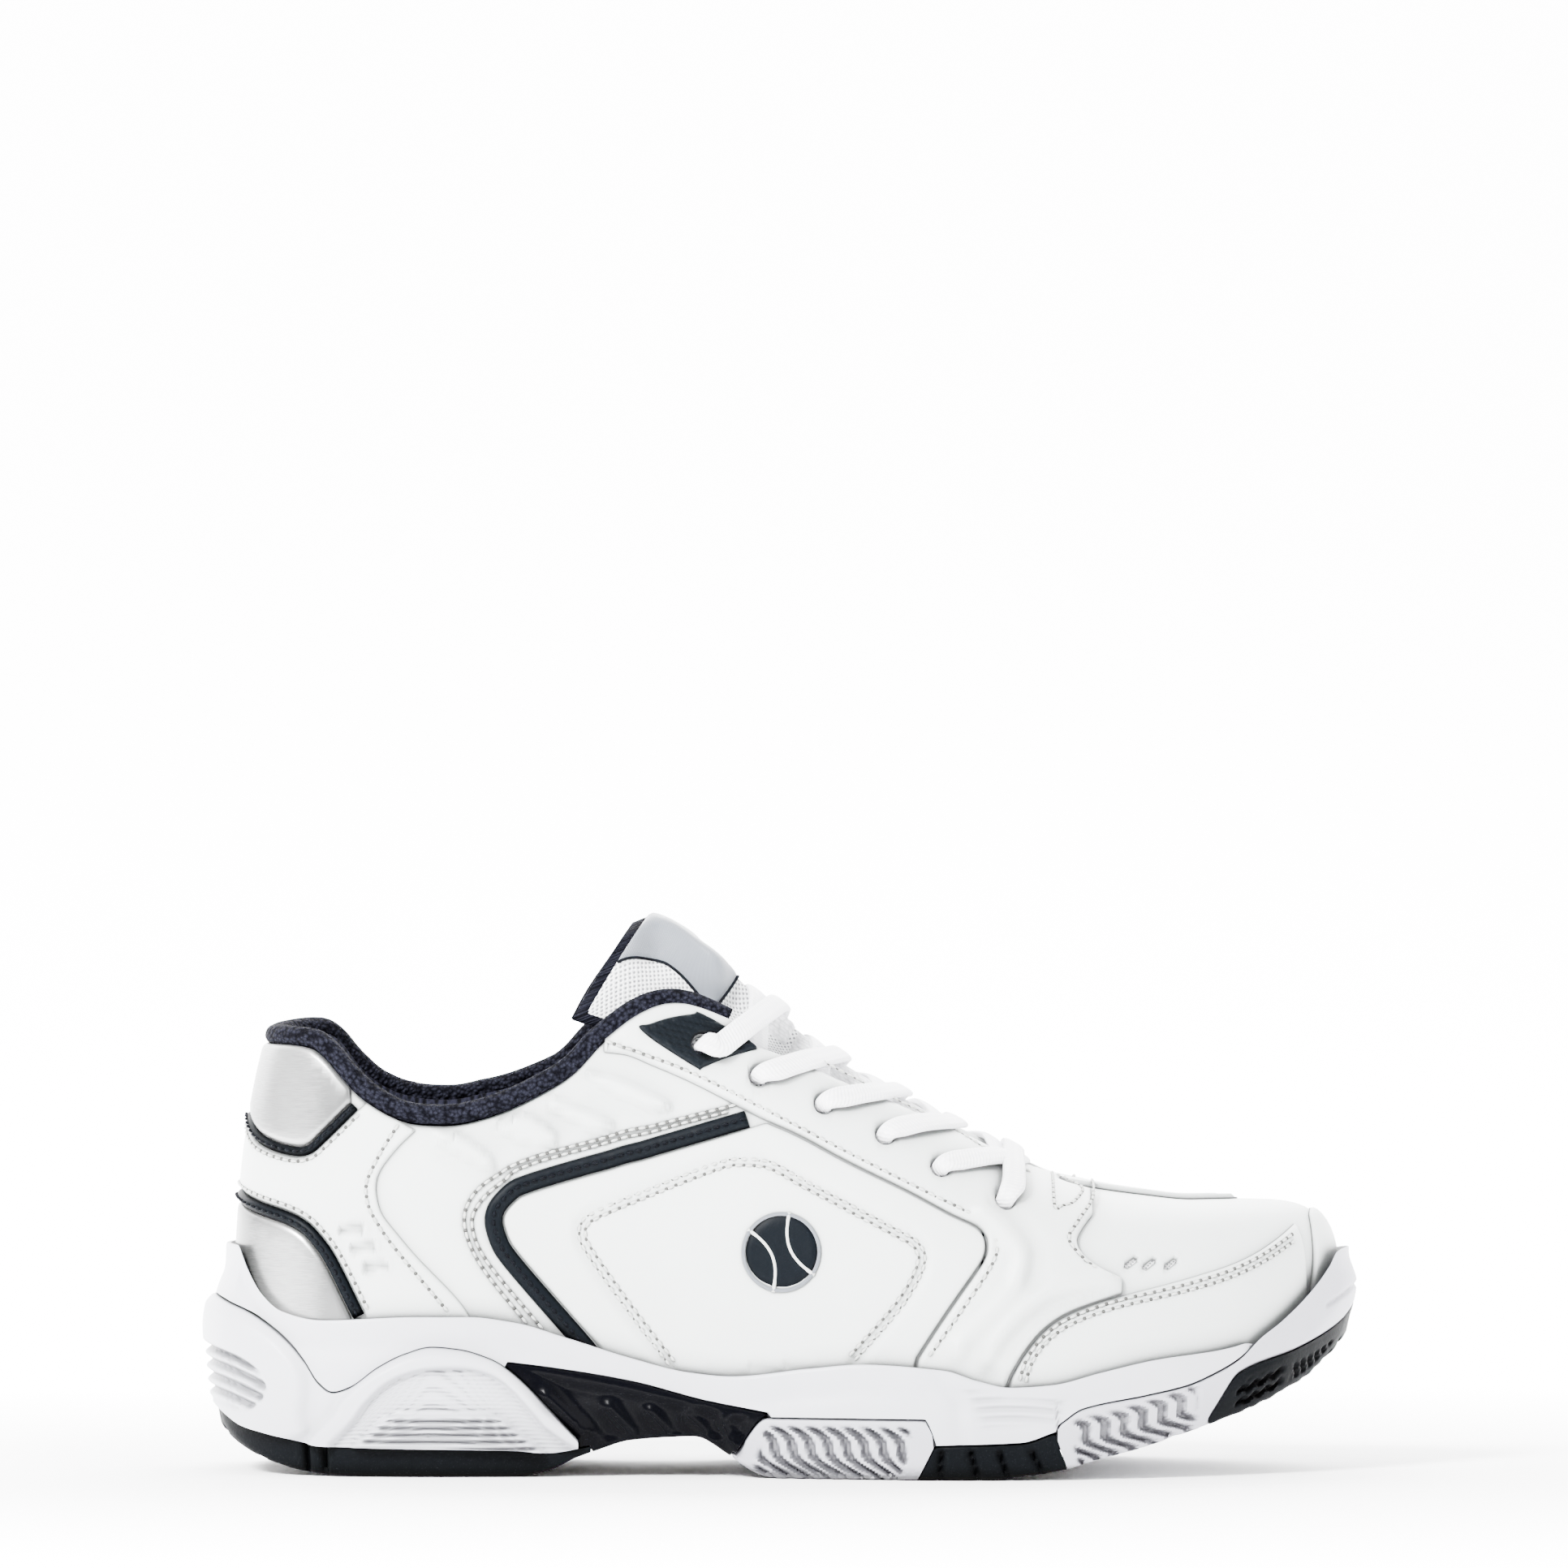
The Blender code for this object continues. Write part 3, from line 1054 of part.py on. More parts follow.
def crossing(k, sgn, high):
    """Strand from under the edge beside eyelet k + 1 to the top of eyelet k opposite."""
    low_e, high_e = LACE_TV[(k + 1, -sgn)], LACE_TV[(k, sgn)]
    p0 = last_point(low_e[:1], low_e[1:])[0]
    p1 = last_point(high_e[:1], high_e[1:])[0]
    hw0 = float(half_throat(p0[0], -sgn))
    hw1 = float(half_throat(p1[0], sgn))
    mid = (4.3 if high else 1.6) + (3.0 if k == 0 else 0.0)
    ys = [hw0 + 1.5, hw0 - 2.5, 5.0, 0.0, -5.0, -hw1 + 2.0, -hw1 - 2.5]
    more = 1.3 if k == 0 else 0.0
    ds = [-3.3, -2.7, mid - 0.2, mid, mid - (0.3 if high else 0.0), 3.3 + more / 2,
          L1 + 1.7 + more]
    reach = abs(p1[1] - float(hermite(RIDGE_Y, p1[0])))
    ys.append(-(hw1 + 2.5 + reach) / 2)
    ds.append(L1 + 1.9 + more)
    span = hw0 + 1.5 + reach
    out = []
    for y, d in zip(ys, ds):
        f = (hw0 + 1.5 - y) / span
        x = p0[0] + (p1[0] - p0[0]) * f
        q = plan([(x, float(hermite(RIDGE_Y, x)) - sgn * y)])
        out.append(layer(q, np.array([d]))[0])
    return out


LACE_TV = {}
for k in range(6):
    LACE_TV[(k, -1)] = eyelets[k]
    LACE_TV[(k, 1)] = eyelets_med[k]


def at_eyelet(k, sgn, d):
    e = LACE_TV[(k, sgn)]
    return layer(e[None], np.array([d]))[0]


def top_of(k):
    return L1 + GAP + 0.7 + 1.6 if k == 0 else L1 + 1.6


def strand(sgn, first_high):
    """From the bottom bar's end on one side up to the top eyelet, tucked inside."""
    pts = []
    side_now = sgn
    for k in range(4, -1, -1):
        pts += [at_eyelet(k + 1, side_now, -3.3)]
        pts += crossing(k, -side_now, (k + (1 if first_high else 0)) % 2 == 0)
        side_now = -side_now
        pts += [at_eyelet(k, side_now, top_of(k))]
    e = LACE_TV[(0, side_now)]
    pts += [at_eyelet(0, side_now, -3.3)]
    tuck = layer(np.array([[e[0], e[1] - 0.034]]), np.array([-3.4]))[0]
    return pts + [tuck]


bar = []
p_l, p_m = at_eyelet(5, -1, L1 + 1.6), at_eyelet(5, 1, L1 + 1.6)
y_l = p_l[1] - float(hermite(RIDGE_Y, 57.5))
y_m = p_m[1] - float(hermite(RIDGE_Y, 57.5))
for y, d in ((y_l * 0.84, L1 + 1.9), (y_l * 0.66, L1 + 1.9), (-12, L1 + 1.8), (-6, 3.5), (0, 3.4),
             (6, 3.5), (12, L1 + 1.8), (y_m * 0.66, L1 + 1.9), (y_m * 0.84, L1 + 1.9)):
    q = plan([(57.5, float(hermite(RIDGE_Y, 57.5)) + y)])
    bar.append(layer(q, np.array([d]))[0])
one = strand(-1, True)
two = strand(1, False)
route = one[::-1] + [p_l] + bar + [p_m] + two
path = [route[0]]
for a, b, c in zip(route[:-2], route[1:-1], route[2:]):
    bend = (b - a) @ (c - b) / np.linalg.norm(b - a) / np.linalg.norm(c - b)
    path += [b] if bend > 0.93 else list(corner(a, b, c))
path.append(route[-1])
path = np.array(path)
keep = np.concatenate([[True], np.linalg.norm(np.diff(path, axis=0), axis=1) > 0.15])
path = path[keep]
LACE_LENGTH = float(np.linalg.norm(np.diff(path, axis=0), axis=1).sum())
print("lace length mm", round(LACE_LENGTH, 1), "points", len(path))
tan = np.gradient(path, axis=0)
tan /= np.linalg.norm(tan, axis=1, keepdims=True)
near = np.array([np.argmin(((BASE_P - q) ** 2).sum(1)) for q in path])
across = np.cross(BASE_N[near], tan)
weight = np.linalg.norm(across, axis=1)
across[weight < 0.75] = 0
fill = across.copy()
good = np.flatnonzero(weight >= 0.75)
for i in range(len(path)):
    if weight[i] < 0.75:
        a = good[good < i].max() if (good < i).any() else good.min()
        b = good[good > i].min() if (good > i).any() else good.max()
        va, vb = across[a], across[b]
        if va @ vb < 0:
            vb = -vb
        f = (i - a) / max(b - a, 1)
        fill[i] = (1 - f) * va + f * vb
across = fill
for i in range(1, len(across)):
    if across[i] @ across[i - 1] < 0:
        across[i] *= -1
across -= tan * (across * tan).sum(1, keepdims=True)
across /= np.linalg.norm(across, axis=1, keepdims=True)
up = np.cross(across, tan)
sides = 6
ang = (np.arange(sides) + 0.5) * 2 * math.pi / sides
ring = (path[:, None] + across[:, None] * (np.cos(ang) * LACE_W / 2)[None, :, None]
        + up[:, None] * (np.sin(ang) * LACE_T / 2)[None, :, None]).reshape(-1, 3)
faces = [(i * sides + k, i * sides + (k + 1) % sides, (i + 1) * sides + (k + 1) % sides,
          (i + 1) * sides + k) for i in range(len(path) - 1) for k in range(sides)]
faces.append(tuple(range(sides))[::-1])
faces.append(tuple((len(path) - 1) * sides + k for k in range(sides)))
add_mesh("lace", ring, faces, LACE)


# ---- moving pieces hang from an empty on their joint's axis ----
def hinge(name, x, z, members):
    axis = bpy.data.objects.new(name, None)
    axis.location = (x * MM, 0.0, z * MM)
    bpy.context.scene.collection.objects.link(axis)
    bpy.context.view_layer.update()
    for member in members:
        piece = bpy.data.objects[member]
        piece.parent = axis
        piece.matrix_parent_inverse = axis.matrix_world.inverted()


hinge("toe_flex_axis", TOE_HINGE_X, TOE_HINGE_Z,
      ("outsole_front_bumper", "outsole_toe", "toe_overlay", "toe_puff", "vamp"))
hinge("tongue_tilt_axis", TONGUE_HINGE_X, TONGUE_HINGE_Z,
      ("tongue_padding", "tongue_lining", "tongue_label", "lace_keeper"))
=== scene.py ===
"""Looks of the court shoe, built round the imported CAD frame.

Frame: toe +X, lateral side -Y, medial side +Y, up +Z. Working dimensions are in
millimetres and become metres in make().
"""
import math

import bpy
import numpy as np
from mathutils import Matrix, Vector
from mathutils.geometry import delaunay_2d_cdt
from mathutils.kdtree import KDTree


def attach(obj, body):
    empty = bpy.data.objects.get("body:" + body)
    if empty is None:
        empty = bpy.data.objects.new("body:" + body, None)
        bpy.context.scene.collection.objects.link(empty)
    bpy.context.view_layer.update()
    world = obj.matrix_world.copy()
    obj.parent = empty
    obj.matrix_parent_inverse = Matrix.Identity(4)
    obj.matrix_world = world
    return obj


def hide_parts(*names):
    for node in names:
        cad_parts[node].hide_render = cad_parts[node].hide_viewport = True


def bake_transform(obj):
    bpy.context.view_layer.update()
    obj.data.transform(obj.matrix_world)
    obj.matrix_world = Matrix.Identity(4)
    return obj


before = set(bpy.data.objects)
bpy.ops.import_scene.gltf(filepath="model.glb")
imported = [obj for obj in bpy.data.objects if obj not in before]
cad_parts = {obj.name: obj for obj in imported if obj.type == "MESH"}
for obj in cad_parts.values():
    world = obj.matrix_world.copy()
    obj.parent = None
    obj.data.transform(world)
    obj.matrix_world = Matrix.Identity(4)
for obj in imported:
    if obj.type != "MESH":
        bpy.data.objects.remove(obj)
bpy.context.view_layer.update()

MM = 0.001
SHIFT = np.array([0.1055, 1.1448, 0.0])

# ---- camera: level, straight on the lateral side ----
DISTANCE = 2.6
FRAME_WIDTH = 0.4057
EYE_HEIGHT = 0.1765
cam_data = bpy.data.cameras.new("camera")
cam_data.sensor_width = 36.0
cam_data.lens = 36.0 * DISTANCE / FRAME_WIDTH
cam = bpy.data.objects.new("camera", cam_data)
cam.location = (0.0, -DISTANCE, EYE_HEIGHT)
cam.rotation_euler = (math.pi / 2, 0.0, 0.0)
bpy.context.scene.collection.objects.link(cam)
bpy.context.scene.camera = cam

# ---- the shoe's own tables (mm), as in the CAD ----
UPPER_INSET = 5.2
LATERAL = [(-148.8, 0.0), (-145.5, -17.0), (-135, -29), (-115, -38), (-90, -41), (-60, -40),
           (-30, -41.5), (0, -47), (30, -53), (55, -54.5), (80, -51.5), (105, -43), (125, -30),
           (140, -13)]
MEDIAL = [(148.8, 6.0), (142, 20), (130, 32), (110, 43.5), (85, 50.5), (60, 52), (30, 46),
          (0, 38), (-30, 34.5), (-60, 36), (-90, 39), (-115, 37), (-135, 28.5), (-145.5, 17)]
RIDGE_X = [(-143, -95), (-125, -92), (-100, -83), (-60, -55), (0, 0), (60, 58), (100, 92),
           (125, 108), (145, 117)]
RIDGE_Y = [(-95, 0), (-50, -1), (0, -2), (60, 0), (100, 3), (117, 5)]
RIDGE_Z = [(-95, 152), (-60, 151), (-40, 146), (-32, 140), (-15, 127), (-2, 117), (14.6, 104.5),
           (35.6, 92.5), (48, 85.5), (60, 78.5), (69, 74.5), (78, 72.6), (90, 70.6), (104, 69),
           (117, 69)]
EXPONENT = [(-143, 2.4), (0, 2.4), (90, 2.6), (125, 3.4), (145, 4.2)]
FOOTBED = [(-145, 28), (-100, 26), (-40, 22), (0, 19), (40, 17), (80, 19), (110, 24), (135, 33),
           (146, 36)]
FEATHER = [(-143, 58), (-140, 52), (-135.8, 46), (-129.5, 41.6), (-119, 39.5), (-93.8, 40.5),
           (-81, 40.5), (-68.6, 39), (-56, 35.3), (-39, 30), (-24.5, 26.5), (-14, 25.6),
           (7, 27.9), (20, 29), (40.6, 27.6), (49, 25), (57.4, 23.3), (68, 23.9), (80.5, 26.9),
           (95, 30), (112, 32.1), (120.4, 34.2), (128.8, 38.4), (137.2, 45.8), (142.5, 52.1),
           (144.6, 55.5)]
BOTTOM = [(-148.8, 18), (-145.6, 12), (-138.7, 6.5), (-131, 3), (-122, 0.8), (-112, 0),
          (-68, 0), (-60, 1.4), (-53.7, 4.4), (-48, 6.5), (-39, 9.2), (-23, 10.2), (-14, 5.5),
          (-8, 1.4), (-3, 0), (52, 0), (62, 1.2), (72.6, 3.4), (90, 7.4), (100, 10.5),
          (108.5, 13.2), (120.4, 17.4), (131, 22.3), (137, 26), (144.6, 33.4), (148.8, 39.5)]
LACE_EYELETS = [(-21.3, 109.5), (-6.6, 101.4), (9.8, 94.1), (25.5, 86.1), (39.6, 77.9),
                (56.0, 69.5)]
THROAT_HW = [(-16, 23), (-4, 21.5), (8, 20), (20, 18.5), (32, 17), (44, 15), (54, 13), (61, 10.5)]
THROAT_END = 67.0
EYELET_R = 2.6


def hermite(table, x):
    """Monotone cubic through a table of (x, y) pairs, flat outside it."""
    xs = np.array([p[0] for p in table], float)
    ys = np.array([p[1] for p in table], float)
    d = np.diff(ys) / np.diff(xs)
    m = np.zeros_like(ys)
    both = d[:-1] * d[1:] > 0
    m[1:-1] = np.where(both, 2 * d[:-1] * d[1:] / np.where(both, d[:-1] + d[1:], 1), 0)
    m[0], m[-1] = d[0], d[-1]
    x = np.clip(np.asarray(x, float), xs[0], xs[-1])
    i = np.clip(np.searchsorted(xs, x) - 1, 0, len(xs) - 2)
    h = xs[i + 1] - xs[i]
    s = (x - xs[i]) / h
    a = (1 + 2 * s) * (1 - s) ** 2 * ys[i] + s * (1 - s) ** 2 * h * m[i]
    b = s * s * (3 - 2 * s) * ys[i + 1] + s * s * (s - 1) * h * m[i + 1]
    return a + b


def unit(v):
    return v / np.linalg.norm(v, axis=-1, keepdims=True)


def smooth(a, b, x):
    """0 below a, 1 above b, with an S curve between."""
    s = np.clip((np.asarray(x, float) - a) / (b - a), 0, 1)
    return s * s * (3 - 2 * s)


class Loop:
    """Closed smooth curve through points; parameter 0..1, 0.5 at a chosen index."""

    def __init__(self, points, half):
        p = np.array(points, float)
        n = len(p)
        d = np.linalg.norm(np.roll(p, -1, 0) - p, axis=1)
        t = np.concatenate([[0], np.cumsum(d)])
        first, last = t[half], t[-1] - t[half]
        t = np.where(t <= first, 0.5 * t / first, 0.5 + 0.5 * (t - first) / last)
        h = np.diff(t)
        a = np.zeros((n, n))
        r = np.zeros((n, 2))
        for i in range(n):
            g, k = h[i - 1], h[i]
            a[i, i - 1] += g
            a[i, i] += 2 * (g + k)
            a[i, (i + 1) % n] += k
            r[i] = 6 * ((p[(i + 1) % n] - p[i]) / k - (p[i] - p[i - 1]) / g)
        self.p, self.t, self.h, self.m = p, t, h, np.linalg.solve(a, r)

    def at(self, t):
        t = np.mod(np.asarray(t, float), 1.0)
        i = np.clip(np.searchsorted(self.t, t, side="right") - 1, 0, len(self.h) - 1)
        j = (i + 1) % len(self.p)
        h = self.h[i][..., None]
        u = (t - self.t[i])[..., None] / h
        w = 1 - u
        a = w * self.p[i] + u * self.p[j]
        b = ((w ** 3 - w) * self.m[i] + (u ** 3 - u) * self.m[j]) * h * h / 6
        return a + b

    def normal(self, t):
        d = self.at(np.asarray(t) + 5e-4) - self.at(np.asarray(t) - 5e-4)
        d = unit(d)
        return np.stack([d[..., 1], -d[..., 0]], -1)

    def inset(self, amount, n=72):
        t = np.arange(n) / n
        return Loop(self.at(t) - self.normal(t) * amount(self.at(t)[:, 0])[:, None], n // 2)


SOLE = Loop(LATERAL + MEDIAL, len(LATERAL))
UPPER = SOLE.inset(lambda x: hermite([(-149, 7.4), (-120, 5.6), (-60, UPPER_INSET),
                                      (100, UPPER_INSET), (149, 6.0)], x))


def ridge(x):
    rx = hermite(RIDGE_X, x)
    return np.stack([rx, hermite(RIDGE_Y, rx), hermite(RIDGE_Z, rx)], -1)


def last_point(t, v):
    """Outer face of the upper: t runs round the foot, v from the sole to the ridge."""
    o = UPPER.at(t)
    r = ridge(o[..., 0])
    n = hermite(EXPONENT, o[..., 0])
    c, s = np.cos(v * math.pi / 2), np.sin(v * math.pi / 2)
    k = (np.abs(c) ** n + np.abs(s) ** n) ** (-1 / n)
    a, f = 1 - k * c, k * s
    zb = hermite(FOOTBED, o[..., 0]) + 1.8 + 1.4 * smooth(100, 140, o[..., 0])
    x = o[..., 0] + a * (r[..., 0] - o[..., 0])
    y = o[..., 1] + a * (r[..., 1] - o[..., 1])
    return np.stack([x, y, zb + f * (r[..., 2] - zb)], -1)


def last_normal(t, v):
    e = 2e-3
    v = np.minimum(v, 0.985)
    dt = last_point(t + e, v) - last_point(t - e, v)
    dv = last_point(t, v + e) - last_point(t, v - e)
    n = np.cross(dt, dv)
    return unit(n)


def on(tv):
    return last_point(tv[:, 0], tv[:, 1])


def normal_on(tv):
    return last_normal(tv[:, 0], tv[:, 1])


def layer(tv, d):
    """Points at height d over the upper's face."""
    return on(tv) + normal_on(tv) * np.broadcast_to(d, len(tv))[..., None]


def solve(target, fun, start, steps=14):
    """Newton steps for fun(t, v) = target, both (n, 2)."""
    tv = start.copy()
    e = 1e-4
    for _ in range(steps):
        f = fun(tv[:, 0], tv[:, 1])
        a = (fun(tv[:, 0] + e, tv[:, 1]) - f) / e
        b = (fun(tv[:, 0], tv[:, 1] + e) - f) / e
        r = target - f
        det = a[:, 0] * b[:, 1] - a[:, 1] * b[:, 0]
        det = np.where(np.abs(det) < 1e-3, 1e-3, det)
        dt = (r[:, 0] * b[:, 1] - r[:, 1] * b[:, 0]) / det
        dv = (a[:, 0] * r[:, 1] - a[:, 1] * r[:, 0]) / det
        tv[:, 0] += np.clip(dt, -0.03, 0.03)
        tv[:, 1] = np.clip(tv[:, 1] + np.clip(dv, -0.1, 0.1), 0.0, 0.9995)
    return tv


def nearest(target, fun, t0, t1):
    t, v = np.meshgrid(np.linspace(t0, t1, 121), np.linspace(0.01, 0.97, 25))
    t, v = t.ravel(), v.ravel()
    f = fun(t, v)
    i = np.argmin(((target[:, None] - f[None]) ** 2).sum(-1), axis=1)
    return np.stack([t[i], v[i]], -1)


def side(points):
    """(x, z) seen from the lateral side -> (t, v)."""
    p = np.array(points, float)
    fun = lambda t, v: last_point(t, v)[..., [0, 2]]
    return solve(p, fun, nearest(p, fun, 0.0, 0.5))


def plan(points):
    """(x, y) seen from above -> (t, v)."""
    p = np.array(points, float)
    fun = lambda t, v: last_point(t, v)[..., :2]
    return solve(p, fun, nearest(p, fun, 0.0, 1.0))


def mirror(tv):
    """Lateral (t, v) to medial; the medial collar stands a little higher."""
    t, v = tv[:, 0], tv[:, 1]
    up = 0.024 * smooth(0.0, 0.06, t) * (1 - smooth(0.12, 0.19, t)) * smooth(0.25, 0.6, v)
    return np.stack([1 - t, v + up], -1)


def chart(t, v):
    o = UPPER.at(t)
    return o + v[..., None] * (ridge(o[..., 0])[..., :2] - o)


def to_chart(tv):
    return chart(tv[:, 0], tv[:, 1])


CHART_TV = np.stack([a.ravel() for a in np.meshgrid(np.arange(600) / 600,
                                                    np.linspace(0, 0.99, 60))], -1)
CHART_TREE = KDTree(len(CHART_TV))
for index, (cx, cy) in enumerate(to_chart(CHART_TV).tolist()):
    CHART_TREE.insert((cx, cy, 0), index)
CHART_TREE.balance()


def unchart(q):
    start = CHART_TV[[CHART_TREE.find((x, y, 0))[1] for x, y in q.tolist()]]
    return solve(q, chart, start, 6)


ROUND, UP = 760.0, 96.0


def unroll(tv):
    return tv * [ROUND, UP]


def reroll(q):
    return q / [ROUND, UP]


# ---- curves ----
def length_along(p):
    """Distance along a polyline at each of its points."""
    return np.concatenate([[0], np.cumsum(np.linalg.norm(np.diff(p, axis=0), axis=1))])


def catmull_rom(a, b, c, d, s):
    """Point at s between b and c."""
    return 0.5 * (2 * b + (c - a) * s + (2 * a - 5 * b + 4 * c - d) * s ** 2
                  + (3 * b - a - 3 * c + d) * s ** 3)


def rounded(p, closed=True, n=6):
    """Catmull-Rom curve through the points."""
    p = np.array(p, float)
    m = len(p)
    out = []
    for i in range(m if closed else m - 1):
        a, b, c, d = (p[(i + k) % m] if closed else p[min(max(i + k, 0), m - 1)]
                      for k in (-1, 0, 1, 2))
        out.append(catmull_rom(a, b, c, d, (np.arange(n) / n)[:, None]))
    if not closed:
        out.append(p[-1:])
    return np.vstack(out)


def even(p, step, closed=True):
    """The same polyline with evenly spaced points."""
    p = np.array(p, float)
    if closed:
        p = np.vstack([p, p[:1]])
    d = length_along(p)
    n = max(3, int(round(d[-1] / step)))
    s = np.linspace(0, d[-1], n + 1)
    out = np.stack([np.interp(s, d, p[:, k]) for k in range(p.shape[1])], -1)
    return out[:-1] if closed else out


def surface_path(tv, step=2.0):
    """Resample a (t, v) curve evenly by distance on the surface."""
    tv = rounded(tv, closed=False, n=8)
    s = length_along(on(tv))
    u = np.linspace(0, s[-1], max(2, int(round(s[-1] / step)) + 1))
    return np.stack([np.interp(u, s, tv[:, k]) for k in (0, 1)], -1)


def direction(tv):
    d = np.gradient(on(tv), axis=0)
    return unit(d)


def in_plane(tv, offset_u, offset_w, along):
    """Shift (t, v) by distances across and along a path, measured on the surface."""
    e = 1e-3
    st = (last_point(tv[:, 0] + e, tv[:, 1]) - last_point(tv[:, 0] - e, tv[:, 1])) / (2 * e)
    lo, hi = np.clip(tv[:, 1] - e, 0, 1), np.clip(tv[:, 1] + e, 0, 1)
    sv = (last_point(tv[:, 0], hi) - last_point(tv[:, 0], lo)) / (hi - lo)[:, None]
    n = normal_on(tv)
    across = np.cross(n, along)
    move = across * np.asarray(offset_u)[..., None] + along * np.asarray(offset_w)[..., None]
    a, b, c = (st * st).sum(1), (st * sv).sum(1), (sv * sv).sum(1)
    p, q = (move * st).sum(1), (move * sv).sum(1)
    det = a * c - b * b
    return tv + np.stack([(p * c - q * b) / det, (a * q - b * p) / det], -1)


def offset_curve(tv, dist):
    return in_plane(tv, np.full(len(tv), float(dist)), np.zeros(len(tv)), direction(tv))


def disc(tv, r, n=20):
    """Small circle on the surface."""
    ang = np.arange(n) * 2 * math.pi / n
    c = np.repeat(tv[None], n, 0)
    e = 1e-3
    st = last_point(c[:, 0] + e, c[:, 1]) - last_point(c[:, 0] - e, c[:, 1])
    st = unit(st)
    return in_plane(c, r * np.sin(ang), r * np.cos(ang), st)


def base_arc(t0, t1, n=40, v=0.015):
    t = np.linspace(t0, t1, n)
    return np.stack([t, np.full(n, v)], -1)


def both(tv):
    """A lateral curve that starts at the heel centre, carried round to the medial side."""
    return np.vstack([(mirror(tv)[::-1] - [1, 0])[:-1], tv])


def between(tv, x0, x1):
    x = on(tv)[:, 0]
    return tv[(x > x0) & (x < x1)]


def lower_rim(tv, amount):
    return np.stack([tv[:, 0], tv[:, 1] - amount], -1)


def t_of(x, medial=False):
    """Lateral outline parameter at x, or its mirrored partner."""
    t = np.linspace(0, 0.5, 2001)
    t = t[np.argmin(np.abs(UPPER.at(t)[:, 0] - x))]
    return 1 - t if medial else t


def half_throat(x, sgn):
    return hermite(THROAT_HW, x) - (2.0 if sgn > 0 else 0.0)


def at_heel(z):
    v = np.linspace(0, 0.9, 901)
    return [[0.0, v[np.argmin(np.abs(last_point(0 * v, v)[:, 2] - z))]]]


# ---- flat geometry ----
def inside(q, poly):
    x, y = q[:, 0], q[:, 1]
    hit = np.zeros(len(q), bool)
    for i in range(len(poly)):
        (x0, y0), (x1, y1) = poly[i - 1], poly[i]
        if y1 != y0:
            hit ^= ((y0 > y) != (y1 > y)) & (x < (x1 - x0) * (y - y0) / (y1 - y0) + x0)
    return hit


def line_distance(q, pts):
    """Distance to an open polyline."""
    best = np.full(len(q), 1e9)
    pts = np.asarray(pts, float)
    for a, b in zip(pts[:-1], pts[1:]):
        ab = b - a
        s = np.clip(((q - a) @ ab) / max(ab @ ab, 1e-12), 0, 1)
        best = np.minimum(best, ((q - a - s[:, None] * ab) ** 2).sum(1))
    return np.sqrt(best)


def edge_distance(q, poly):
    return line_distance(q, np.vstack([poly, poly[:1]]))


def cross2(a, b):
    return a[..., 0] * b[..., 1] - a[..., 1] * b[..., 0]


def mesh_loops(loops, step, rings, extra=None, margin=0.0):
    """Fine triangles inside the first loop and outside the others."""
    sample = np.vstack(loops)
    lo, hi = sample.min(0), sample.max(0)
    rows = np.arange(lo[1], hi[1] + step, step * 0.866)
    cols = np.arange(lo[0], hi[0] + step, step)
    grid = np.vstack([np.stack([cols + (k % 2) * step / 2, 0 * cols + y], -1)
                      for k, y in enumerate(rows)])

    def clear(q, gap):
        ok = inside(q, loops[0])
        for hole in loops[1:]:
            ok &= ~inside(q, hole)
        q = q[ok]
        d = np.min([edge_distance(q, loop) for loop in loops], axis=0)
        return q[d > gap]

    last = rings[-1] if rings else 0
    free = [clear(grid, max(last + 0.5 * step, margin))]
    if extra is not None:
        free.append(clear(extra, 0.3))
    for r in rings:
        for loop in loops:
            tan = np.roll(loop, -1, 0) - np.roll(loop, 1, 0)
            n = np.stack([tan[:, 1], -tan[:, 0]], -1)
            n /= np.maximum(np.linalg.norm(n, axis=1, keepdims=True), 1e-9)
            free.append(clear(np.vstack([loop + n * r, loop - n * r]), 0.86 * r))
    pts, edges, at = [], [], 0
    for loop in loops:
        n = len(loop)
        pts += loop.tolist()
        edges += [(at + i, at + (i + 1) % n) for i in range(n)]
        at += n
    pts += np.vstack(free).tolist()
    out = delaunay_2d_cdt([Vector(p) for p in pts], edges, [], 0, 1e-3, True)
    co = np.array([tuple(p) for p in out[0]])
    tri = np.array([f for f in out[2] if len(f) == 3])
    c = co[tri].mean(1)
    ok = inside(c, loops[0])
    for hole in loops[1:]:
        ok &= ~inside(c, hole)
    area = cross2(co[tri[:, 1]] - co[tri[:, 0]], co[tri[:, 2]] - co[tri[:, 0]])
    ok &= np.abs(area) > 1e-6
    tri, area = tri[ok], area[ok]
    tri[area < 0] = tri[area < 0][:, ::-1]
    used = np.unique(tri)
    back = np.full(len(co), -1)
    back[used] = np.arange(len(used))
    return co[used], back[tri]


def rim_edges(tri):
    """Directed boundary edges of a triangle mesh."""
    e = np.vstack([tri[:, [0, 1]], tri[:, [1, 2]], tri[:, [2, 0]]])
    seen = set(map(tuple, e.tolist()))
    return [(a, b) for a, b in e.tolist() if (b, a) not in seen]


def closed_pair(low, high, tri):
    n = len(low)
    faces = (tri + n).tolist() + tri[:, ::-1].tolist()
    faces += [(a, b, b + n, a + n) for a, b in rim_edges(tri)]
    return np.vstack([low, high]), faces


# ---- making pieces ----
# the medial collar is made a little higher than the lateral one: (x, rise)
COLLAR_RISE = [(-112, 0), (-97, 2.6), (-80, 2.6), (-68, 1.0), (-60, 0)]


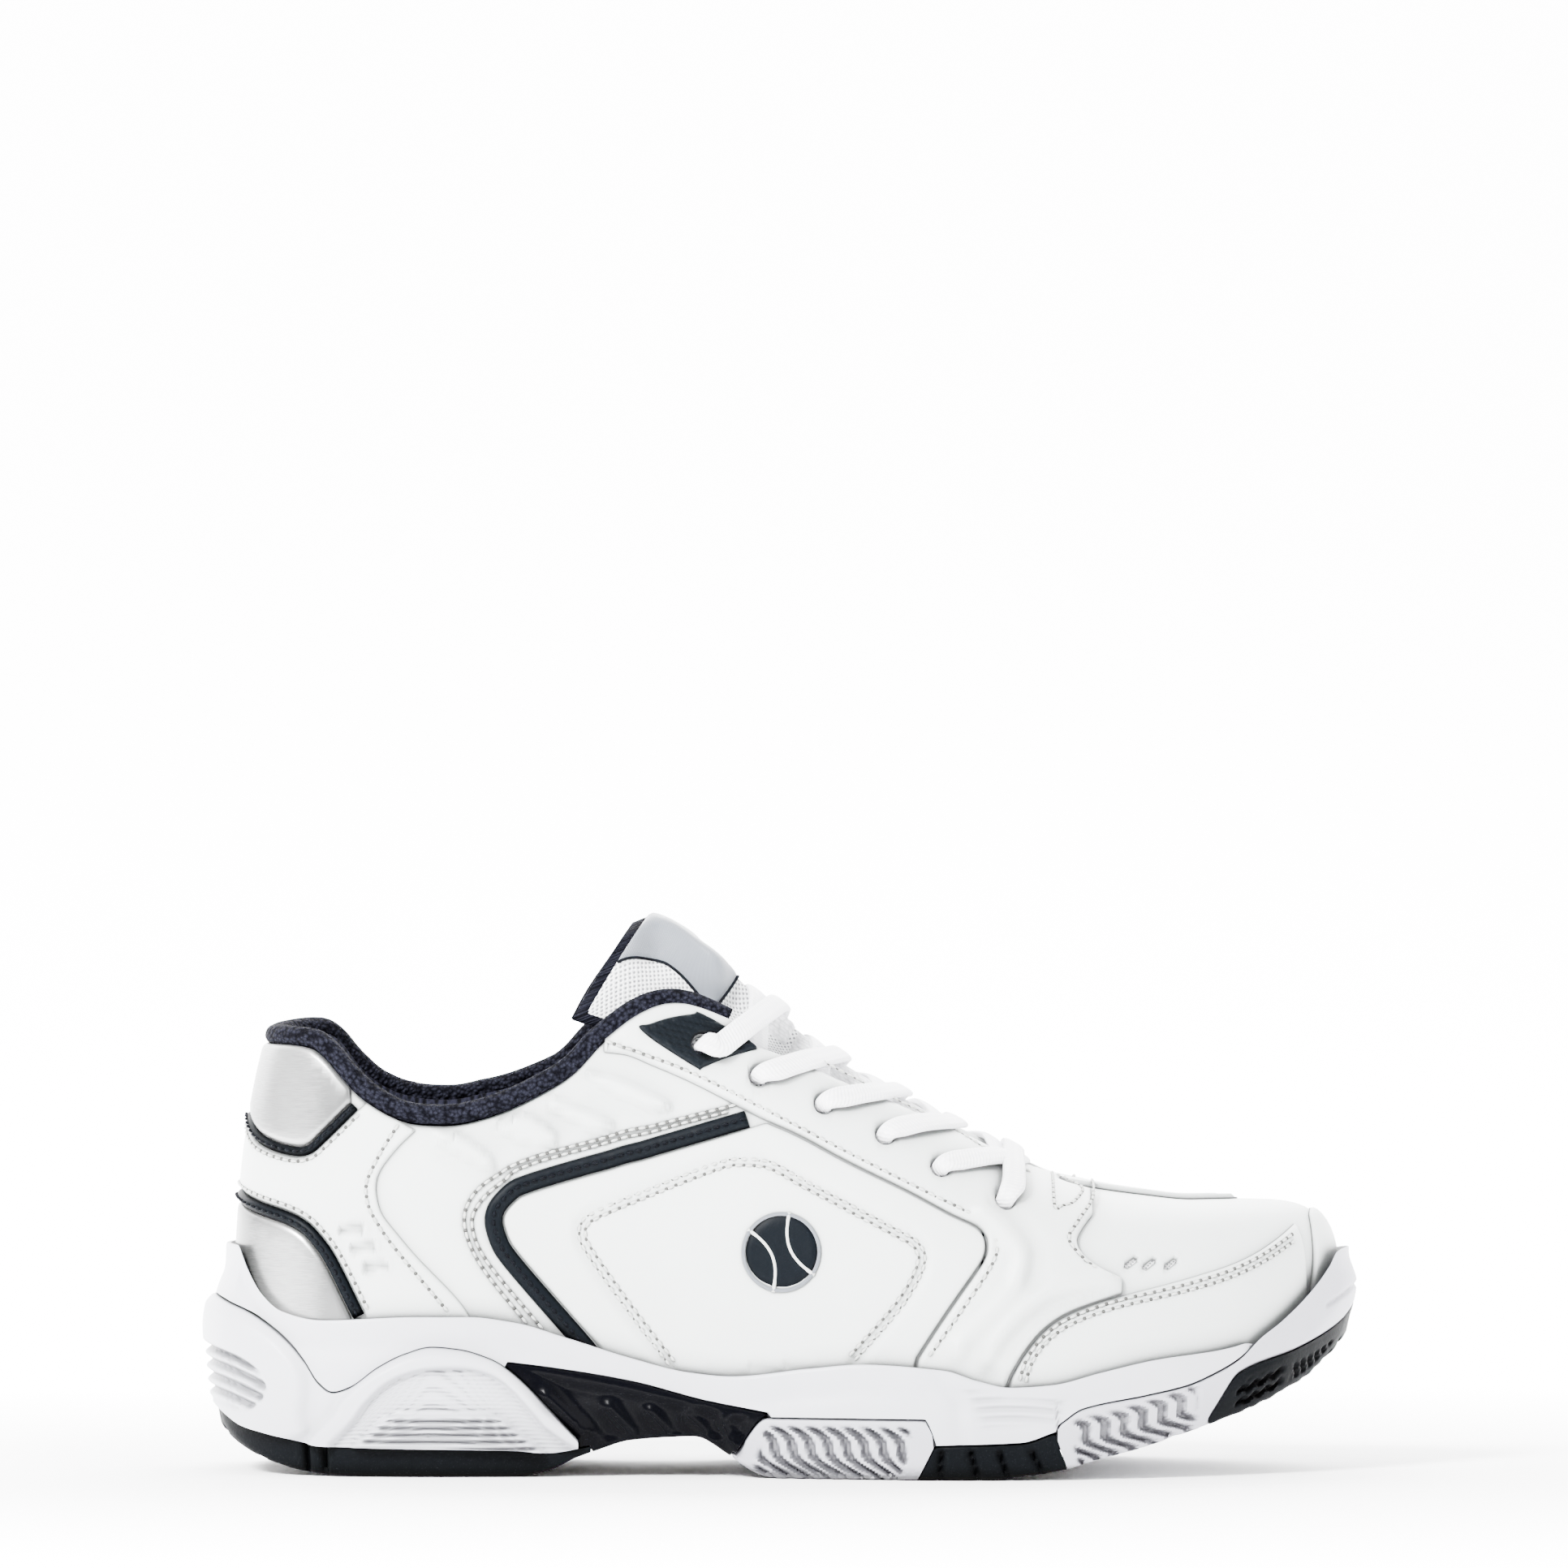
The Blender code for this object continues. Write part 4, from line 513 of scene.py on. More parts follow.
def make(name, verts, faces, look, moves, stands=(), uv=None):
    v = np.asarray(verts, float)
    rise = np.interp(v[:, 0], *zip(*COLLAR_RISE))
    rise = rise * smooth(70, 94, v[:, 2]) * smooth(2, 14, v[:, 1])
    v = v + np.stack([0 * rise, 0 * rise, rise], -1)
    v = (v + SHIFT) * MM
    volume = 0.0
    for k in (3, 4):
        f = np.array([x for x in faces if len(x) == k])
        for i in range(1, k - 1):
            if len(f):
                volume += (v[f[:, 0]] * np.cross(v[f[:, i]], v[f[:, i + 1]])).sum()
    if volume < 0:
        faces = [tuple(f)[::-1] for f in faces]
    me = bpy.data.meshes.new(name)
    me.from_pydata(v.tolist(), [], faces)
    me.polygons.foreach_set("use_smooth", [True] * len(me.polygons))
    if uv is not None:
        index = np.zeros(len(me.loops), int)
        me.loops.foreach_get("vertex_index", index)
        me.uv_layers.new(name="UVMap").data.foreach_set(
            "uv", (np.asarray(uv, float) * MM)[index].ravel())
    me.materials.append(look)
    me.update()
    ob = bpy.data.objects.new(name, me)
    bpy.context.scene.collection.objects.link(ob)
    if moves == "flex":
        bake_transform(ob)
    elif moves == "tilt":
        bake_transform(ob)
    else:
        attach(ob, moves)
    if stands:
        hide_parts(*stands)
    return ob


def no_relief(p):
    return np.zeros(len(p))


def panel(name, outline, low, top, look, moves, stands=(), step=1.7, holes=(),
          relief=no_relief, wall=True, edge=1.0, rings=(0.35, 0.9)):
    """Thin closed sheet on the upper with rounded edges; outline and holes in (t, v)."""
    to, back = (unroll, reroll) if wall else (to_chart, unchart)
    loops = [even(to(outline), 0.8 * step)] + [even(to(h), 0.7) for h in holes]
    q, tri = mesh_loops(loops, step, rings)
    s = np.min([edge_distance(q, loop) for loop in loops], axis=0)
    tv = back(q)
    p, n = on(tv), normal_on(tv)
    f = np.clip(s / edge, 0, 1)
    curve = 0.25 + 0.75 * np.sqrt(1 - (1 - f) ** 2)
    d = low + (top - low) * curve + relief(p) * smooth(0, 1.4, s)
    v, faces = closed_pair(p + n * low, p + n * d[:, None], tri)
    return make(name, v, faces, look, moves, stands, np.vstack([unroll(tv)] * 2))


def tube(path, up, half_w, half_t, sides, power=2.0):
    """Vertices, faces and UV of a strap of rounded section along a path."""
    tan = np.gradient(path, axis=0)
    tan = unit(tan)
    b = np.cross(tan, up)
    b = unit(b)
    n = np.cross(b, tan)
    ang = np.arange(sides) * 2 * math.pi / sides
    c, s = np.cos(ang), np.sin(ang)
    c = np.sign(c) * np.abs(c) ** (2 / power)
    s = np.sign(s) * np.abs(s) ** (2 / power)
    half_w = np.broadcast_to(half_w, len(path))
    half_t = np.broadcast_to(half_t, len(path))
    v = (path[:, None] + b[:, None] * (c[None] * half_w[:, None])[..., None]
         + n[:, None] * (s[None] * half_t[:, None])[..., None]).reshape(-1, 3)
    i = np.arange(len(path) - 1)[:, None] * sides
    k = np.arange(sides)[None]
    m = (k + 1) % sides
    faces = np.stack([i + k, i + m, i + sides + m, i + sides + k], -1).reshape(-1, 4).tolist()
    faces.append(list(range(sides))[::-1])
    faces.append([(len(path) - 1) * sides + j for j in range(sides)])
    along = length_along(path)
    uv = np.stack([np.repeat(along, sides), np.tile(ang / math.pi - 1, len(path)) * 4], -1)
    return v, faces, uv


# ---- materials ----
def look(name, color, rough, metal=0.0, sheen=0.0, coat=0.0, shine=0.4):
    m = bpy.data.materials.new(name)
    m.use_nodes = True
    b = m.node_tree.nodes["Principled BSDF"]
    b.inputs["Base Color"].default_value = (*color, 1.0)
    b.inputs["Roughness"].default_value = rough
    b.inputs["Metallic"].default_value = metal
    b.inputs["Sheen Weight"].default_value = sheen
    b.inputs["Specular IOR Level"].default_value = shine
    b.inputs["Coat Weight"].default_value = coat
    b.inputs["Coat Roughness"].default_value = 0.12
    return m


class Nodes:
    """Short calls for one material's node tree."""

    def __init__(self, m):
        self.t = m.node_tree
        self.b = self.t.nodes["Principled BSDF"]
        self.where = self.t.nodes.new("ShaderNodeTexCoord")

    def new(self, kind, **sets):
        n = self.t.nodes.new(kind)
        for k, v in sets.items():
            setattr(n, k, v)
        return n

    def link(self, a, b):
        self.t.links.new(a, b)

    def space(self, scale, uv=False, turn=0.0):
        m = self.new("ShaderNodeMapping")
        m.inputs["Scale"].default_value = scale
        m.inputs["Rotation"].default_value = (0, 0, turn)
        self.link(self.where.outputs["UV" if uv else "Object"], m.inputs["Vector"])
        return m.outputs["Vector"]

    def noise(self, vec, scale, detail=3.0, rough=0.5):
        n = self.new("ShaderNodeTexNoise")
        n.inputs["Scale"].default_value = scale
        n.inputs["Detail"].default_value = detail
        n.inputs["Roughness"].default_value = rough
        self.link(vec, n.inputs["Vector"])
        return n.outputs["Fac"]

    def cells(self, vec, scale, feature="F1", random=1.0):
        n = self.new("ShaderNodeTexVoronoi", feature=feature)
        n.inputs["Scale"].default_value = scale
        n.inputs["Randomness"].default_value = random
        self.link(vec, n.inputs["Vector"])
        return n.outputs["Distance"]

    def waves(self, vec, scale):
        n = self.new("ShaderNodeTexWave")
        n.inputs["Scale"].default_value = scale
        n.inputs["Distortion"].default_value = 0.0
        n.inputs["Detail Scale"].default_value = 2.0
        self.link(vec, n.inputs["Vector"])
        return n.outputs["Fac"]

    def math(self, op, a, b=None):
        n = self.new("ShaderNodeMath", operation=op)
        for k, v in enumerate((a, b)):
            if v is None:
                continue
            if isinstance(v, (int, float)):
                n.inputs[k].default_value = v
            else:
                self.link(v, n.inputs[k])
        return n.outputs[0]

    def ramp(self, fac, stops):
        n = self.new("ShaderNodeValToRGB")
        n.color_ramp.elements[0].position = stops[0][0]
        n.color_ramp.elements[0].color = (*stops[0][1], 1)
        n.color_ramp.elements[1].position = stops[1][0]
        n.color_ramp.elements[1].color = (*stops[1][1], 1)
        self.link(fac, n.inputs["Fac"])
        return n.outputs["Color"]

    def color(self, fac, stops):
        self.link(self.ramp(fac, stops), self.b.inputs["Base Color"])

    def rough(self, fac, low, high):
        n = self.new("ShaderNodeMapRange")
        n.inputs["To Min"].default_value = low
        n.inputs["To Max"].default_value = high
        self.link(fac, n.inputs["Value"])
        self.link(n.outputs["Result"], self.b.inputs["Roughness"])

    def bump(self, *heights):
        """Each height is (socket, distance in mm, strength)."""
        last = None
        for h, dist, strength in heights:
            n = self.new("ShaderNodeBump")
            n.inputs["Distance"].default_value = dist * MM
            n.inputs["Strength"].default_value = strength
            self.link(h, n.inputs["Height"])
            if last is not None:
                self.link(last, n.inputs["Normal"])
            last = n.outputs["Normal"]
        self.link(last, self.b.inputs["Normal"])


def painted_crevice_shade(n, reach, dark):
    """Painted shade: darken the base colour where ambient occlusion finds the surface folded in on
    itself, standing in for the shade that falls in creases and grooves.
    """
    ao = n.new("ShaderNodeAmbientOcclusion", samples=8)
    ao.inputs["Distance"].default_value = reach * MM
    fade = n.new("ShaderNodeMapRange")
    fade.inputs["From Min"].default_value = 0.58
    fade.inputs["From Max"].default_value = 0.96
    n.link(n.b.inputs["Normal"].links[0].from_socket, ao.inputs["Normal"])
    fade.inputs["To Min"].default_value = dark
    n.link(ao.outputs["AO"], fade.inputs["Value"])
    base = n.b.inputs["Base Color"]
    source = base.links[0].from_socket
    dim = n.new("ShaderNodeVectorMath", operation="SCALE")
    n.link(source, dim.inputs[0])
    n.link(fade.outputs["Result"], dim.inputs["Scale"])
    n.link(dim.outputs["Vector"], base)


def leather(name, color, rough=0.42, grain=1.0, shine=0.4):
    m = look(name, color, rough, shine=shine)
    n = Nodes(m)
    p = n.space((1, 1, 1))
    blotch = n.noise(p, 55.0, 4.0)
    n.color(blotch, [(0.25, [c * 0.965 for c in color]), (0.8, [min(1, c * 1.02) for c in color])])
    n.rough(n.noise(p, 420.0, 2.0), rough - 0.07, rough + 0.09)
    pores = n.cells(p, 1500.0, "DISTANCE_TO_EDGE")
    crease = n.noise(p, 700.0, 4.0, 0.6)
    n.bump((pores, 0.07, 0.40 * grain), (crease, 0.14, 0.35 * grain),
           (n.noise(p, 90.0), 0.5, 0.10))
    # painted shade: the leather's colour darkens in creases and at the feet of raised parts
    painted_crevice_shade(n, 6.0, 0.16)
    return m


WHITE = leather("leather_white", (0.600, 0.628, 0.620))
VAMP = leather("vamp_leather", (0.602, 0.632, 0.626), 0.40, 0.8)
PIPING = leather("dark_piping", (0.0018, 0.0027, 0.0040), 0.45, 0.7, 0.035)

SILVER = look("silver_film", (0.60, 0.61, 0.61), 0.34, 0.82)
n = Nodes(SILVER)
brushing_and_highlight = n.noise(n.space((260, 260, 9000)), 1.0, 3.0, 0.65)
across_x = n.new("ShaderNodeSeparateXYZ")
n.link(n.where.outputs["Object"], across_x.inputs[0])
# painted highlight: a sine of the object's x lays broad lighter and darker bands into the film's
# colour, standing in for the reflection on the brushed metal; the stretched noise is the brushing
# itself, and the mix also sets roughness and bump
painted_highlight_x = n.math("SINE", n.math("MULTIPLY", n.math("ADD", across_x.outputs[0], 0.1385), 145.0))
brushing_and_highlight = n.math("ADD", n.math("MULTIPLY", brushing_and_highlight, 0.55), n.math("MULTIPLY", painted_highlight_x, 0.30))
n.color(brushing_and_highlight, [(0.3, (0.15, 0.153, 0.153)), (0.75, (0.50, 0.505, 0.505))])
n.rough(brushing_and_highlight, 0.30, 0.42)
n.bump((brushing_and_highlight, 0.06, 0.35), (n.noise(n.space((1, 1, 1)), 160.0), 0.4, 0.15))

KNIT = look("collar_knit", (0.006, 0.006, 0.010), 0.88, shine=0.03)
n = Nodes(KNIT)
yarn = n.cells(n.space((900, 2200, 1), uv=True, turn=0.6), 1.0)
fuzz = n.noise(n.space((1, 1, 1)), 1800.0, 3.0, 0.7)
# partly painted highlight and shade: the colour is lighter at the middle of each yarn loop and
# darker between loops, standing in for how light falls on the knit; the fuzz noise adds random
# tone
n.color(n.math("ADD", n.math("MULTIPLY", yarn, 0.6), n.math("MULTIPLY", fuzz, 0.5)),
        [(0.25, (0.0125, 0.013, 0.020)), (0.7, (0.0010, 0.0010, 0.002))])
n.bump((n.math("SUBTRACT", 1.0, yarn), 0.9, 1.0), (fuzz, 0.25, 0.6))

LINING = look("lining_mesh", (0.004, 0.004, 0.007), 0.95, shine=0.06)
n = Nodes(LINING)
pores = n.cells(n.space((520, 520, 1), uv=True, turn=0.6), 1.0, "F1", 0.25)
n.color(pores, [(0.22, (0.0008, 0.0008, 0.0016)), (0.52, (0.009, 0.0092, 0.0155))])
n.bump((pores, 0.7, 0.9), (n.noise(n.space((1, 1, 1)), 1600.0), 0.2, 0.4))

MESH = look("tongue_mesh", (0.82, 0.83, 0.84), 0.72, sheen=0.2)
n = Nodes(MESH)
pores = n.cells(n.space((900, 900, 1), uv=True, turn=0.75), 1.0, "F1", 0.1)
n.color(pores, [(0.20, (0.16, 0.165, 0.175)), (0.42, (0.86, 0.87, 0.88))])
n.bump((pores, 0.6, 0.9), (n.noise(n.space((1, 1, 1)), 2200.0), 0.15, 0.3))

PAD_KNIT = look("tongue_knit", (0.85, 0.86, 0.88), 0.8, sheen=0.2)
n = Nodes(PAD_KNIT)
yarn = n.cells(n.space((650, 1300, 1), uv=True, turn=0.2), 1.0, "F1", 0.6)
n.color(yarn, [(0.2, (0.88, 0.88, 0.90)), (0.9, (0.45, 0.455, 0.47))])
n.bump((n.math("SUBTRACT", 1.0, yarn), 0.5, 0.8))

LABEL = look("label_grey", (0.60, 0.64, 0.70), 0.42, sheen=0.25)
n = Nodes(LABEL)
twill = n.waves(n.space((1, 1, 1), uv=True, turn=0.78), 1100.0)
n.color(twill, [(0.0, (0.088, 0.100, 0.120)), (1.0, (0.142, 0.156, 0.180))])
n.bump((twill, 0.12, 0.5), (n.noise(n.space((1, 1, 1)), 220.0), 0.3, 0.15))

LACE = look("lace_white", (0.88, 0.88, 0.90), 0.8, sheen=0.3)
n = Nodes(LACE)
uvs = n.new("ShaderNodeSeparateXYZ")
n.link(n.where.outputs["UV"], uvs.inputs[0])
chevron = n.math("SINE", n.math("MULTIPLY", n.math("ADD", uvs.outputs[0], n.math(
    "MULTIPLY", n.math("ABSOLUTE", uvs.outputs[1]), 0.9)), 6300.0))
rib = n.math("SINE", n.math("MULTIPLY", uvs.outputs[1], 7500.0))
weave = n.math("ADD", n.math("MULTIPLY", chevron, 0.5), n.math("MULTIPLY", rib, 0.35))
n.color(weave, [(0.0, (0.80, 0.80, 0.83)), (0.5, (0.91, 0.91, 0.93))])
n.bump((weave, 0.16, 0.7), (n.noise(n.space((1, 1, 1)), 2600.0), 0.1, 0.35))


def rubber(name, color, rough, pebble, size=1100.0, spread=0.03, coat=0.0, shine=0.4):
    m = look(name, color, rough, coat=coat, shine=shine)
    n = Nodes(m)
    p = n.space((1, 1, 1))
    n.color(n.noise(p, 70.0, 4.0), [(0.3, [c * (1 - spread) for c in color]),
                                    (0.8, [min(1, c * (1 + spread)) for c in color])])
    n.rough(n.noise(p, 500.0, 2.0), rough - 0.06, rough + 0.08)
    n.bump((n.cells(p, size), 0.12, pebble), (n.noise(p, 900.0, 3.0), 0.08, 0.25))
    # painted shade: the colour darkens in the grooves and hollows of the moulding
    painted_crevice_shade(n, 4.5, 0.18)
    return m


EVA = rubber("midsole_eva", (0.50, 0.506, 0.545), 0.42, 0.22, 900.0)
RUBBER_W = rubber("rubber_white", (0.40, 0.40, 0.445), 0.46, 0.5, 1000.0)
RUBBER_D = rubber("rubber_dark", (0.0016, 0.0021, 0.0028), 0.5, 0.25, 1400.0, 0.15, shine=0.03)
SHANK = rubber("shank_plastic", (0.0008, 0.0009, 0.0016), 0.22, 0.02, 600.0, 0.1, 0.0, shine=0.035)
PATCH = rubber("eyelet_patch", (0.0026, 0.0038, 0.0052), 0.38, 0.1, 1500.0, 0.1, shine=0.05)
BOARD = rubber("board_fibre", (0.55, 0.50, 0.38), 0.9, 0.6, 1600.0, 0.2)
STIFF = rubber("stiffener", (0.45, 0.41, 0.32), 0.8, 0.3, 1200.0, 0.1)
SOCK = look("sock_fabric", (0.006, 0.006, 0.010), 0.92, shine=0.06)
n = Nodes(SOCK)
yarn = n.cells(n.space((900, 1500, 1), uv=True), 1.0, "F1", 0.5)
n.color(yarn, [(0.1, (0.014, 0.0145, 0.021)), (0.8, (0.003, 0.003, 0.005))])
n.bump((yarn, 0.4, 0.6))


def mottled(m, scale, dark, light, twist=False):
    """Small spots of two colours, with the twist of a thread if wanted."""
    n = Nodes(m)
    if twist:
        n.bump((n.waves(n.space((1, 1, 1)), 2500.0), 0.05, 0.5))
    n.color(n.noise(n.space((1, 1, 1)), scale), [(0.3, dark), (0.8, light)])
    return m


# white thread given a grey tone: partly painted shade, standing in for the shadow along the sunk
# stitches; the mottling is random tone and the twist is a bump
SHADED_THREAD = mottled(look("thread_white_shaded", (0.50, 0.51, 0.49), 0.7, sheen=0.1), 300.0,
                 (0.44, 0.45, 0.43), (0.58, 0.59, 0.57), True)
THREAD_D = mottled(look("thread_dark", (0.0012, 0.0018, 0.003), 0.6, shine=0.05), 300.0,
                   (0.0008, 0.001, 0.002), (0.003, 0.004, 0.006), True)
# painted shade: dark grey discs stand in for the shade inside the needle holes between stitches
HOLE_SHADE = mottled(look("needle_hole_shade", (0.07, 0.07, 0.065), 0.9, shine=0.1), 500.0,
               (0.05, 0.05, 0.047), (0.10, 0.10, 0.095))

# ---- feature lines of the upper, (x, z) seen from the lateral side ----
RIM = [(-124, 111.8), (-118, 109.5), (-111.5, 102.5), (-106, 97.5), (-98, 93.3), (-90, 92.2),
       (-81, 92.8), (-68.6, 96.9), (-56, 103.8), (-48.5, 111.5), (-40.2, 118.0), (-32, 121.6),
       (-24, 121.2), (-14, 117.0)]
SEAM = [(-94.2, 88), (-98.4, 84.0), (-102.8, 78.5), (-104.3, 74.8), (-104.1, 71), (-102.8, 66.6),
        (-99, 61.7), (-93.6, 55.4), (-82.8, 44.1), (-78, 36)]
STRIPE = [(-9.5, 90.8), (-33, 83.9), (-64.5, 74.8), (-71, 71.2), (-74.2, 66.5), (-73.4, 61.0),
          (-69.6, 54.5), (-52, 34.2), (-49, 30.5)]
FACING = [(-46.5, 107.5), (-25.3, 100.4), (-7, 91.1), (7.7, 84.2), (28, 73.9), (42.3, 66.4),
          (49.5, 62.8), (51.3, 58.2), (48.4, 52.1), (33.7, 30.5)]
PIPE_HIGH = [(-134.0, 85.0), (-127.2, 82.6), (-122.1, 82.6), (-117.9, 86.0), (-109.8, 94.0)]
PIPE_LOW = [(-132.2, 66.8), (-124, 63.8), (-119, 59.2), (-115, 53.1), (-108.7, 40.5)]
TOE_EDGE = [(57.5, 25.5), (61.0, 31.5), (66.5, 37.8), (73.5, 42.0), (86, 46.0), (105, 50.6),
            (119.2, 55.2), (127.0, 59.6), (131.6, 63.0)]
VAMP_EDGE = [(78.8, 66), (74.6, 60.3), (75.5, 57.0), (79.5, 53.6), (86, 50.5)]
WEDGES = [[(-92.1, 86.7), (-83.3, 87.8), (-72.8, 80), (-77.2, 77.7)],
          [(-75.7, 89.2), (-66, 92.8), (-56.4, 85.7), (-63.5, 82.7)],
          [(-63.5, 94.9), (-56, 95.8), (-42.1, 89.7), (-48.8, 87.1)],
          [(-52.4, 101.8), (-44.2, 102.9), (-27.4, 94.7), (-34.5, 92.2)]]
SLOTS = [(-110.4, 62.6), (-107.4, 58.0), (-104.3, 53.3)]
VENTS = [(88.5, 54.6), (93.3, 54.2), (98.8, 54.2)]
WAVES = [[(50.1, 66.8), (54.9, 62.8), (60, 56.1), (59.5, 51), (57.4, 46), (44.2, 32.8)],
         [(82, 50), (72, 48.5), (63.7, 44.9), (55.5, 36.8), (52.4, 31.1)]]
SADDLE_LINE = [(-28.9, 27.7), (-40.6, 42.8), (-50.7, 57.1), (-52.4, 62.2), (-49.7, 66.4),
               (-35.6, 72.5), (-17.1, 79.6), (-10, 80.6), (-3, 79.6), (5.6, 75), (28, 63.2),
               (34.1, 59.6), (35.6, 54.2), (30.1, 43.9), (17.7, 29.6)]
FACING_LINE = [(-46, 110.5), (-25, 102.8), (-5.6, 93.2), (15.9, 82.0), (35.2, 72.3),
               (48.4, 65.6), (53.4, 60.3), (53, 54.5), (45.3, 42.8), (36.6, 30.7)]
THROAT_LINE = [(3.7, 107.1), (11.9, 102.5), (27.2, 94.5), (41.9, 87.1), (55.3, 78.8), (63, 75.2)]
OUTER_LINE = [(-12.1, 94.5), (-61, 82.0), (-74.2, 76.0), (-80.3, 70.3), (-81.6, 63.2),
              (-77.2, 53.1), (-65.6, 38.5)]
OUTER_LINE_2 = [(-14, 92.8), (-62.1, 80.2), (-72.1, 74.8), (-78.2, 69.0), (-79.7, 63.2),
                (-75.7, 54.2), (-61.5, 37.0)]
SEAM_LINE = [(-98.2, 89.7), (-101.7, 84.4), (-104.9, 78.5), (-106.6, 74.1), (-106.2, 69.3),
             (-104.3, 65.1), (-99, 57.5), (-85.6, 41.5)]
PATCH_OUTLINE = [(-36.8, 113.0), (-34.2, 114.7), (-24.0, 116.8), (-21.6, 116.9), (-8.4, 109.1),
                 (-9.6, 107.2), (-20.6, 103.6), (-23.0, 103.7)]
TOE_ROW = [(59.5, 24.5), (61.5, 30.5), (66.2, 36.5), (73.2, 40.9), (86, 45.0), (106, 49.4),
           (120.5, 54.6), (130, 60.0)]
TIP_ROW = [(79.1, 73.1), (78.9, 69.3), (74.9, 64), (72.3, 60.3), (73.6, 57.3), (78.5, 52.9),
           (84.6, 50.0)]
BAR_TACK = [(68.6, 74.8), (68.6, 68), (70.7, 67.4), (74.2, 68.5), (76.1, 71.4), (75.5, 74.1)]
BALL_X, BALL_Z, BALL_R = -0.5, 57.0, 9.5


def xz(p):
    return p[:, [0, 2]]


def raised(q, poly, soft, height):
    """Height of a soft-edged island over a polygon."""
    poly = np.asarray(poly, float)
    s = edge_distance(q, poly) * np.where(inside(q, poly), 1, -1)
    return height * smooth(-0.25 * soft, soft, s)


def groove(q, line, width, depth):
    return -depth * (1 - smooth(0, width, line_distance(q, line)))


def curve_xz(points):
    return rounded(points, closed=False, n=6)


def quarter_relief(p):
    q = xz(p)
    d = np.zeros(len(q))
    for w in WEDGES:
        w = np.array(w)
        d += raised(q, rounded(0.9 * w + 0.1 * w.mean(0), n=5), 1.4, 2.2)
    for line in (OUTER_LINE, OUTER_LINE_2):
        d += groove(q, curve_xz(line), 1.5, 0.28)
    return d


def saddle_relief(p):
    q = xz(p)
    inner = curve_xz(SADDLE_LINE)
    d = groove(q, inner, 2.6, 0.8)
    return d + 0.7 * smooth(0, 26, line_distance(q, inner)) * inside(q, inner)


def facing_relief(p):
    q = xz(p)
    d = groove(q, curve_xz(FACING_LINE), 1.4, 0.3)
    for k, w in enumerate(WAVES):
        c = curve_xz(w)
        near = line_distance(q, c)
        d += 1.7 * np.exp(-(near / 2.4) ** 2)
        off = c + np.array([3.6, 2.4]) if k == 0 else c + np.array([-0.4, -4.2])
        d -= 1.0 * np.exp(-(line_distance(q, off) / 2.4) ** 2)
    return d


def heel_relief(p):
    q = xz(p)
    d = np.zeros(len(q))
    for x, z in SLOTS:
        a = np.array([[x - 1.9, z - 0.27], [x + 1.9, z + 0.27]])
        s = line_distance(q, a)
        d += -1.15 * (1 - smooth(0.9, 1.5, s)) + 0.45 * np.exp(-((s - 2.0) / 0.6) ** 2)
    return d


def patch_ribs(p):
    """Fine ribs that slope down along the eyelet patch."""
    return 0.34 * np.cos((xz(p) @ np.array([0.26, 0.965])) * 2 * math.pi / 1.5)


def vamp_relief(p):
    q = xz(p)
    d = np.zeros(len(q))
    for x, z in VENTS:
        a = np.array([[x - 1.5, z - 1.0], [x + 1.5, z + 1.0]])
        s = line_distance(q, a)
        d += -1.1 * (1 - smooth(0.35, 1.0, s)) + 0.3 * np.exp(-((s - 1.3) / 0.5) ** 2)
    return d


rim_lat = side(RIM)
heel_v = solve(np.array([[-133.5, 112.0]]), lambda t, v: last_point(0 * t, v)[..., [0, 2]]
               + np.stack([t, 0 * t], -1), np.array([[0.0, 0.6]]))[0, 1]
rim_lat = surface_path(np.vstack([[0.0, heel_v], rim_lat]), 3.0)
rim_med = mirror(rim_lat)
rim_all = np.vstack([(rim_med[::-1] - [1, 0])[:-1], rim_lat])
TUCK = 0.016
throat_x = np.array([-9.0, -1.0, 8, 20, 32, 44, 54, 61])
throat_lat = plan([(x, hermite(RIDGE_Y, x) - hermite(THROAT_HW, x)) for x in throat_x])
throat_med = plan([(x, hermite(RIDGE_Y, x) + half_throat(x, 1)) for x in throat_x])
throat_end = plan([(65.6, -5.5), (THROAT_END, 0.0), (65.6, 4.5)])
eyelets = side(LACE_EYELETS)
eyelet_xy = on(eyelets)[:, :2]
eyelet_mid = hermite(RIDGE_Y, eyelet_xy[:, 0])
eyelets_med = plan(np.stack([eyelet_xy[:, 0],
                             eyelet_mid + 0.92 * (eyelet_mid - eyelet_xy[:, 1])], -1))
holes_lat = [disc(e, EYELET_R) for e in eyelets]
holes_med = [disc(e, EYELET_R) for e in eyelets_med]

# ---- base layer of the upper ----
SIDES = (("lateral", lambda tv: tv), ("medial", mirror))
SPLIT = 47.0
BASE_LOW, BASE_TOP = -1.3, 0.0
quick_step = 1.0
seam_l = surface_path(side([(46.9, 22), (48.3, 34), (49.5, 45), (50.5, 60), (51.0, 70)]))
throat_q = surface_path(throat_lat[:6])
corner_l = plan([(51.3, hermite(RIDGE_Y, 51.3) - hermite(THROAT_HW, 51.3) - 0.6)])
quarter = np.vstack([base_arc(0.0, t_of(SPLIT - 0.2), 60), seam_l[1:], corner_l, throat_q[::-1],
                     lower_rim(rim_lat[:0:-1], TUCK), [[0.0, heel_v - TUCK]]])
for (tag, turn), holes in zip(SIDES, (holes_lat, holes_med)):
    panel("quarter_" + tag, turn(quarter), BASE_LOW, BASE_TOP, WHITE, "flex",
          ["quarter_" + tag], 1.0 * quick_step, holes[:5], quarter_relief)
vamp_l = surface_path(side([(47.4, 22), (48.8, 34), (49.9, 45), (50.9, 60), (51.4, 70)]))
vamp_start = plan([(51.9, hermite(RIDGE_Y, 51.9) - hermite(THROAT_HW, 51.9) - 0.6)])
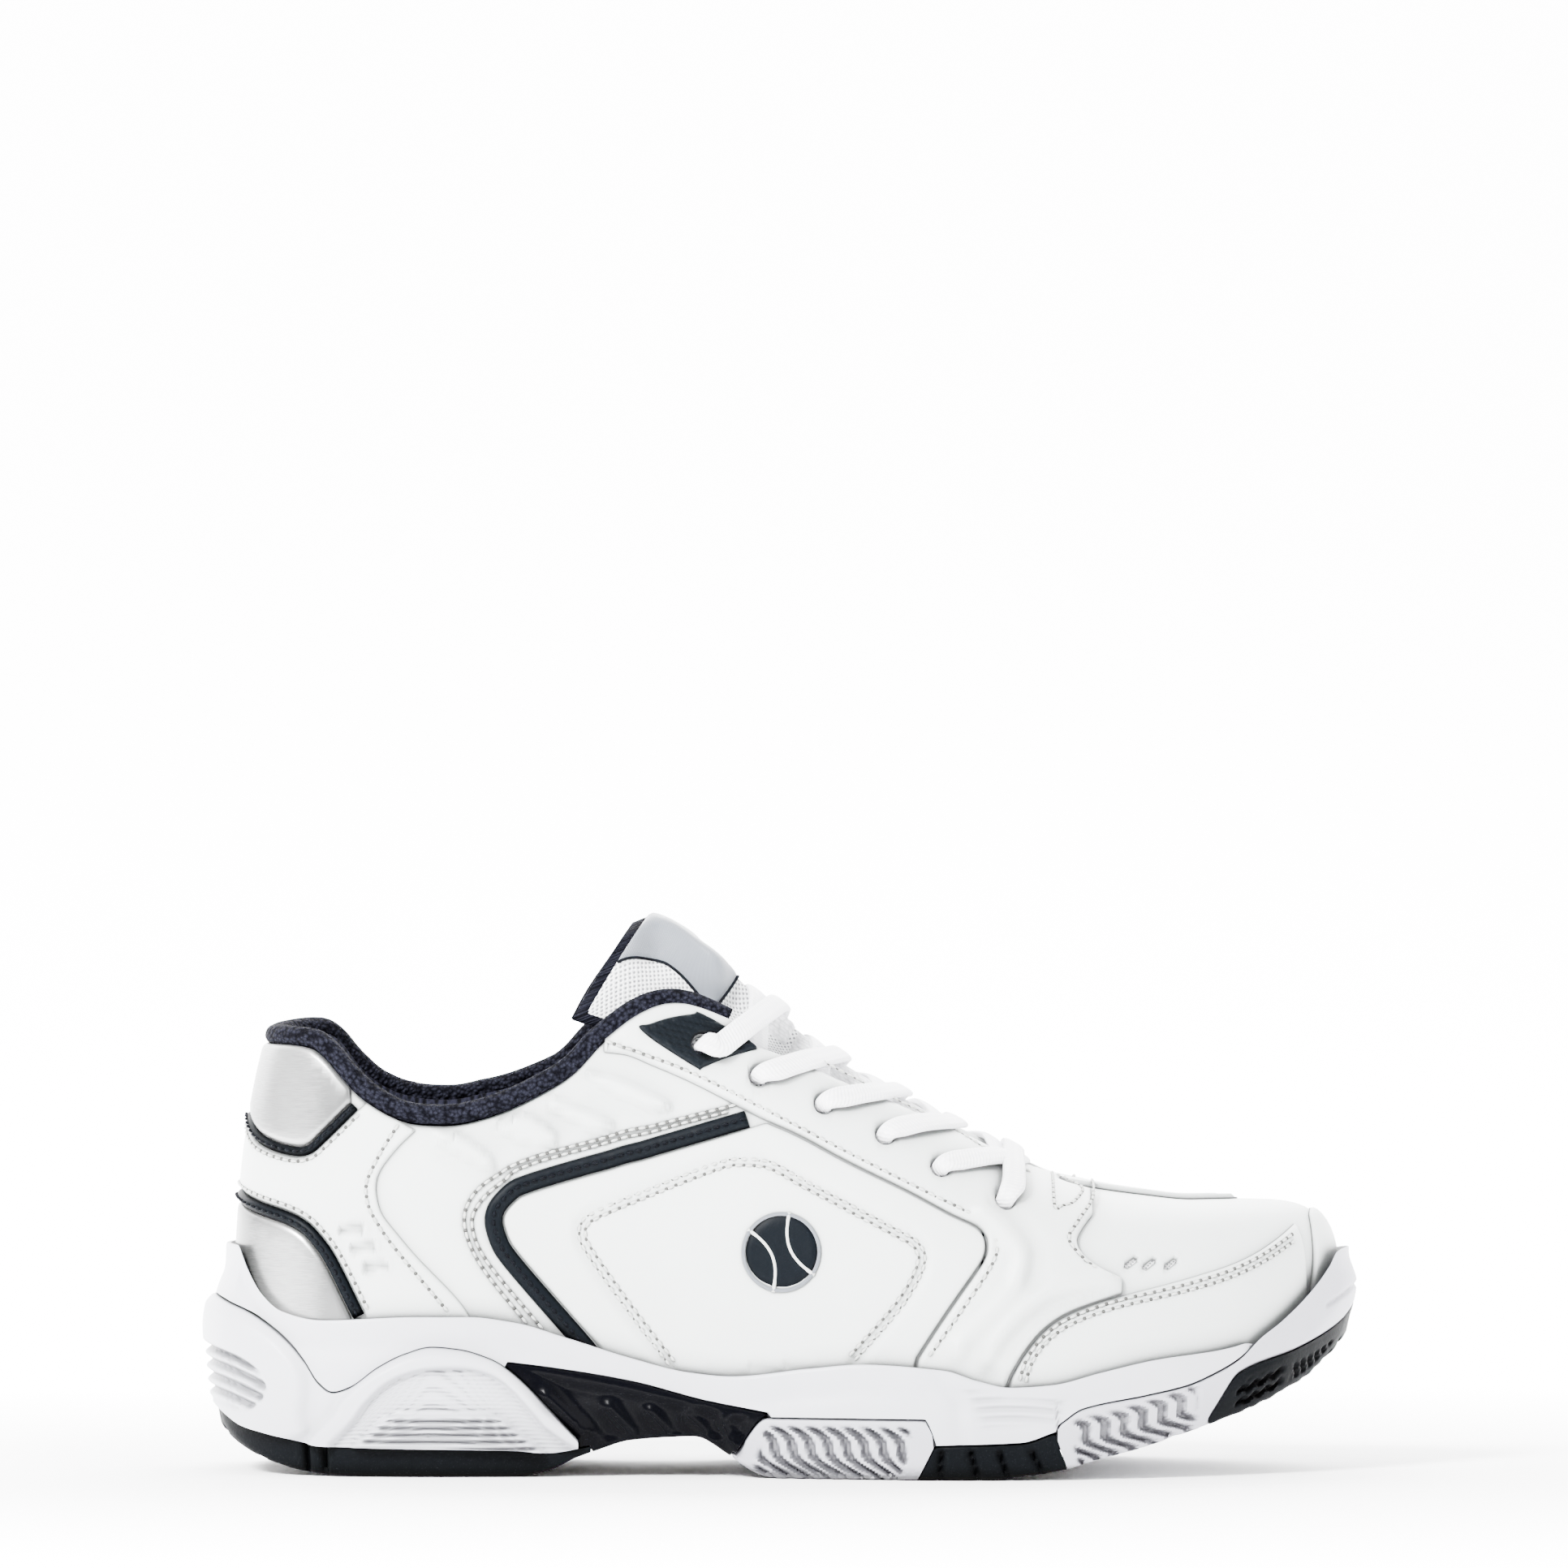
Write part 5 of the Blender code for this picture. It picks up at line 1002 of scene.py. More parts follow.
vamp = np.vstack([base_arc(t_of(SPLIT + 0.2), t_of(SPLIT + 0.2, True), 120), mirror(vamp_l)[1:],
                  mirror(vamp_start), throat_med[6:], throat_end[::-1], throat_lat[:5:-1],
                  vamp_start, vamp_l[:0:-1]])
vents = []
for x, z in VENTS:
    a = np.arange(12) * math.pi / 6
    ring = np.column_stack([1.35 * np.sign(np.cos(a)) + 0.62 * np.cos(a), 0.62 * np.sin(a)])
    turned = ring @ np.array([[0.83, 0.56], [-0.56, 0.83]])
    vents.append(side(turned + [x, z]))
for tag, turn in SIDES:
    back = turn(side([(84.5, 51.8), (103.5, 51.2), (103.5, 57.6), (84.5, 57.9)]))
    panel("vent_backing_" + tag, back, -1.75, -1.42, MESH, "flex", [], 1.6)
panel("vamp", vamp, BASE_LOW, BASE_TOP, VAMP, "flex", ["vamp"], 0.95 * quick_step,
      [holes_lat[5], holes_med[5]] + vents + [mirror(v) for v in vents], vamp_relief, wall=False,
      rings=(0.4,))

# ---- overlays ----
LOW, TOP = 0.06, 1.25
toe_l = surface_path(side(TOE_EDGE))
toe_c = surface_path(plan([(134.2, -12), (136.0, -4), (136.2, 5.0), (134.8, 13), (132.0, 19)]))
toe_path = np.vstack([base_arc(t_of(56.5), t_of(56.5, True), 130), mirror(toe_l), toe_c[::-1],
                      toe_l[::-1]])
panel("toe_overlay", toe_path, LOW, TOP, WHITE, "flex", ["toe_overlay"],
      0.95 * quick_step, wall=False, rings=(0.4, 0.9), edge=1.3)

front_l = offset_curve(surface_path(side(TOE_EDGE)[:5]), 0.5)
vamp_edge = surface_path(side(VAMP_EDGE))
bridge = surface_path(plan([(79.0, -16), (80.6, -7), (81.2, 2), (80.6, 11), (79.0, 19)]))
facing_l = side(FACING)
top_l = np.vstack([lower_rim(between(rim_lat, -46, -13.9), TUCK), surface_path(throat_lat)])
out_l = np.vstack([offset_curve(surface_path(facing_l), 0.4)[::-1], top_l])
facing = np.vstack([[[t_of(33.0), 0.015]], out_l, throat_end, mirror(out_l)[::-1],
                    [[t_of(33.0, True), 0.015]], base_arc(t_of(36, True), t_of(55.6, True), 8),
                    mirror(front_l), mirror(vamp_edge)[::-1], bridge[::-1], vamp_edge,
                    front_l[::-1], base_arc(t_of(55.6), t_of(36), 8)])
panel("eyestay_facing", facing, LOW, TOP + 0.35, WHITE, "flex",
      ["eyestay_facing"], 0.85 * quick_step, holes_lat + holes_med, facing_relief, wall=False,
      edge=0.9, rings=(0.35,))

stripe_l = surface_path(side(curve_xz(STRIPE)))


def strip(name, tv, width, top, look, moves, stands, step=1.0):
    """Piping or tape laid along a surface curve, with a rounded back."""
    tv = surface_path(tv, 1.2)
    a = offset_curve(tv, width / 2)
    b = offset_curve(tv, -width / 2)
    return panel(name, np.vstack([a, b[::-1]]), LOW, top, look, moves, stands, step,
                 edge=1.1, rings=(0.5,))


for tag, turn in SIDES:
    inner_edge = offset_curve(surface_path(stripe_l), 2.55)[1:]
    facing_in = offset_curve(surface_path(facing_l), -0.15)
    facing_in = facing_in[on(facing_in)[:, 0] > -5.5]
    saddle = np.vstack([inner_edge[::-1], facing_in, base_arc(t_of(32), t_of(-46), 30)])
    panel("saddle_panel_" + tag, turn(saddle), LOW, TOP - 0.2, WHITE, "flex",
          ["saddle_panel_" + tag], 1.1 * quick_step, relief=saddle_relief)
    strip("side_stripe_" + tag, turn(stripe_l), 4.6, TOP + 0.1, PIPING,
          "rearfoot", ["side_stripe_" + tag])
    mark = turn(side(PATCH_OUTLINE))
    hole = holes_lat[0]
    if tag == "medial":
        mark = mark + eyelets_med[0] - [1 - eyelets[0, 0], eyelets[0, 1]]
        hole = holes_med[0]
    mark = rounded(mark, n=6)
    panel("eyelet_patch_" + tag, mark, TOP + 0.3, TOP + 1.15, PATCH, "rearfoot",
          ["eyelet_patch_" + tag], 0.55, [hole], patch_ribs, edge=0.7, rings=(0.35,))

seam = surface_path(side(SEAM))
pipe_hi = both(np.vstack([at_heel(91.0), side(PIPE_HIGH)]))
pipe_lo = both(np.vstack([at_heel(70.5), side(PIPE_LOW)]))
strip("heel_piping_upper", pipe_hi, 2.3, TOP + 0.35, PIPING, "rearfoot",
      ["heel_piping_upper"], 0.9)
strip("heel_piping_lower", pipe_lo, 3.2, TOP + 0.35, PIPING, "rearfoot",
      ["heel_piping_lower"], 1.0)
hi_up = offset_curve(surface_path(pipe_hi), 1.35)
hi_dn = offset_curve(surface_path(pipe_hi), -1.35)
lo_up = offset_curve(surface_path(pipe_lo), 1.85)
lo_dn = offset_curve(surface_path(pipe_lo), -1.8)
rim_low = lower_rim(rim_all, TUCK)
tab = np.vstack([hi_up, between(rim_low, -140, -110.5)[::-1]])
panel("heel_tab", tab, LOW, TOP, SILVER, "rearfoot", ["heel_tab"], 1.3)
overlay_side = np.vstack([lower_rim(between(rim_lat, -107, -96.5), TUCK), seam])
over_l = np.vstack([overlay_side, base_arc(t_of(-77), t_of(-106.0), 10)])
over_m = np.vstack([base_arc(t_of(-106.0, True) - 1, t_of(-77, True) - 1, 10),
                    (mirror(overlay_side) - [1, 0])[::-1]])
panel("heel_overlay", np.vstack([hi_dn, over_l, lo_up[::-1], over_m]), LOW, TOP, WHITE,
      "rearfoot", ["heel_overlay"], 0.8 * quick_step, relief=heel_relief)
panel("heel_panel_lower", np.vstack([lo_dn, base_arc(t_of(-111.0), t_of(-111.0, True) - 1, 40)]),
      LOW, TOP - 0.1, SILVER, "rearfoot", ["heel_panel_lower"], 1.4)

# ---- collar: knitted binding and padded lining ----
BIND_W, BIND_H = 5.6, 5.2
bind = surface_path(rim_all, 1.3)
bind_c = layer(bind, -BIND_W / 2 + 1.5)
v, f, uv = tube(bind_c, normal_on(bind), BIND_H / 2, BIND_W / 2, 20, 2.2)
make("collar_binding", v, f, KNIT, "rearfoot", ["collar_binding"], uv)


def rim_v(t):
    t = np.mod(t, 1.0)
    a = np.interp(t, rim_lat[:, 0], rim_lat[:, 1])
    b = np.interp(1 - t, rim_lat[:, 0], rim_med[:, 1])
    return np.where(t < 0.5, a, b)


def lining_depth(tv):
    """Depth of the lining below the upper's face: padded round the collar."""
    below = rim_v(tv[:, 0]) - tv[:, 1]
    x = UPPER.at(tv[:, 0])[:, 0]
    collar = 1 - smooth(-44, -10, x)
    near = (1 - smooth(0.07, 0.30, below)) * collar
    tuck = (1 - smooth(0.0, 0.05, below)) * collar
    return 3.3 + 4.4 * near - 3.2 * tuck


lining_l = np.vstack([lower_rim(between(rim_lat[1:], -140, -49), 0.004),
                      surface_path(side([(-46, 106), (-32, 109), (-20, 104), (-6, 95), (10, 87.5),
                                         (25, 79.5), (40, 70.5), (54, 61)]), 3.0)])
lining_top = np.vstack([[[0.0, heel_v - 0.004]], lining_l])


def lining_side(turn):
    t_end = t_of(60)
    edge = turn(np.vstack([lining_top, [[t_end, 0.45]]]))
    base = turn(base_arc(t_end, 0.0, 90, 0.02))
    return np.vstack([edge, base])


def lining_panel(name, turn, moves, stands):
    loops = [even(unroll(lining_side(turn)), 2.2)]
    q, tri = mesh_loops(loops, 2.4 * quick_step, ())
    tv = reroll(q)
    p, nn = on(tv), normal_on(tv)
    deep = lining_depth(np.stack([np.mod(tv[:, 0], 1.0), tv[:, 1]], -1))
    inner = p - nn * (deep + 0.8)[:, None]
    v, faces = closed_pair(inner, p - nn * deep[:, None], tri)
    return make(name, v, faces, LINING, moves, stands, np.vstack([q] * 2))


lining_a = lining_panel("inner_lining", lambda c: c, "flex", ["inner_lining", "collar_foam"])
lining_b = lining_panel("inner_lining_medial", mirror, "flex", [])
toe_t = t_of(60)
toe_lining = np.vstack([base_arc(toe_t, 1 - toe_t, 80, 0.02), [[1 - toe_t, 0.45]],
                        plan([(68, 24), (76, 12), (78, 0), (76, -12), (68, -24)]),
                        [[toe_t, 0.45]]])
q, tri = mesh_loops([even(to_chart(toe_lining), 2.0)], 2.2 * quick_step, ())
tv = unchart(q)
p, nn = on(tv), normal_on(tv)
v, f = closed_pair(p - nn * 4.1, p - nn * 3.3, tri)
make("inner_lining_toe", v, f, LINING, "flex", [], np.vstack([unroll(tv)] * 2))

# ---- sole ----
# depths in from the outline: the visible lip, its inner foot, the cup's wall, the plates
LIP, LIP_IN, CUP_IN, PLATE = 3.0, 3.6, 4.1, 10.0
GAP = 0.3
SOLE_T = np.arange(900) / 900
SOLE_P = SOLE.at(SOLE_T)
OUT_T = np.arange(1800) / 1800
OUT_P, OUT_N = SOLE.at(OUT_T), SOLE.normal(OUT_T)

HEEL_TOP = [(-148.8, 19.5), (-143.5, 14.8), (-138.7, 11.8), (-133, 10.3), (-128, 9.2),
            (-118, 7.2), (-109, 6.9), (-69, 6.3), (-60, 5.6), (-49.5, 7.4)]
UNIT_TOP = [(-148.2, 45), (-140.6, 42), (-133, 37.8), (-127.6, 33.8), (-123, 29), (-119, 23.5),
            (-115.4, 21.2), (-111, 22.5), (-103.8, 27.6), (-97, 31), (-90, 32.8), (-83, 32.2),
            (-75, 29.8), (-71, 27.5), (-52.6, 9.2)]
SHANK_TOP = [(-71, 29), (-62, 27.9), (-39.4, 24.2), (-20, 19.3), (-4.4, 16.4)]
BLOCK_TOP = [(-13.4, 4.4), (-4.4, 15.2), (35.6, 15.1), (38.1, 9.5)]
PAD_TOP = [(37.6, 8.4), (60, 9.2), (69, 12)]
FRONT_TOP = [(69.4, 13.6), (76, 17.8), (92.3, 21), (103, 23.3), (111, 26.5), (117, 29.8),
             (123, 35), (128.8, 39), (137.2, 46.3), (142.5, 52.6), (144.6, 56), (149, 57)]
TOE_TOP = [(108.8, 14.9), (116.4, 26), (132.4, 31.7), (144.6, 37.8), (149, 42.2)]


def wall_shift(x, z, d):
    """Sideways shift of the sole wall with height; negative is inwards."""
    low = hermite(BOTTOM, x)
    top = hermite(FEATHER, x)
    f = np.clip((z - low) / np.maximum(top - low, 1), 0, 1)
    lean = hermite([(-149, 4.4), (-125, 2.2), (-60, 1.6), (110, 1.6), (149, 2.4)], x)
    outer = -2.0 * (1 - f) ** 3 - lean * smooth(0.45, 1.0, f)
    heel = -2.2 * smooth(0.3, 1.0, f) * (1 - smooth(-140, -120, x))
    s = np.clip(d / LIP, 0, 1)
    return outer * (1 - s) + heel * s * (1 - smooth(LIP_IN, PLATE, d))


def skew(x, z):
    """Slant of the cut lines between the forefoot pieces."""
    a = np.exp(-((x - 37.4) / 8.0) ** 2) * np.interp(z, [0, 8, 14], [-3.6, 0.5, 0.0])
    b = np.exp(-((x - 69.2) / 8.0) ** 2) * np.interp(z, [1.5, 10, 15], [3.2, 0.0, 0.0])
    return a + b


def plan_depth(q):
    """Distance inside the sole outline and the outward normal there."""
    d, n = np.zeros(len(q)), np.zeros((len(q), 2))
    for k in range(0, len(q), 2000):
        part = q[k:k + 2000]
        i = np.argmin(((part[:, None] - OUT_P[None]) ** 2).sum(-1), axis=1)
        n[k:k + 2000] = OUT_N[i]
        d[k:k + 2000] = ((OUT_P[i] - part) * OUT_N[i]).sum(1)
    return np.maximum(d, 0), n


def cut_outline(x0, x1):
    """The sole outline between two cuts across it."""
    x = SOLE_P[:, 0]
    m = (x > x0) & (x < x1)
    if m.all():
        return SOLE_P
    start = np.flatnonzero(m & ~np.roll(m, 1))
    out = []
    for s in start:
        run = [s]
        while m[(run[-1] + 1) % len(x)]:
            run.append((run[-1] + 1) % len(x))
        for before, inner, front in ((run[0] - 1, run[0], True),
                                     ((run[-1] + 1) % len(x), run[-1], False)):
            a, b = SOLE_P[before], SOLE_P[inner]
            cut = x0 if a[0] <= x0 else x1
            p = b + (a - b) * (cut - b[0]) / (a[0] - b[0])
            out.append(p[None] if front else None)
            if front:
                out.append(SOLE_P[run])
            else:
                out[-1] = p[None]
    p = np.vstack(out)
    step = np.linalg.norm(np.roll(p, -1, 0) - p, axis=1)
    full = []
    for a, b, gap in zip(p, np.roll(p, -1, 0), step):
        n = max(1, int(gap / 1.6)) if gap > 3 else 1
        full.append(a + (b - a) * (np.arange(n) / n)[:, None])
    return np.vstack(full)


SOLE_BEVEL = 1.2
THINNEST = 0.7
ON_OUTLINE = 0.06


def sole_piece(name, x0, x1, low, high, look, moves, stands, relief=None, levels=12,
               tread=None, step=3.0, rings=(0.4, 1.2, LIP, LIP_IN, PLATE),
               round_low=0.0, round_top=0.0, tuck=None):
    """A piece of the sole from x0 to x1, between two height fields of (x, depth).

    relief shapes its side wall, tread its underside, rings are depths that get a row of
    points, and tuck (x from, x to, amount) draws the outline in towards the toe.
    """
    loop = cut_outline(x0, x1)
    if tuck:
        start, full, amount = tuck
        loop = loop - plan_depth(loop)[1] * (amount * smooth(start, full, loop[:, 0]))[:, None]
    extra = []
    for r in rings:
        count = 620 if r < 5 else 300
        k = np.arange(count) / count
        p = SOLE.at(k) - SOLE.normal(k) * r
        ok = (p[:, 0] > x0 + 0.5) & (p[:, 0] < x1 - 0.5)
        extra.append(p[ok])
    q, tri = mesh_loops([loop], step, (), np.vstack(extra), LIP_IN + 1.2)
    d, n = plan_depth(q)
    d = np.where(d < ON_OUTLINE, 0, d)
    x = q[:, 0]
    zl = low(x, d)
    zu = np.maximum(high(x, d), zl + THINNEST)
    bevel = 1 - np.sqrt(1 - (1 - np.clip(d / SOLE_BEVEL, 0, 1)) ** 2)
    zl = zl + round_low * bevel
    zu = zu - round_top * bevel
    if tread is not None:
        zl = zl + tread(q[:, 0], q[:, 1], d)
    rim = rim_edges(tri)
    ring = np.array(sorted({a for e in rim for a in e}))

    def place(i, z):
        s = wall_shift(x[i], z, d[i])
        if relief is not None:
            s = s + relief(x[i], z) * (1 - np.clip(d[i] / LIP, 0, 1))
        p = q[i] + n[i] * s[:, None]
        return np.column_stack([p[:, 0] + skew(x[i], z), p[:, 1], z])

    every = np.arange(len(q))
    verts, index, at = [place(every, zl)], [every], len(q)
    for k in range(1, levels):
        row = np.full(len(q), -1)
        row[ring] = np.arange(len(ring)) + at
        verts.append(place(ring, zl[ring] + (zu - zl)[ring] * k / levels))
        index.append(row)
        at += len(ring)
    verts.append(place(every, zu))
    index.append(every + at)
    faces = tri[:, ::-1].tolist() + (tri + at).tolist()
    for a, b in rim:
        for k in range(levels):
            i, j = index[k], index[k + 1]
            faces.append((int(i[a]), int(i[b]), int(j[b]), int(j[a])))
    verts = np.vstack(verts)
    uv = np.column_stack([verts[:, 0], verts[:, 2] + 0.5 * verts[:, 1]])
    ob = make(name, verts, faces, look, moves, stands, uv)
    ob.data.set_sharp_from_angle(angle=math.radians(50))
    return ob


def lip_or_plate(table, plate):
    """Top of a piece: a lip of the table's height at the edge, a thin plate further in."""
    def field(x, d):
        low = hermite(BOTTOM, x)
        p = low + hermite(plate, x)
        w = np.maximum(hermite(table, x), low + 1.0)
        return p + (w - p) * (1 - smooth(LIP, LIP_IN, d))
    return field


def ground(x, d):
    return hermite(BOTTOM, x) + 0 * d


heel_top = lip_or_plate(HEEL_TOP, [(-149, 2.5), (-120, 4.2), (-60, 4.2), (-49, 2.4)])
unit_top = lip_or_plate(UNIT_TOP, [(-149, 8), (-135, 10), (-75, 10), (-71, 9), (-52.6, 4.2)])
shank_top = lip_or_plate(SHANK_TOP, [(-71, 12.5), (-52, 7.5), (-40, 4.5), (-14, 7), (-4, 8)])
block_top = lip_or_plate(BLOCK_TOP, [(-13.4, 3), (-4, 4.6), (40, 4.6)])
pad_top = lip_or_plate(PAD_TOP, [(36, 4.6), (70, 4.6)])
front_top = lip_or_plate(FRONT_TOP, [(69, 4.4), (110, 4.4), (125, 3.8), (149, 3.6)])
toe_top = lip_or_plate(TOE_TOP, [(108, 1.8), (149, 1.8)])


def highest(x, d, *spans):
    """Top of whichever pieces lie below, with the gap between pieces."""
    z = hermite(BOTTOM, x) - GAP
    for x0, x1, field in spans:
        z = np.where((x > x0 - 0.3) & (x < x1 + 0.3), np.maximum(z, field(x, d)), z)
    return z + GAP


def shank_low(x, d):
    return highest(x, d, (-71, -52.6, unit_top), (-52.6, -49.5, heel_top),
                   (-13.4, -4.4, block_top))


def front_low(x, d):
    return np.where(x < 108.6, ground(x, d), toe_top(x, d) + GAP)


def midsole_low(x, d):
    return highest(x, d, (-149, -71, unit_top), (-71, -4.4, shank_top), (-4.4, 37.2, block_top),
                   (37.6, 69, pad_top), (69.4, 149, front_top))


def cup(x, d):
    bed = hermite(FOOTBED, x)
    rim = hermite(FEATHER, x)
    rim = rim + (bed - rim) * smooth(118, 125, x)
    return bed + (rim - bed) * (1 - smooth(LIP + 0.4, CUP_IN, d))


# relief of the side walls, as functions of (x, z)
def island(x, z, poly, soft, height):
    return raised(np.column_stack([x, z]), poly, soft, height)


def bar(x, z, line, width, height):
    q = np.column_stack([x, z])
    return height * np.exp(-(line_distance(q, line) / width) ** 2)


LOBE = rounded([(-156, 44.5), (-146, 44.4), (-140.6, 42), (-133.2, 37.8), (-127.6, 33.8),
                (-123.2, 29), (-121.3, 23.7), (-121.9, 16), (-124.5, 8), (-156, 8)], n=4)
POCKET = rounded([(-156, 34), (-146, 32.6), (-139, 30.2), (-133.6, 26.5), (-131.6, 22.4),
                  (-133.4, 18), (-138.4, 15.6), (-146, 17.8), (-156, 20)], n=4)
ARCH = rounded([(-119, 4), (-115.4, 16), (-110.8, 22.3), (-103.8, 27.7), (-96.9, 31.0),
                (-90, 32.4), (-82.8, 32.0), (-72, 28.8), (-60, 17), (-48, 3)], n=4)
LEDGE = rounded([(-113.5, 3), (-109.6, 15), (-102.4, 23.4), (-95, 27.0), (-88, 28.0), (-79, 27.6),
                 (-71, 24.0), (-61, 13), (-52, 2)], n=4)
WINDOW = rounded([(-109.5, 3), (-104.8, 12.9), (-100, 16.0), (-92.7, 16.8), (-74.8, 16.2),
                  (-69, 12.8), (-62, 3)], n=4)


def unit_relief(x, z):
    d = island(x, z, LOBE, 3.0, 2.1) + island(x, z, POCKET, 1.2, -1.3)
    inside_pocket = island(x, z, POCKET, 1.6, 1.0)
    w = z + 0.36 * (x + 140) + 0.012 * (x + 140) ** 2
    d += inside_pocket * 0.85 * np.cos(2 * math.pi * (w - 17.2) / 3.5)
    d += island(x, z, ARCH, 2.2, 2.2) + island(x, z, LEDGE, 1.2, -1.7)
    in_ledge = island(x, z, LEDGE, 1.6, 1.0) * (1 - island(x, z, WINDOW, 1.2, 1.0))
    d += in_ledge * 0.16 * np.cos(2 * math.pi * z / 1.1)
    in_window = island(x, z, WINDOW, 1.4, 1.0)
    d += in_window * (1.6 + 0.55 * np.cos(2 * math.pi * (z - 8.0) / 1.75))
    return d


def cup_relief(x, z):
    top = hermite(FEATHER, x)
    d = -0.5 * np.exp(-((top - z - 6.5) / 3.0) ** 2)
    flex = island(x, z, [(44, 24.5), (50, 12), (71, 13), (73, 21.5), (57, 21.5)], 2.5, 1.0)
    d += flex * (0.32 * np.cos(2 * math.pi * (z + 0.02 * (x - 57) ** 2 * 0.3) / 2.4) - 0.25)
    return d + bar(x, z, [(39, 26), (44, 20), (44.5, 9)], 2.2, -0.5)


def shank_relief(x, z):
    d = island(x, z, [(-64, 26.5), (-40, 22.2), (-10, 15.3), (-9, 9), (-46, 8.5)], 2.8, -0.9)
    for a, b in (((-60.5, 20.5), (-51.5, 11.5)), ((-44.5, 17.5), (-38.5, 10.5)),
                 ((-34, 16.5), (-28.5, 9.8)), ((-24, 15.5), (-18.8, 9.5)),
                 ((-15.5, 14), (-11.5, 6))):
        d += bar(x, z, [a, b], 2.0, 1.3)
    return d


def lamella(s, period, depth, duty=0.5):
    """Grooves across a phase coordinate, with soft shoulders."""
    c = np.cos(2 * math.pi * s / period)
    return -depth * smooth(duty - 0.55, duty + 0.35, c)


def block_relief(x, z):
    mask = island(x, z, [(-9.5, -2), (-5.2, 13.4), (31.5, 13.4), (32.6, 9), (30.5, -2)], 1.4, 1.0)
    s = x + 0.95 * z + 1.5 * np.sin(2 * math.pi * (z - 2.0) / 11.5)
    return mask * lamella(s, 4.6, 1.9, 0.4)


def front_relief(x, z):
    h = z - hermite(BOTTOM, x)
    mask = smooth(72.6, 74.6, x) * (1 - smooth(103.5, 106.5, x)) * (1 - smooth(9.8, 12.4, h))
    s = x + 0.9 * h + 1.6 * np.sin(2 * math.pi * (h - 2.5) / 9.5)
    d = mask * lamella(s, 4.9, 1.8, 0.4)
    return d + bar(x, z, [(140.8, 42.2), (147.3, 46.4), (156, 50)], 0.6, -0.7)


def pad_relief(x, z):
    d = 0 * x
    for a in (39.9, 47.4, 54.6, 62.4):
        d += bar(x, z, [(a, 6.8), (a + 2.6, -1.5)], 0.75, -1.5)
    return d


def toe_relief(x, z):
    h = z - hermite(BOTTOM, x)
    top = hermite(TOE_TOP, x) - hermite(BOTTOM, x)
    mask = smooth(130.5, 131.5, x) * (1 - smooth(143.0, 144.5, x)) * smooth(0.8, 1.6, h)
    mask *= 1 - smooth(top - 4.2, top - 3.0, h)
    d = mask * lamella(x + 0.25 * h, 1.9, 1.1, 0.35)
    zig = smooth(115.5, 117, x) * (1 - smooth(127.5, 129, x)) * smooth(1.0, 2.0, h)
    zig *= 1 - smooth(top - 3.6, top - 2.2, h)
    return d + zig * lamella(h + 1.3 * np.abs(((x / 3.4) % 1.0) - 0.5) * 2, 3.1, 1.2, 0.4)


def heel_relief_low(x, z):
    d = 0 * x
    for a in (-123.0, -118.3):
        d += bar(x, z, [(a, 12), (a + 0.4, -2)], 0.8, -1.9)
    return d


def herringbone(period, depth, wave, height):
    def tread(x, y, d):
        tri = np.abs(((y / wave) % 1.0) - 0.5) * 2
        return smooth(2.2, 3.0, d) * -lamella(x + height * tri, period, depth, 0.45)
    return tread


sole_piece("outsole_heel", -149, -49.5, ground, heel_top, RUBBER_D, "rearfoot",
           ["outsole_heel"], heel_relief_low, 12, herringbone(7.0, 1.7, 17.0, 5.5),
           1.5 * quick_step, round_low=0.9)
sole_piece("midsole_heel_unit", -149, -52.6, lambda x, d: heel_top(x, d) + GAP, unit_top, EVA,
           "rearfoot", ["midsole_heel_unit"], unit_relief, 52, round_top=0.5)
sole_piece("shank_plate", -70.9, -4.4, shank_low, shank_top, SHANK, "rearfoot",
           ["shank_plate"], shank_relief, 34, round_top=0.5, round_low=0.5)
sole_piece("outsole_midfoot_block", -13.4, 37.2, ground, block_top, RUBBER_W,
           "flex", ["outsole_midfoot_block"], block_relief, 30,
           herringbone(6.0, 1.7, 15.0, 4.5), 1.4 * quick_step, round_low=0.8, round_top=0.7)
sole_piece("outsole_flex_pad", 37.6, 69.0, ground, pad_top, RUBBER_D, "flex",
           ["outsole_flex_pad"], pad_relief, 16, herringbone(6.4, 1.7, 15.0, 4.5),
           1.4 * quick_step, round_low=0.9, round_top=0.8)
sole_piece("outsole_front_bumper", 69.4, 149, front_low, front_top, RUBBER_W,
           "flex", ["outsole_front_bumper"], front_relief, 34,
           lambda x, y, d: herringbone(6.0, 1.7, 15.0, 4.5)(x, y, d) * (1 - smooth(107, 108.4, x)),
           1.5 * quick_step, round_low=0.7, round_top=0.9)
sole_piece("outsole_toe", 108.8, 149, ground, toe_top, RUBBER_D, "forefoot",
           ["outsole_toe"], toe_relief, 22, herringbone(5.2, 1.4, 13.0, 4.0), 1.4 * quick_step,
           round_low=0.8)
sole_piece("midsole_cup", -149, 149, midsole_low, cup, EVA, "flex",
           ["midsole_cup"], cup_relief, 40, round_top=0.9,
           rings=(0.4, 1.2, LIP, LIP + 0.4, CUP_IN, PLATE), tuck=(117, 125, LIP_IN + 0.5))


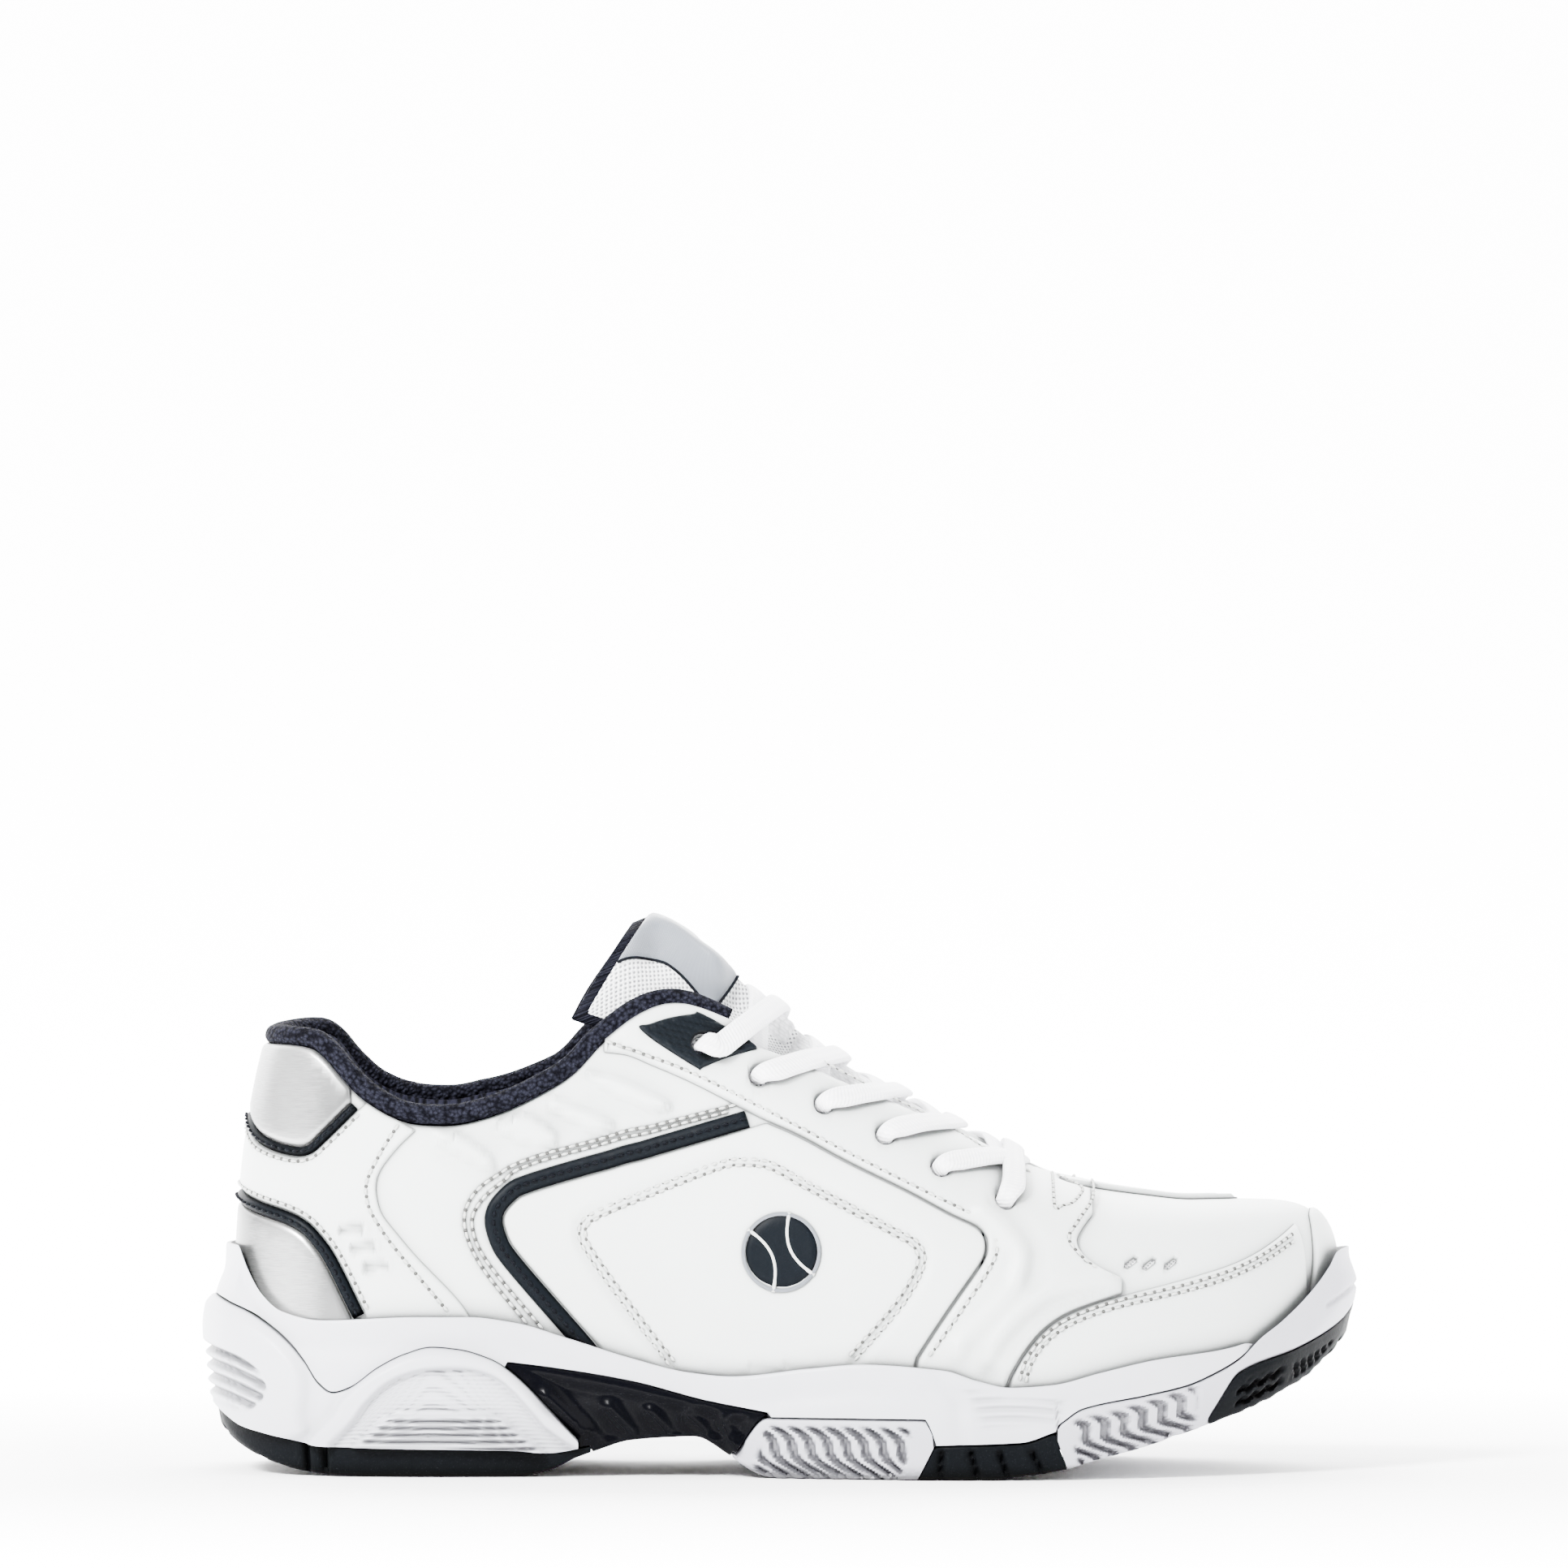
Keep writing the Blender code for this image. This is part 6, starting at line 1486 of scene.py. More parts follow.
def bed_sheet(name, inset, low, high, look, stands, rise=0.0, step=3.0):
    """A sheet lying in the shoe on the footbed, dished up at its edge."""
    loop = UPPER.inset(lambda x: inset + 0 * x)
    q, tri = mesh_loops([even(loop.at(np.arange(400) / 400), 2.4)], step, (1.0,))
    z = hermite(FOOTBED, q[:, 0])
    e = edge_distance(q, loop.at(np.arange(200) / 200))
    z = z + rise * (1 - smooth(0, 9, e)) * (1 - smooth(60, 100, q[:, 0]))
    trim = 0.8 * (1 - smooth(0, 1.2, e))
    v, f = closed_pair(np.column_stack([q, z + low]), np.column_stack([q, z + high - trim]), tri)
    return make(name, v, f, look, "flex", stands, np.vstack([q] * 2))


bed_sheet("lasting_board", 5.6, 1.2, 2.8, BOARD, ["lasting_board"])
sockliner = bed_sheet("sockliner", 5.0, 3.3, 6.8, SOCK, ["sockliner"], 1.6, 2.2)

# ---- tongue ----
TONGUE_X = [76, 68, 60, 52, 44, 36, 28, 20, 12, 4, -4]
TONGUE_SINK = 5.6
TONGUE_CLEAR = 8.6
TONGUE_COLS = 9
TONGUE_TOP = [(-10, 124.3), (-16, 130.2), (-22, 135.6), (-28, 140.1), (-34, 143.0)]
CLOUD_TV = np.stack([a.ravel() for a in np.meshgrid(np.arange(240) / 240,
                                                    np.linspace(0.3, 0.985, 70))], -1)
CLOUD = on(CLOUD_TV)
CLOUD_N = normal_on(CLOUD_TV)
CLOUD_ON = CLOUD_TV[:, 1] < rim_v(CLOUD_TV[:, 0]) + 0.04


def push_in(p, clear):
    """Move points inwards until they clear the collar wall by a given depth."""
    pts, nrm = CLOUD[CLOUD_ON], CLOUD_N[CLOUD_ON]
    out = p.copy()
    for k, q in enumerate(p):
        d = ((pts - q) ** 2).sum(1)
        i = int(np.argmin(d))
        gap = float((q - pts[i]) @ nrm[i])
        if d[i] < 14 ** 2 and gap > -clear:
            out[k] = q - nrm[i] * (gap + clear)
    return out


def tongue_rows(cols):
    """Rows of points over the tongue, from under the vamp to its top edge."""
    w = np.linspace(-1, 1, cols)
    rows = []
    for x in TONGUE_X:
        half = float(hermite([(-4, 25), (20, 25), (60, 20), (76, 15)], x))
        y = hermite(RIDGE_Y, x) + w * half
        tv = plan(np.column_stack([np.full(cols, float(x)), y]))
        hw = float(half_throat(x, -1))
        front = smooth(62, 67, x)
        sink = smooth(0.22 * hw, 0.68 * hw, np.abs(w * half)) * (1 - front) + front
        rows.append(layer(tv, -TONGUE_SINK * sink - 0.2))
    for k, (x, z) in enumerate(TONGUE_TOP):
        f = (k + 1) / len(TONGUE_TOP)
        tangent = np.array([-0.8 - 0.1 * f, 0.0, 0.6 - 0.25 * f])
        inward = np.array([-tangent[2], 0.0, tangent[0]]) / np.linalg.norm(tangent)
        half = 25 - 3.0 * f
        low_w = np.interp(np.abs(w), [0, 0.25, 0.5, 0.75, 1], [0, 0.8, 6.5, 12.0, 18.0])
        fall = (1 - f) * low_w + f * 25 * np.abs(w) ** 2.2
        row = np.array([[x, -2.0 + f + wi * half, z] for wi in w])
        row += inward[None] * fall[:, None]
        rows.append(row)
    return rows


def refine(g, n, axis):
    """Catmull-Rom subdivision of a grid of points along one axis."""
    g = np.moveaxis(g, axis, 0)
    m = len(g)
    out = []
    for i in range(m - 1):
        a, b, c, d = g[max(i - 1, 0)], g[i], g[i + 1], g[min(i + 2, m - 1)]
        out += [catmull_rom(a, b, c, d, s) for s in np.arange(n) / n]
    out.append(g[-1])
    return np.moveaxis(np.array(out), 0, axis)


grid = np.array(tongue_rows(TONGUE_COLS))
flat = grid.reshape(-1, 3)
behind = flat[:, 0] < 6
flat[behind] = push_in(flat[behind], TONGUE_CLEAR)
grid = flat.reshape(grid.shape)
lean_w = np.abs(np.linspace(-1, 1, TONGUE_COLS))
lean_r = smooth(8.5, 15, np.arange(len(grid)))
grid[..., 0] -= lean_r[:, None] * (1.0 + 6.5 * lean_w ** 2.2)[None]
nrm = np.cross(np.gradient(grid, axis=1), np.gradient(grid, axis=0))
nrm = unit(nrm)
if nrm[3, 4, 2] < 0:
    nrm = -nrm
for _ in range(7):
    nrm[:, 1:-1] = nrm[:, :-2] + nrm[:, 1:-1] + nrm[:, 2:]
    nrm[1:-1] = nrm[:-2] + nrm[1:-1] + nrm[2:]
    nrm = unit(nrm)
nrm = 0.6 * nrm[:, 4:5] + 0.4 * nrm
nrm = unit(nrm)
FINE_R, FINE_C = 6, 6
grid_f = refine(refine(grid, FINE_R, 0), FINE_C, 1)
nrm_f = refine(refine(nrm, FINE_R, 0), FINE_C, 1)
nrm_f = unit(nrm_f)
RF, CF = grid_f.shape[:2]
row_at = np.arange(RF) / FINE_R
col_w = np.linspace(-1, 1, CF)
thick = np.interp(row_at, [0, 3, 12, 15], [2.0, 3.6, 4.2, 3.8])
thick = thick[:, None] * (1 - 0.45 * np.abs(col_w) ** 3)[None]


def grid_piece(name, low, high, look, moves, stands=()):
    r, c = low.shape[:2]
    i = np.arange(r - 1)[:, None] * c
    j = np.arange(c - 1)[None]
    a = (i + j).ravel()
    tri = np.vstack([np.stack([a, a + 1, a + c + 1], -1), np.stack([a, a + c + 1, a + c], -1)])
    v, f = closed_pair(low.reshape(-1, 3), high.reshape(-1, 3), tri)
    du = length_along(high[:, c // 2])
    dv = length_along(high[r // 2])
    uv = np.stack(np.meshgrid(du, dv, indexing="ij"), -1).reshape(-1, 2)
    return make(name, v, f, look, moves, stands, np.vstack([uv] * 2))


def soft_edge(rows, cols, w_rows, w_cols):
    """1 in the middle of a grid, falling to 0 on its borders."""
    r = np.minimum(np.arange(rows), np.arange(rows)[::-1])[:, None] / w_rows
    c = np.minimum(np.arange(cols), np.arange(cols)[::-1])[None] / w_cols
    f = np.clip(np.minimum(r, 1), 0, 1) * np.clip(np.minimum(c, 1), 0, 1)
    return np.sqrt(1 - (1 - np.clip(f, 0, 1)) ** 2)


HINGE_ROW = 9 * FINE_R
puff = soft_edge(RF, CF, 5, 5)
top_f = grid_f + nrm_f * (0.9 * puff - 0.7)[..., None]
low_f = grid_f - nrm_f * (thick * (0.35 + 0.65 * puff))[..., None]
tongue_front = grid_piece("tongue_front", low_f[:HINGE_ROW + 1], top_f[:HINGE_ROW + 1],
                          PAD_KNIT, "flex")
tongue_top = grid_piece("tongue_top", low_f[HINGE_ROW:], top_f[HINGE_ROW:], MESH,
                        "tilt", ["tongue_padding"])
back_thick = np.interp(row_at, [4, 8, 10, 12, 15], [0.9, 1.2, 4.6, 7.0, 5.0])
B0 = 4 * FINE_R
back_hi = grid_f - nrm_f * (thick * (0.35 + 0.65 * puff) - 0.25)[..., None]
bulge = 0.72 + 0.28 * soft_edge(RF, CF, 4, 5)
bulge = bulge * (1 + 0.13 * np.cos(2 * math.pi * (row_at - 12.1) / 2.6))[:, None]
rear = np.array([-1.0, 0.0, -0.1]) * smooth(8, 11, row_at)[:, None, None]
back_dir = -nrm_f * (1 - 0.55 * smooth(8, 11, row_at))[:, None, None] + rear * 0.9
back_dir = unit(back_dir)
back_lo = back_hi + back_dir * (back_thick[:, None] * bulge)[..., None]
tongue_back_front = grid_piece("tongue_lining_front", back_lo[B0:HINGE_ROW + 1],
                               back_hi[B0:HINGE_ROW + 1], KNIT, "flex")
tongue_back = grid_piece("tongue_lining", back_lo[HINGE_ROW:], back_hi[HINGE_ROW:], KNIT,
                         "tilt", ["tongue_lining"])

# label wrapped over the front of the tongue's top, with dark edging
LAB_ROWS, LAB_COLS = 26, 41


def on_tongue(r, w, d):
    """Point on the tongue at row r and cross position w, raised by d."""
    i = np.clip(r * FINE_R, 0, RF - 1.001)
    j = np.clip((w + 1) / 2 * (CF - 1), 0, CF - 1.001)
    i0, j0 = i.astype(int), j.astype(int)
    fi, fj = (i - i0)[..., None], (j - j0)[..., None]

    def pick(g):
        return ((1 - fi) * (1 - fj) * g[i0, j0] + fi * (1 - fj) * g[i0 + 1, j0]
                + (1 - fi) * fj * g[i0, j0 + 1] + fi * fj * g[i0 + 1, j0 + 1])
    m = pick(nrm_f)
    return pick(top_f) + m / np.linalg.norm(m, axis=-1, keepdims=True) * d


def label_half(r):
    return 0.49 + 0.19 * smooth(13.4, 15.3, r) - 0.025 * np.sin((r - 11.3) * 1.1)


rr = np.broadcast_to(11.35 + 3.65 * np.linspace(0, 1, LAB_ROWS)[:, None], (LAB_ROWS, LAB_COLS))
ww = label_half(rr) * np.linspace(-1, 1, LAB_COLS)[None]
edge_f = soft_edge(LAB_ROWS, LAB_COLS, 2, 2)[..., None]
grid_piece("tongue_label", on_tongue(rr, ww, 0.15), on_tongue(rr, ww, 0.35 + 0.55 * edge_f), LABEL,
           "tilt", ["tongue_label"])
side_r = np.linspace(14.98, 11.4, 40)
low_w = np.linspace(-1, 1, 30) * label_half(11.35)
edge_r = np.concatenate([side_r, np.full(30, 11.33), side_r[::-1]])
edge_w = np.concatenate([-label_half(side_r) - 0.012, low_w, label_half(side_r[::-1]) + 0.012])
pipe_p = on_tongue(edge_r, edge_w, 0.45)
pipe_n = on_tongue(edge_r, edge_w, 1.45) - pipe_p
v, f, uv = tube(pipe_p, pipe_n, 0.42, 0.4, 8)
make("label_edging", v, f, THREAD_D, "tilt", [], uv)

# keeper loop on the tongue under the laces
kr, kw = np.meshgrid(np.linspace(9.15, 9.95, 9), np.linspace(-0.26, 0.26, 21), indexing="ij")
ke = soft_edge(9, 21, 2, 2)[..., None]
grid_piece("lace_keeper", on_tongue(kr, kw, 0.1), on_tongue(kr, kw, 0.2 + 0.8 * ke), PAD_KNIT,
           "tilt", ["lace_keeper"])

# ---- lace: one cord on its real route ----
# heights of the lace's middle over the upper's face
FACING_H, UNDER = 1.4, -3.3
LACE_HALF, FIRST_EXTRA = 1.6, 1.1
BAR_X = 57.5


def corner(p0, p1, p2):
    """Two short chords instead of a sharp corner at p1."""
    a, c = (p1 + (p - p1) / np.linalg.norm(p - p1) * min(2.3, np.linalg.norm(p - p1) * 0.49)
            for p in (p0, p2))
    u = np.linspace(0, 1, 3)[:, None]
    return (1 - u) ** 2 * a + 2 * u * (1 - u) * p1 + u * u * c


def crossing(k, sgn, high):
    """Strand from under the edge beside eyelet k + 1 to the top of eyelet k opposite."""
    low_e, high_e = LACE_TV[(k + 1, -sgn)], LACE_TV[(k, sgn)]
    p0 = last_point(low_e[:1], low_e[1:])[0]
    p1 = last_point(high_e[:1], high_e[1:])[0]
    hw0 = float(half_throat(p0[0], -sgn))
    hw1 = float(half_throat(p1[0], sgn))
    mid = (1.9 if high else 0.1) + (1.0 if k == 0 else 0.0)
    more = 1.0 if k == 0 else 0.0
    reach = abs(p1[1] - float(hermite(RIDGE_Y, p1[0])))
    ys = [hw0 + 1.5, hw0 - 2.5, 5.0, 0.0, -5.0, -hw1 + 2.0, -hw1 - 2.0, -(hw1 + 2.0 + reach) / 2]
    ds = [UNDER, -2.7, mid - 0.2, mid, mid + (0.0 if high else 0.5), 2.3 + more / 2,
          FACING_H + 1.3 + more, FACING_H + LACE_HALF + more]
    ys, ds = np.array(ys), np.array(ds)
    span = hw0 + 1.5 + reach
    u = 1 - (hw0 + 1.5 - ys) / span
    ahead = 6.5 if sgn < 0 else 1.5
    for _ in range(3):
        x = p1[0] + (p0[0] - p1[0]) * (1 - (1 - u) ** 2) + ahead * np.sin(math.pi * u)
        q = plan(np.stack([x, hermite(RIDGE_Y, x) - sgn * ys], -1))
        pts = layer(q, ds)
        s = length_along(np.vstack([p1[None], pts[::-1]]))[1:][::-1]
        u = s / s[0]
    return list(pts)


LACE_TV = {(k, s): row[k] for k in range(6) for s, row in ((-1, eyelets), (1, eyelets_med))}


def at_eyelet(k, sgn, d):
    """The eyelet's centre at height d; sgn is -1 lateral, 1 medial."""
    return layer(LACE_TV[(k, sgn)][None], d)[0]


def top_of(k):
    return FACING_H + LACE_HALF + (FIRST_EXTRA if k == 0 else 0.0)


def strand(sgn, first_high):
    """From the bottom bar's end on one side up to the top eyelet, tucked inside."""
    pts = []
    side_now = sgn
    for k in range(4, -1, -1):
        pts += [at_eyelet(k + 1, side_now, UNDER)]
        pts += crossing(k, -side_now, (k + (1 if first_high else 0)) % 2 == 0)
        side_now = -side_now
        pts += [at_eyelet(k, side_now, top_of(k))]
    e = LACE_TV[(0, side_now)]
    pts += [at_eyelet(0, side_now, UNDER)]
    return pts + [layer(np.array([[e[0], e[1] - 0.034]]), np.array([-3.4]))[0]]


# the lowest bar, straight across between the last two eyelets
rail = []
p_l, p_m = (at_eyelet(5, s, FACING_H + LACE_HALF) for s in (-1, 1))
bar_mid = float(hermite(RIDGE_Y, BAR_X))
y_l, y_m = p_l[1] - bar_mid, p_m[1] - bar_mid
edge_h, step_h = FACING_H + 1.9, FACING_H + 1.8
for y, d in ((y_l * 0.84, edge_h), (y_l * 0.66, edge_h), (-12, step_h), (-6, 3.5), (0, 3.4),
             (6, 3.5), (12, step_h), (y_m * 0.66, edge_h), (y_m * 0.84, edge_h)):
    rail.append(layer(plan([(BAR_X, bar_mid + y)]), d)[0])
route = strand(-1, True)[::-1] + [p_l] + rail + [p_m] + strand(1, False)
path = [route[0]]
for a, b, c in zip(route[:-2], route[1:-1], route[2:]):
    bend = (b - a) @ (c - b) / np.linalg.norm(b - a) / np.linalg.norm(c - b)
    path += [b] if bend > 0.93 else list(corner(a, b, c))
path.append(route[-1])
path = np.array(path)
path = path[np.concatenate([[True], np.linalg.norm(np.diff(path, axis=0), axis=1) > 0.15])]
path = even(rounded(path, closed=False, n=6), 0.8, closed=False)
for _ in range(3):
    path[1:-1] = 0.25 * path[:-2] + 0.5 * path[1:-1] + 0.25 * path[2:]
tan = np.gradient(path, axis=0)
tan = unit(tan)
tree = KDTree(len(CLOUD))
for i, c in enumerate(CLOUD):
    tree.insert(c, i)
tree.balance()
face_n = np.array([CLOUD_N[tree.find(p)[1]] for p in path])
across = np.cross(face_n, tan)
weight = np.linalg.norm(across, axis=1)
good = np.flatnonzero(weight >= 0.75)
for i in good[1:]:
    prev = good[good < i].max()
    if across[i] @ across[prev] < 0:
        across[i] *= -1
fill = across.copy()
for i in np.flatnonzero(weight < 0.75):
    a = good[good < i].max() if (good < i).any() else good.min()
    b = good[good > i].min() if (good > i).any() else good.max()
    f = (i - a) / max(b - a, 1)
    fill[i] = (1 - f) * across[a] + f * across[b]
across = fill
for _ in range(6):
    across[1:-1] = 0.25 * across[:-2] + 0.5 * across[1:-1] + 0.25 * across[2:]
across -= tan * (across * tan).sum(1, keepdims=True)
across = unit(across)
up = np.cross(across, tan)
holes_at = np.array([at_eyelet(k, s, 0.0) for k in range(6) for s in (-1, 1)])
to_hole = np.min(np.linalg.norm(path[:, None] - holes_at[None], axis=-1), axis=1)
half_w = 2.35 + 0.85 * smooth(1.0, 6.0, to_hole)
half_t = 1.25 - 0.25 * smooth(2, 9, to_hole)
v, f, uv = tube(path, up, half_w, half_t, 14, 2.5)
make("lace", v, f, LACE, "flex", ["lace"], uv)

# ---- stitching ----
THREAD_SETS = {}


THREAD_R, THREAD_SIDES, THREAD_RINGS, NEEDLE_R = 0.37, 6, 5, 0.5


def stitch(key, tv, d, length=1.75, gap=0.85, relief=no_relief):
    """A row of separate thread stitches along a surface curve, with a small dark disc of painted
    shade at the needle hole between.
    """
    sides, rings = THREAD_SIDES, THREAD_RINGS
    tv = surface_path(tv, 0.25)
    p = on(tv)
    s = length_along(p)
    pitch = length + gap
    count = int(s[-1] / pitch)
    if count < 1:
        return
    start = (np.arange(count) + 0.5) * s[-1] / count - length / 2
    u = np.linspace(0, 1, rings)
    at = start[:, None] + u[None] * length
    pos = np.stack([np.interp(at, s, tv[:, k]) for k in (0, 1)], -1).reshape(-1, 2)
    n = normal_on(pos).reshape(count, rings, 3)
    c = on(pos).reshape(count, rings, 3)
    high = relief(c.reshape(-1, 3)).reshape(count, rings)
    c = c + n * (d - 0.12 + 0.34 * np.sin(math.pi * u) + high)[..., None]
    tan = np.gradient(c, axis=1)
    tan = unit(tan)
    b = np.cross(n, tan)
    ang = np.arange(sides) * 2 * math.pi / sides
    r = THREAD_R * (0.45 + 0.55 * np.sin(math.pi * np.clip(u, 0.12, 0.88)))[None, :, None, None]
    ring = (c[:, :, None] + b[:, :, None] * np.cos(ang)[None, None, :, None] * r
            + n[:, :, None] * np.sin(ang)[None, None, :, None] * r)
    base = np.arange(count)[:, None, None] * rings * sides
    i = np.arange(rings - 1)[None, :, None] * sides
    k = np.arange(sides)[None, None]
    m = (k + 1) % sides
    quads = np.stack([base + i + k, base + i + m, base + i + sides + m, base + i + sides + k], -1)
    one = np.arange(count)[:, None] * rings * sides
    caps = np.vstack([one + np.arange(sides)[::-1][None],
                      one + (rings - 1) * sides + np.arange(sides)[None]])
    THREAD_SETS.setdefault(key, []).append((ring.reshape(-1, 3), quads.reshape(-1, 4), caps))
    # painted shade: a dark disc at each needle hole, standing in for the shade inside it
    mid = start + length + (s[-1] / count - length) / 2
    mid = mid[mid < s[-1]]
    pos = np.stack([np.interp(mid, s, tv[:, k]) for k in (0, 1)], -1)
    n = normal_on(pos)
    c = on(pos)
    c = c + n * (d + 0.02 + relief(c))[:, None]
    t = np.cross(n, np.array([0.0, 1.0, 0.2]))
    t = unit(t)
    b = np.cross(n, t)
    k8 = np.arange(8) * math.pi / 4
    ring = (c[:, None] + (t[:, None] * np.cos(k8)[None, :, None]
                          + b[:, None] * np.sin(k8)[None, :, None]) * NEEDLE_R)
    v = np.concatenate([ring, (c + n * 0.10)[:, None], (c - n * 0.10)[:, None]], 1)
    base = np.arange(len(c))[:, None] * 10
    a, e = np.arange(8)[None], (np.arange(8)[None] + 1) % 8
    tris = np.concatenate([np.stack([base + a, base + e, base + 8 + 0 * a], -1),
                           np.stack([base + e, base + a, base + 9 + 0 * a], -1)], 1)
    dark = "holes_" + key
    THREAD_SETS.setdefault(dark, []).append((v.reshape(-1, 3), np.zeros((0, 4), int),
                                             tris.reshape(-1, 3)))


def merge_threads(key, name, look, moves):
    """One piece of all the rows that were sewn under this key."""
    verts, faces, at = [], [], 0
    for v, quads, caps in THREAD_SETS[key]:
        verts.append(v)
        faces += (quads + at).tolist() + (caps + at).tolist()
        at += len(v)
    return make(name, np.vstack(verts), faces, look, moves)


# height of a row over the base layer, an overlay, the saddle panel and the facing
ON_BASE, ON_OVERLAY, ON_SADDLE, ON_FACING = 0.12, TOP + 0.02, TOP - 0.18, TOP + 0.37
DARK_ROW = {"length": 1.5, "gap": 0.8}
for tag, turn in SIDES:
    w = "white_" + tag
    for line in (OUTER_LINE, OUTER_LINE_2):
        stitch(w, turn(side(curve_xz(line))), ON_BASE)
    saddle_line = surface_path(side(curve_xz(SADDLE_LINE)))
    for line in (saddle_line, offset_curve(saddle_line, -1.7)):
        stitch(w, turn(line), ON_SADDLE, relief=saddle_relief)
    stitch(w, turn(side(curve_xz(FACING_LINE))), TOP + 0.12)
    stitch(w, turn(side(curve_xz(THROAT_LINE))), TOP + 0.35)
    stitch(w, turn(side(curve_xz(SEAM_LINE))), ON_OVERLAY)
    stitch("dark_" + tag, turn(stripe_l), TOP + 0.12, **DARK_ROW)
    toe_row = side(TOE_ROW)
    stitch(w, turn(toe_row), ON_OVERLAY)
    stitch(w, turn(offset_curve(surface_path(toe_row), -1.6)), ON_OVERLAY)
    stitch(w, turn(side(TIP_ROW)), ON_FACING)
stitch("white_lateral", side(BAR_TACK), ON_FACING)
stitch("heel", offset_curve(surface_path(pipe_hi), -2.5), ON_OVERLAY)
stitch("heel", offset_curve(surface_path(pipe_lo), 3.2), ON_OVERLAY)
stitch("heel_dark", surface_path(pipe_lo), ON_FACING, **DARK_ROW)
stitch("heel_dark", surface_path(pipe_hi), ON_FACING, **DARK_ROW)
for tag, turn in SIDES:
    merge_threads("white_" + tag, "stitching_" + tag, SHADED_THREAD, "flex")
    merge_threads("holes_white_" + tag, "needle_holes_" + tag, HOLE_SHADE, "flex")
    merge_threads("dark_" + tag, "stitching_dark_" + tag, THREAD_D, "rearfoot")
merge_threads("heel", "stitching_heel", SHADED_THREAD, "rearfoot")
merge_threads("holes_heel", "needle_holes_heel", HOLE_SHADE, "rearfoot")
merge_threads("heel_dark", "stitching_heel_dark", THREAD_D, "rearfoot")

# ---- plain ball mark printed on each saddle panel ----
for tag, turn in SIDES:
    middle = [BALL_X, BALL_Z]
    a = np.arange(48) * 2 * math.pi / 48
    face = turn(side(np.column_stack([np.cos(a), np.sin(a)]) * BALL_R + middle))
    panel("ball_mark_" + tag, face, TOP + 0.02, TOP + 0.30, PIPING, "rearfoot", [],
          0.9, relief=saddle_relief, edge=0.15, rings=(0.3,))
    a = np.append(a, 0)
    seams = [np.column_stack([np.cos(a), np.sin(a)]) * (BALL_R + 0.15) + middle]
    for s in (-1, 1):
        t = np.linspace(-0.92, 0.92, 24)
        seams.append(np.column_stack([s * (0.78 - 0.52 * np.cos(1.35 * t)), t]) * BALL_R * 0.98
                     @ np.array([[0.92, 0.38], [-0.38, 0.92]]) + middle)
    for k, line in enumerate(seams):
        line_tv = turn(side(line))
        lp, ln = on(line_tv), normal_on(line_tv)
        lp = lp + ln * (TOP + 0.22 + saddle_relief(lp))[:, None]
        v, f, uv = tube(lp, ln, 0.45, 0.16, 8)
        make(f"ball_mark_{tag}_line_{k + 1}", v, f, LABEL if k == 0 else SHADED_THREAD,
             "rearfoot", [], uv)

# ---- CAD nodes that stay as they are get their finish here ----
for node in ("heel_counter", "toe_puff"):
    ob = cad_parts[node]
    ob.data.materials.clear()
    ob.data.materials.append(STIFF)

# ---- floor, backdrop and light ----
SKY_LOW, SKY_HIGH = 0.4, 2.6
floor_mat = bpy.data.materials.new("studio_floor")
floor_mat.use_nodes = True
fb = floor_mat.node_tree.nodes["Principled BSDF"]
fb.inputs["Base Color"].default_value = (0.96, 0.96, 0.96, 1)
fb.inputs["Roughness"].default_value = 0.9
fb.inputs["Specular IOR Level"].default_value = 0.1
ft = floor_mat.node_tree
fc = ft.nodes.new("ShaderNodeTexCoord")
fm = ft.nodes.new("ShaderNodeMapping")
fm.inputs["Scale"].default_value = (0.62, 1.0, 0.35)
fl = ft.nodes.new("ShaderNodeVectorMath")
fl.operation = "LENGTH"
glow = ft.nodes.new("ShaderNodeMapRange")
glow.inputs["From Min"].default_value = 0.10
glow.inputs["From Max"].default_value = 0.42
glow.inputs["To Max"].default_value = 9.0
ft.links.new(fc.outputs["Object"], fm.inputs["Vector"])
ft.links.new(fm.outputs["Vector"], fl.inputs[0])
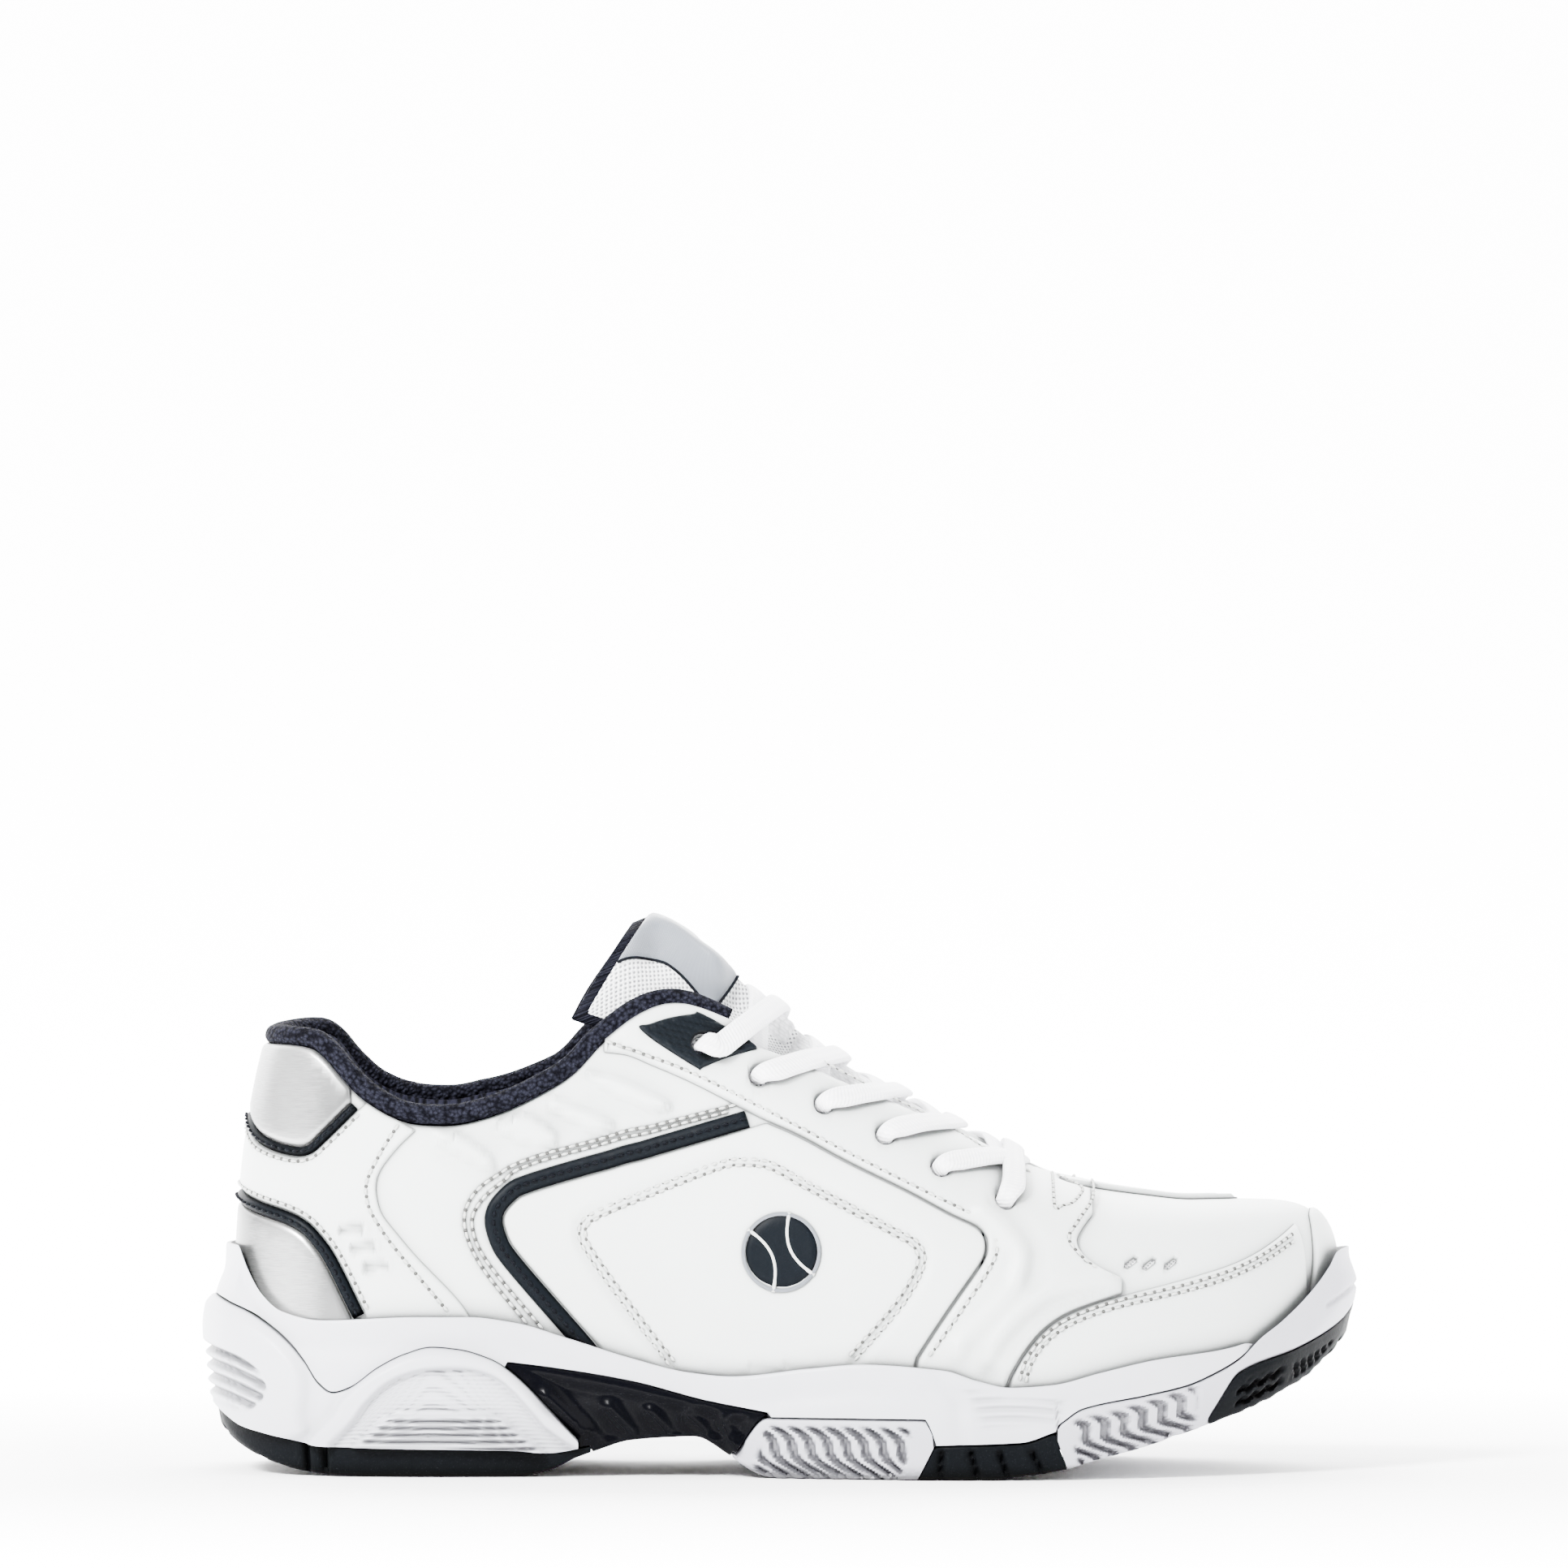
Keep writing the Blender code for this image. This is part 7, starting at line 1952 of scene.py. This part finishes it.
ft.links.new(fl.outputs["Value"], glow.inputs["Value"])
fb.inputs["Emission Color"].default_value = (1, 1, 1, 1)
ft.links.new(glow.outputs["Result"], fb.inputs["Emission Strength"])
profile = [(-6.0, 0.0), (1.5, 0.0)] + [(1.5 + 1.5 * math.sin(a), 1.5 - 1.5 * math.cos(a))
                                        for a in np.linspace(0.1, math.pi / 2, 14)] + [(3.0, 6.0)]
verts = [(x, y, z - 0.0003) for y, z in profile for x in (-7.0, 7.0)]
faces = [(2 * i, 2 * i + 1, 2 * i + 3, 2 * i + 2) for i in range(len(profile) - 1)]
floor_mesh = bpy.data.meshes.new("studio_floor")
floor_mesh.from_pydata(verts, [], faces)
floor_mesh.polygons.foreach_set("use_smooth", [True] * len(faces))
floor_mesh.materials.append(floor_mat)
floor = bpy.data.objects.new("studio_floor", floor_mesh)
bpy.context.scene.collection.objects.link(floor)

world = bpy.data.worlds.new("studio")
world.use_nodes = True
wt = world.node_tree
wc = wt.nodes.new("ShaderNodeTexCoord")
split = wt.nodes.new("ShaderNodeSeparateXYZ")
wt.links.new(wc.outputs["Generated"], split.inputs[0])
up_light = wt.nodes.new("ShaderNodeMapRange")
up_light.inputs["To Min"].default_value = SKY_LOW
up_light.inputs["To Max"].default_value = SKY_HIGH
wt.links.new(split.outputs["Z"], up_light.inputs["Value"])
wt.links.new(up_light.outputs[0], wt.nodes["Background"].inputs["Strength"])
wt.nodes["Background"].inputs["Color"].default_value = (1, 1, 1, 1)
bpy.context.scene.world = world


def area(name, place, aim, size, power):
    data = bpy.data.lights.new(name, "AREA")
    data.energy = power
    data.size = size
    ob = bpy.data.objects.new(name, data)
    ob.location = place
    ob.rotation_euler = (Vector(aim) - Vector(place)).to_track_quat("-Z", "Y").to_euler()
    bpy.context.scene.collection.objects.link(ob)


area("key", (-1.0, -1.15, 1.3), (0, 0, 0.05), 0.45, 210)
area("fill", (1.2, -1.1, 0.9), (0, 0, 0.06), 0.9, 14)
area("back", (0.2, 1.2, 1.4), (0, 0, 0.08), 1.4, 60)
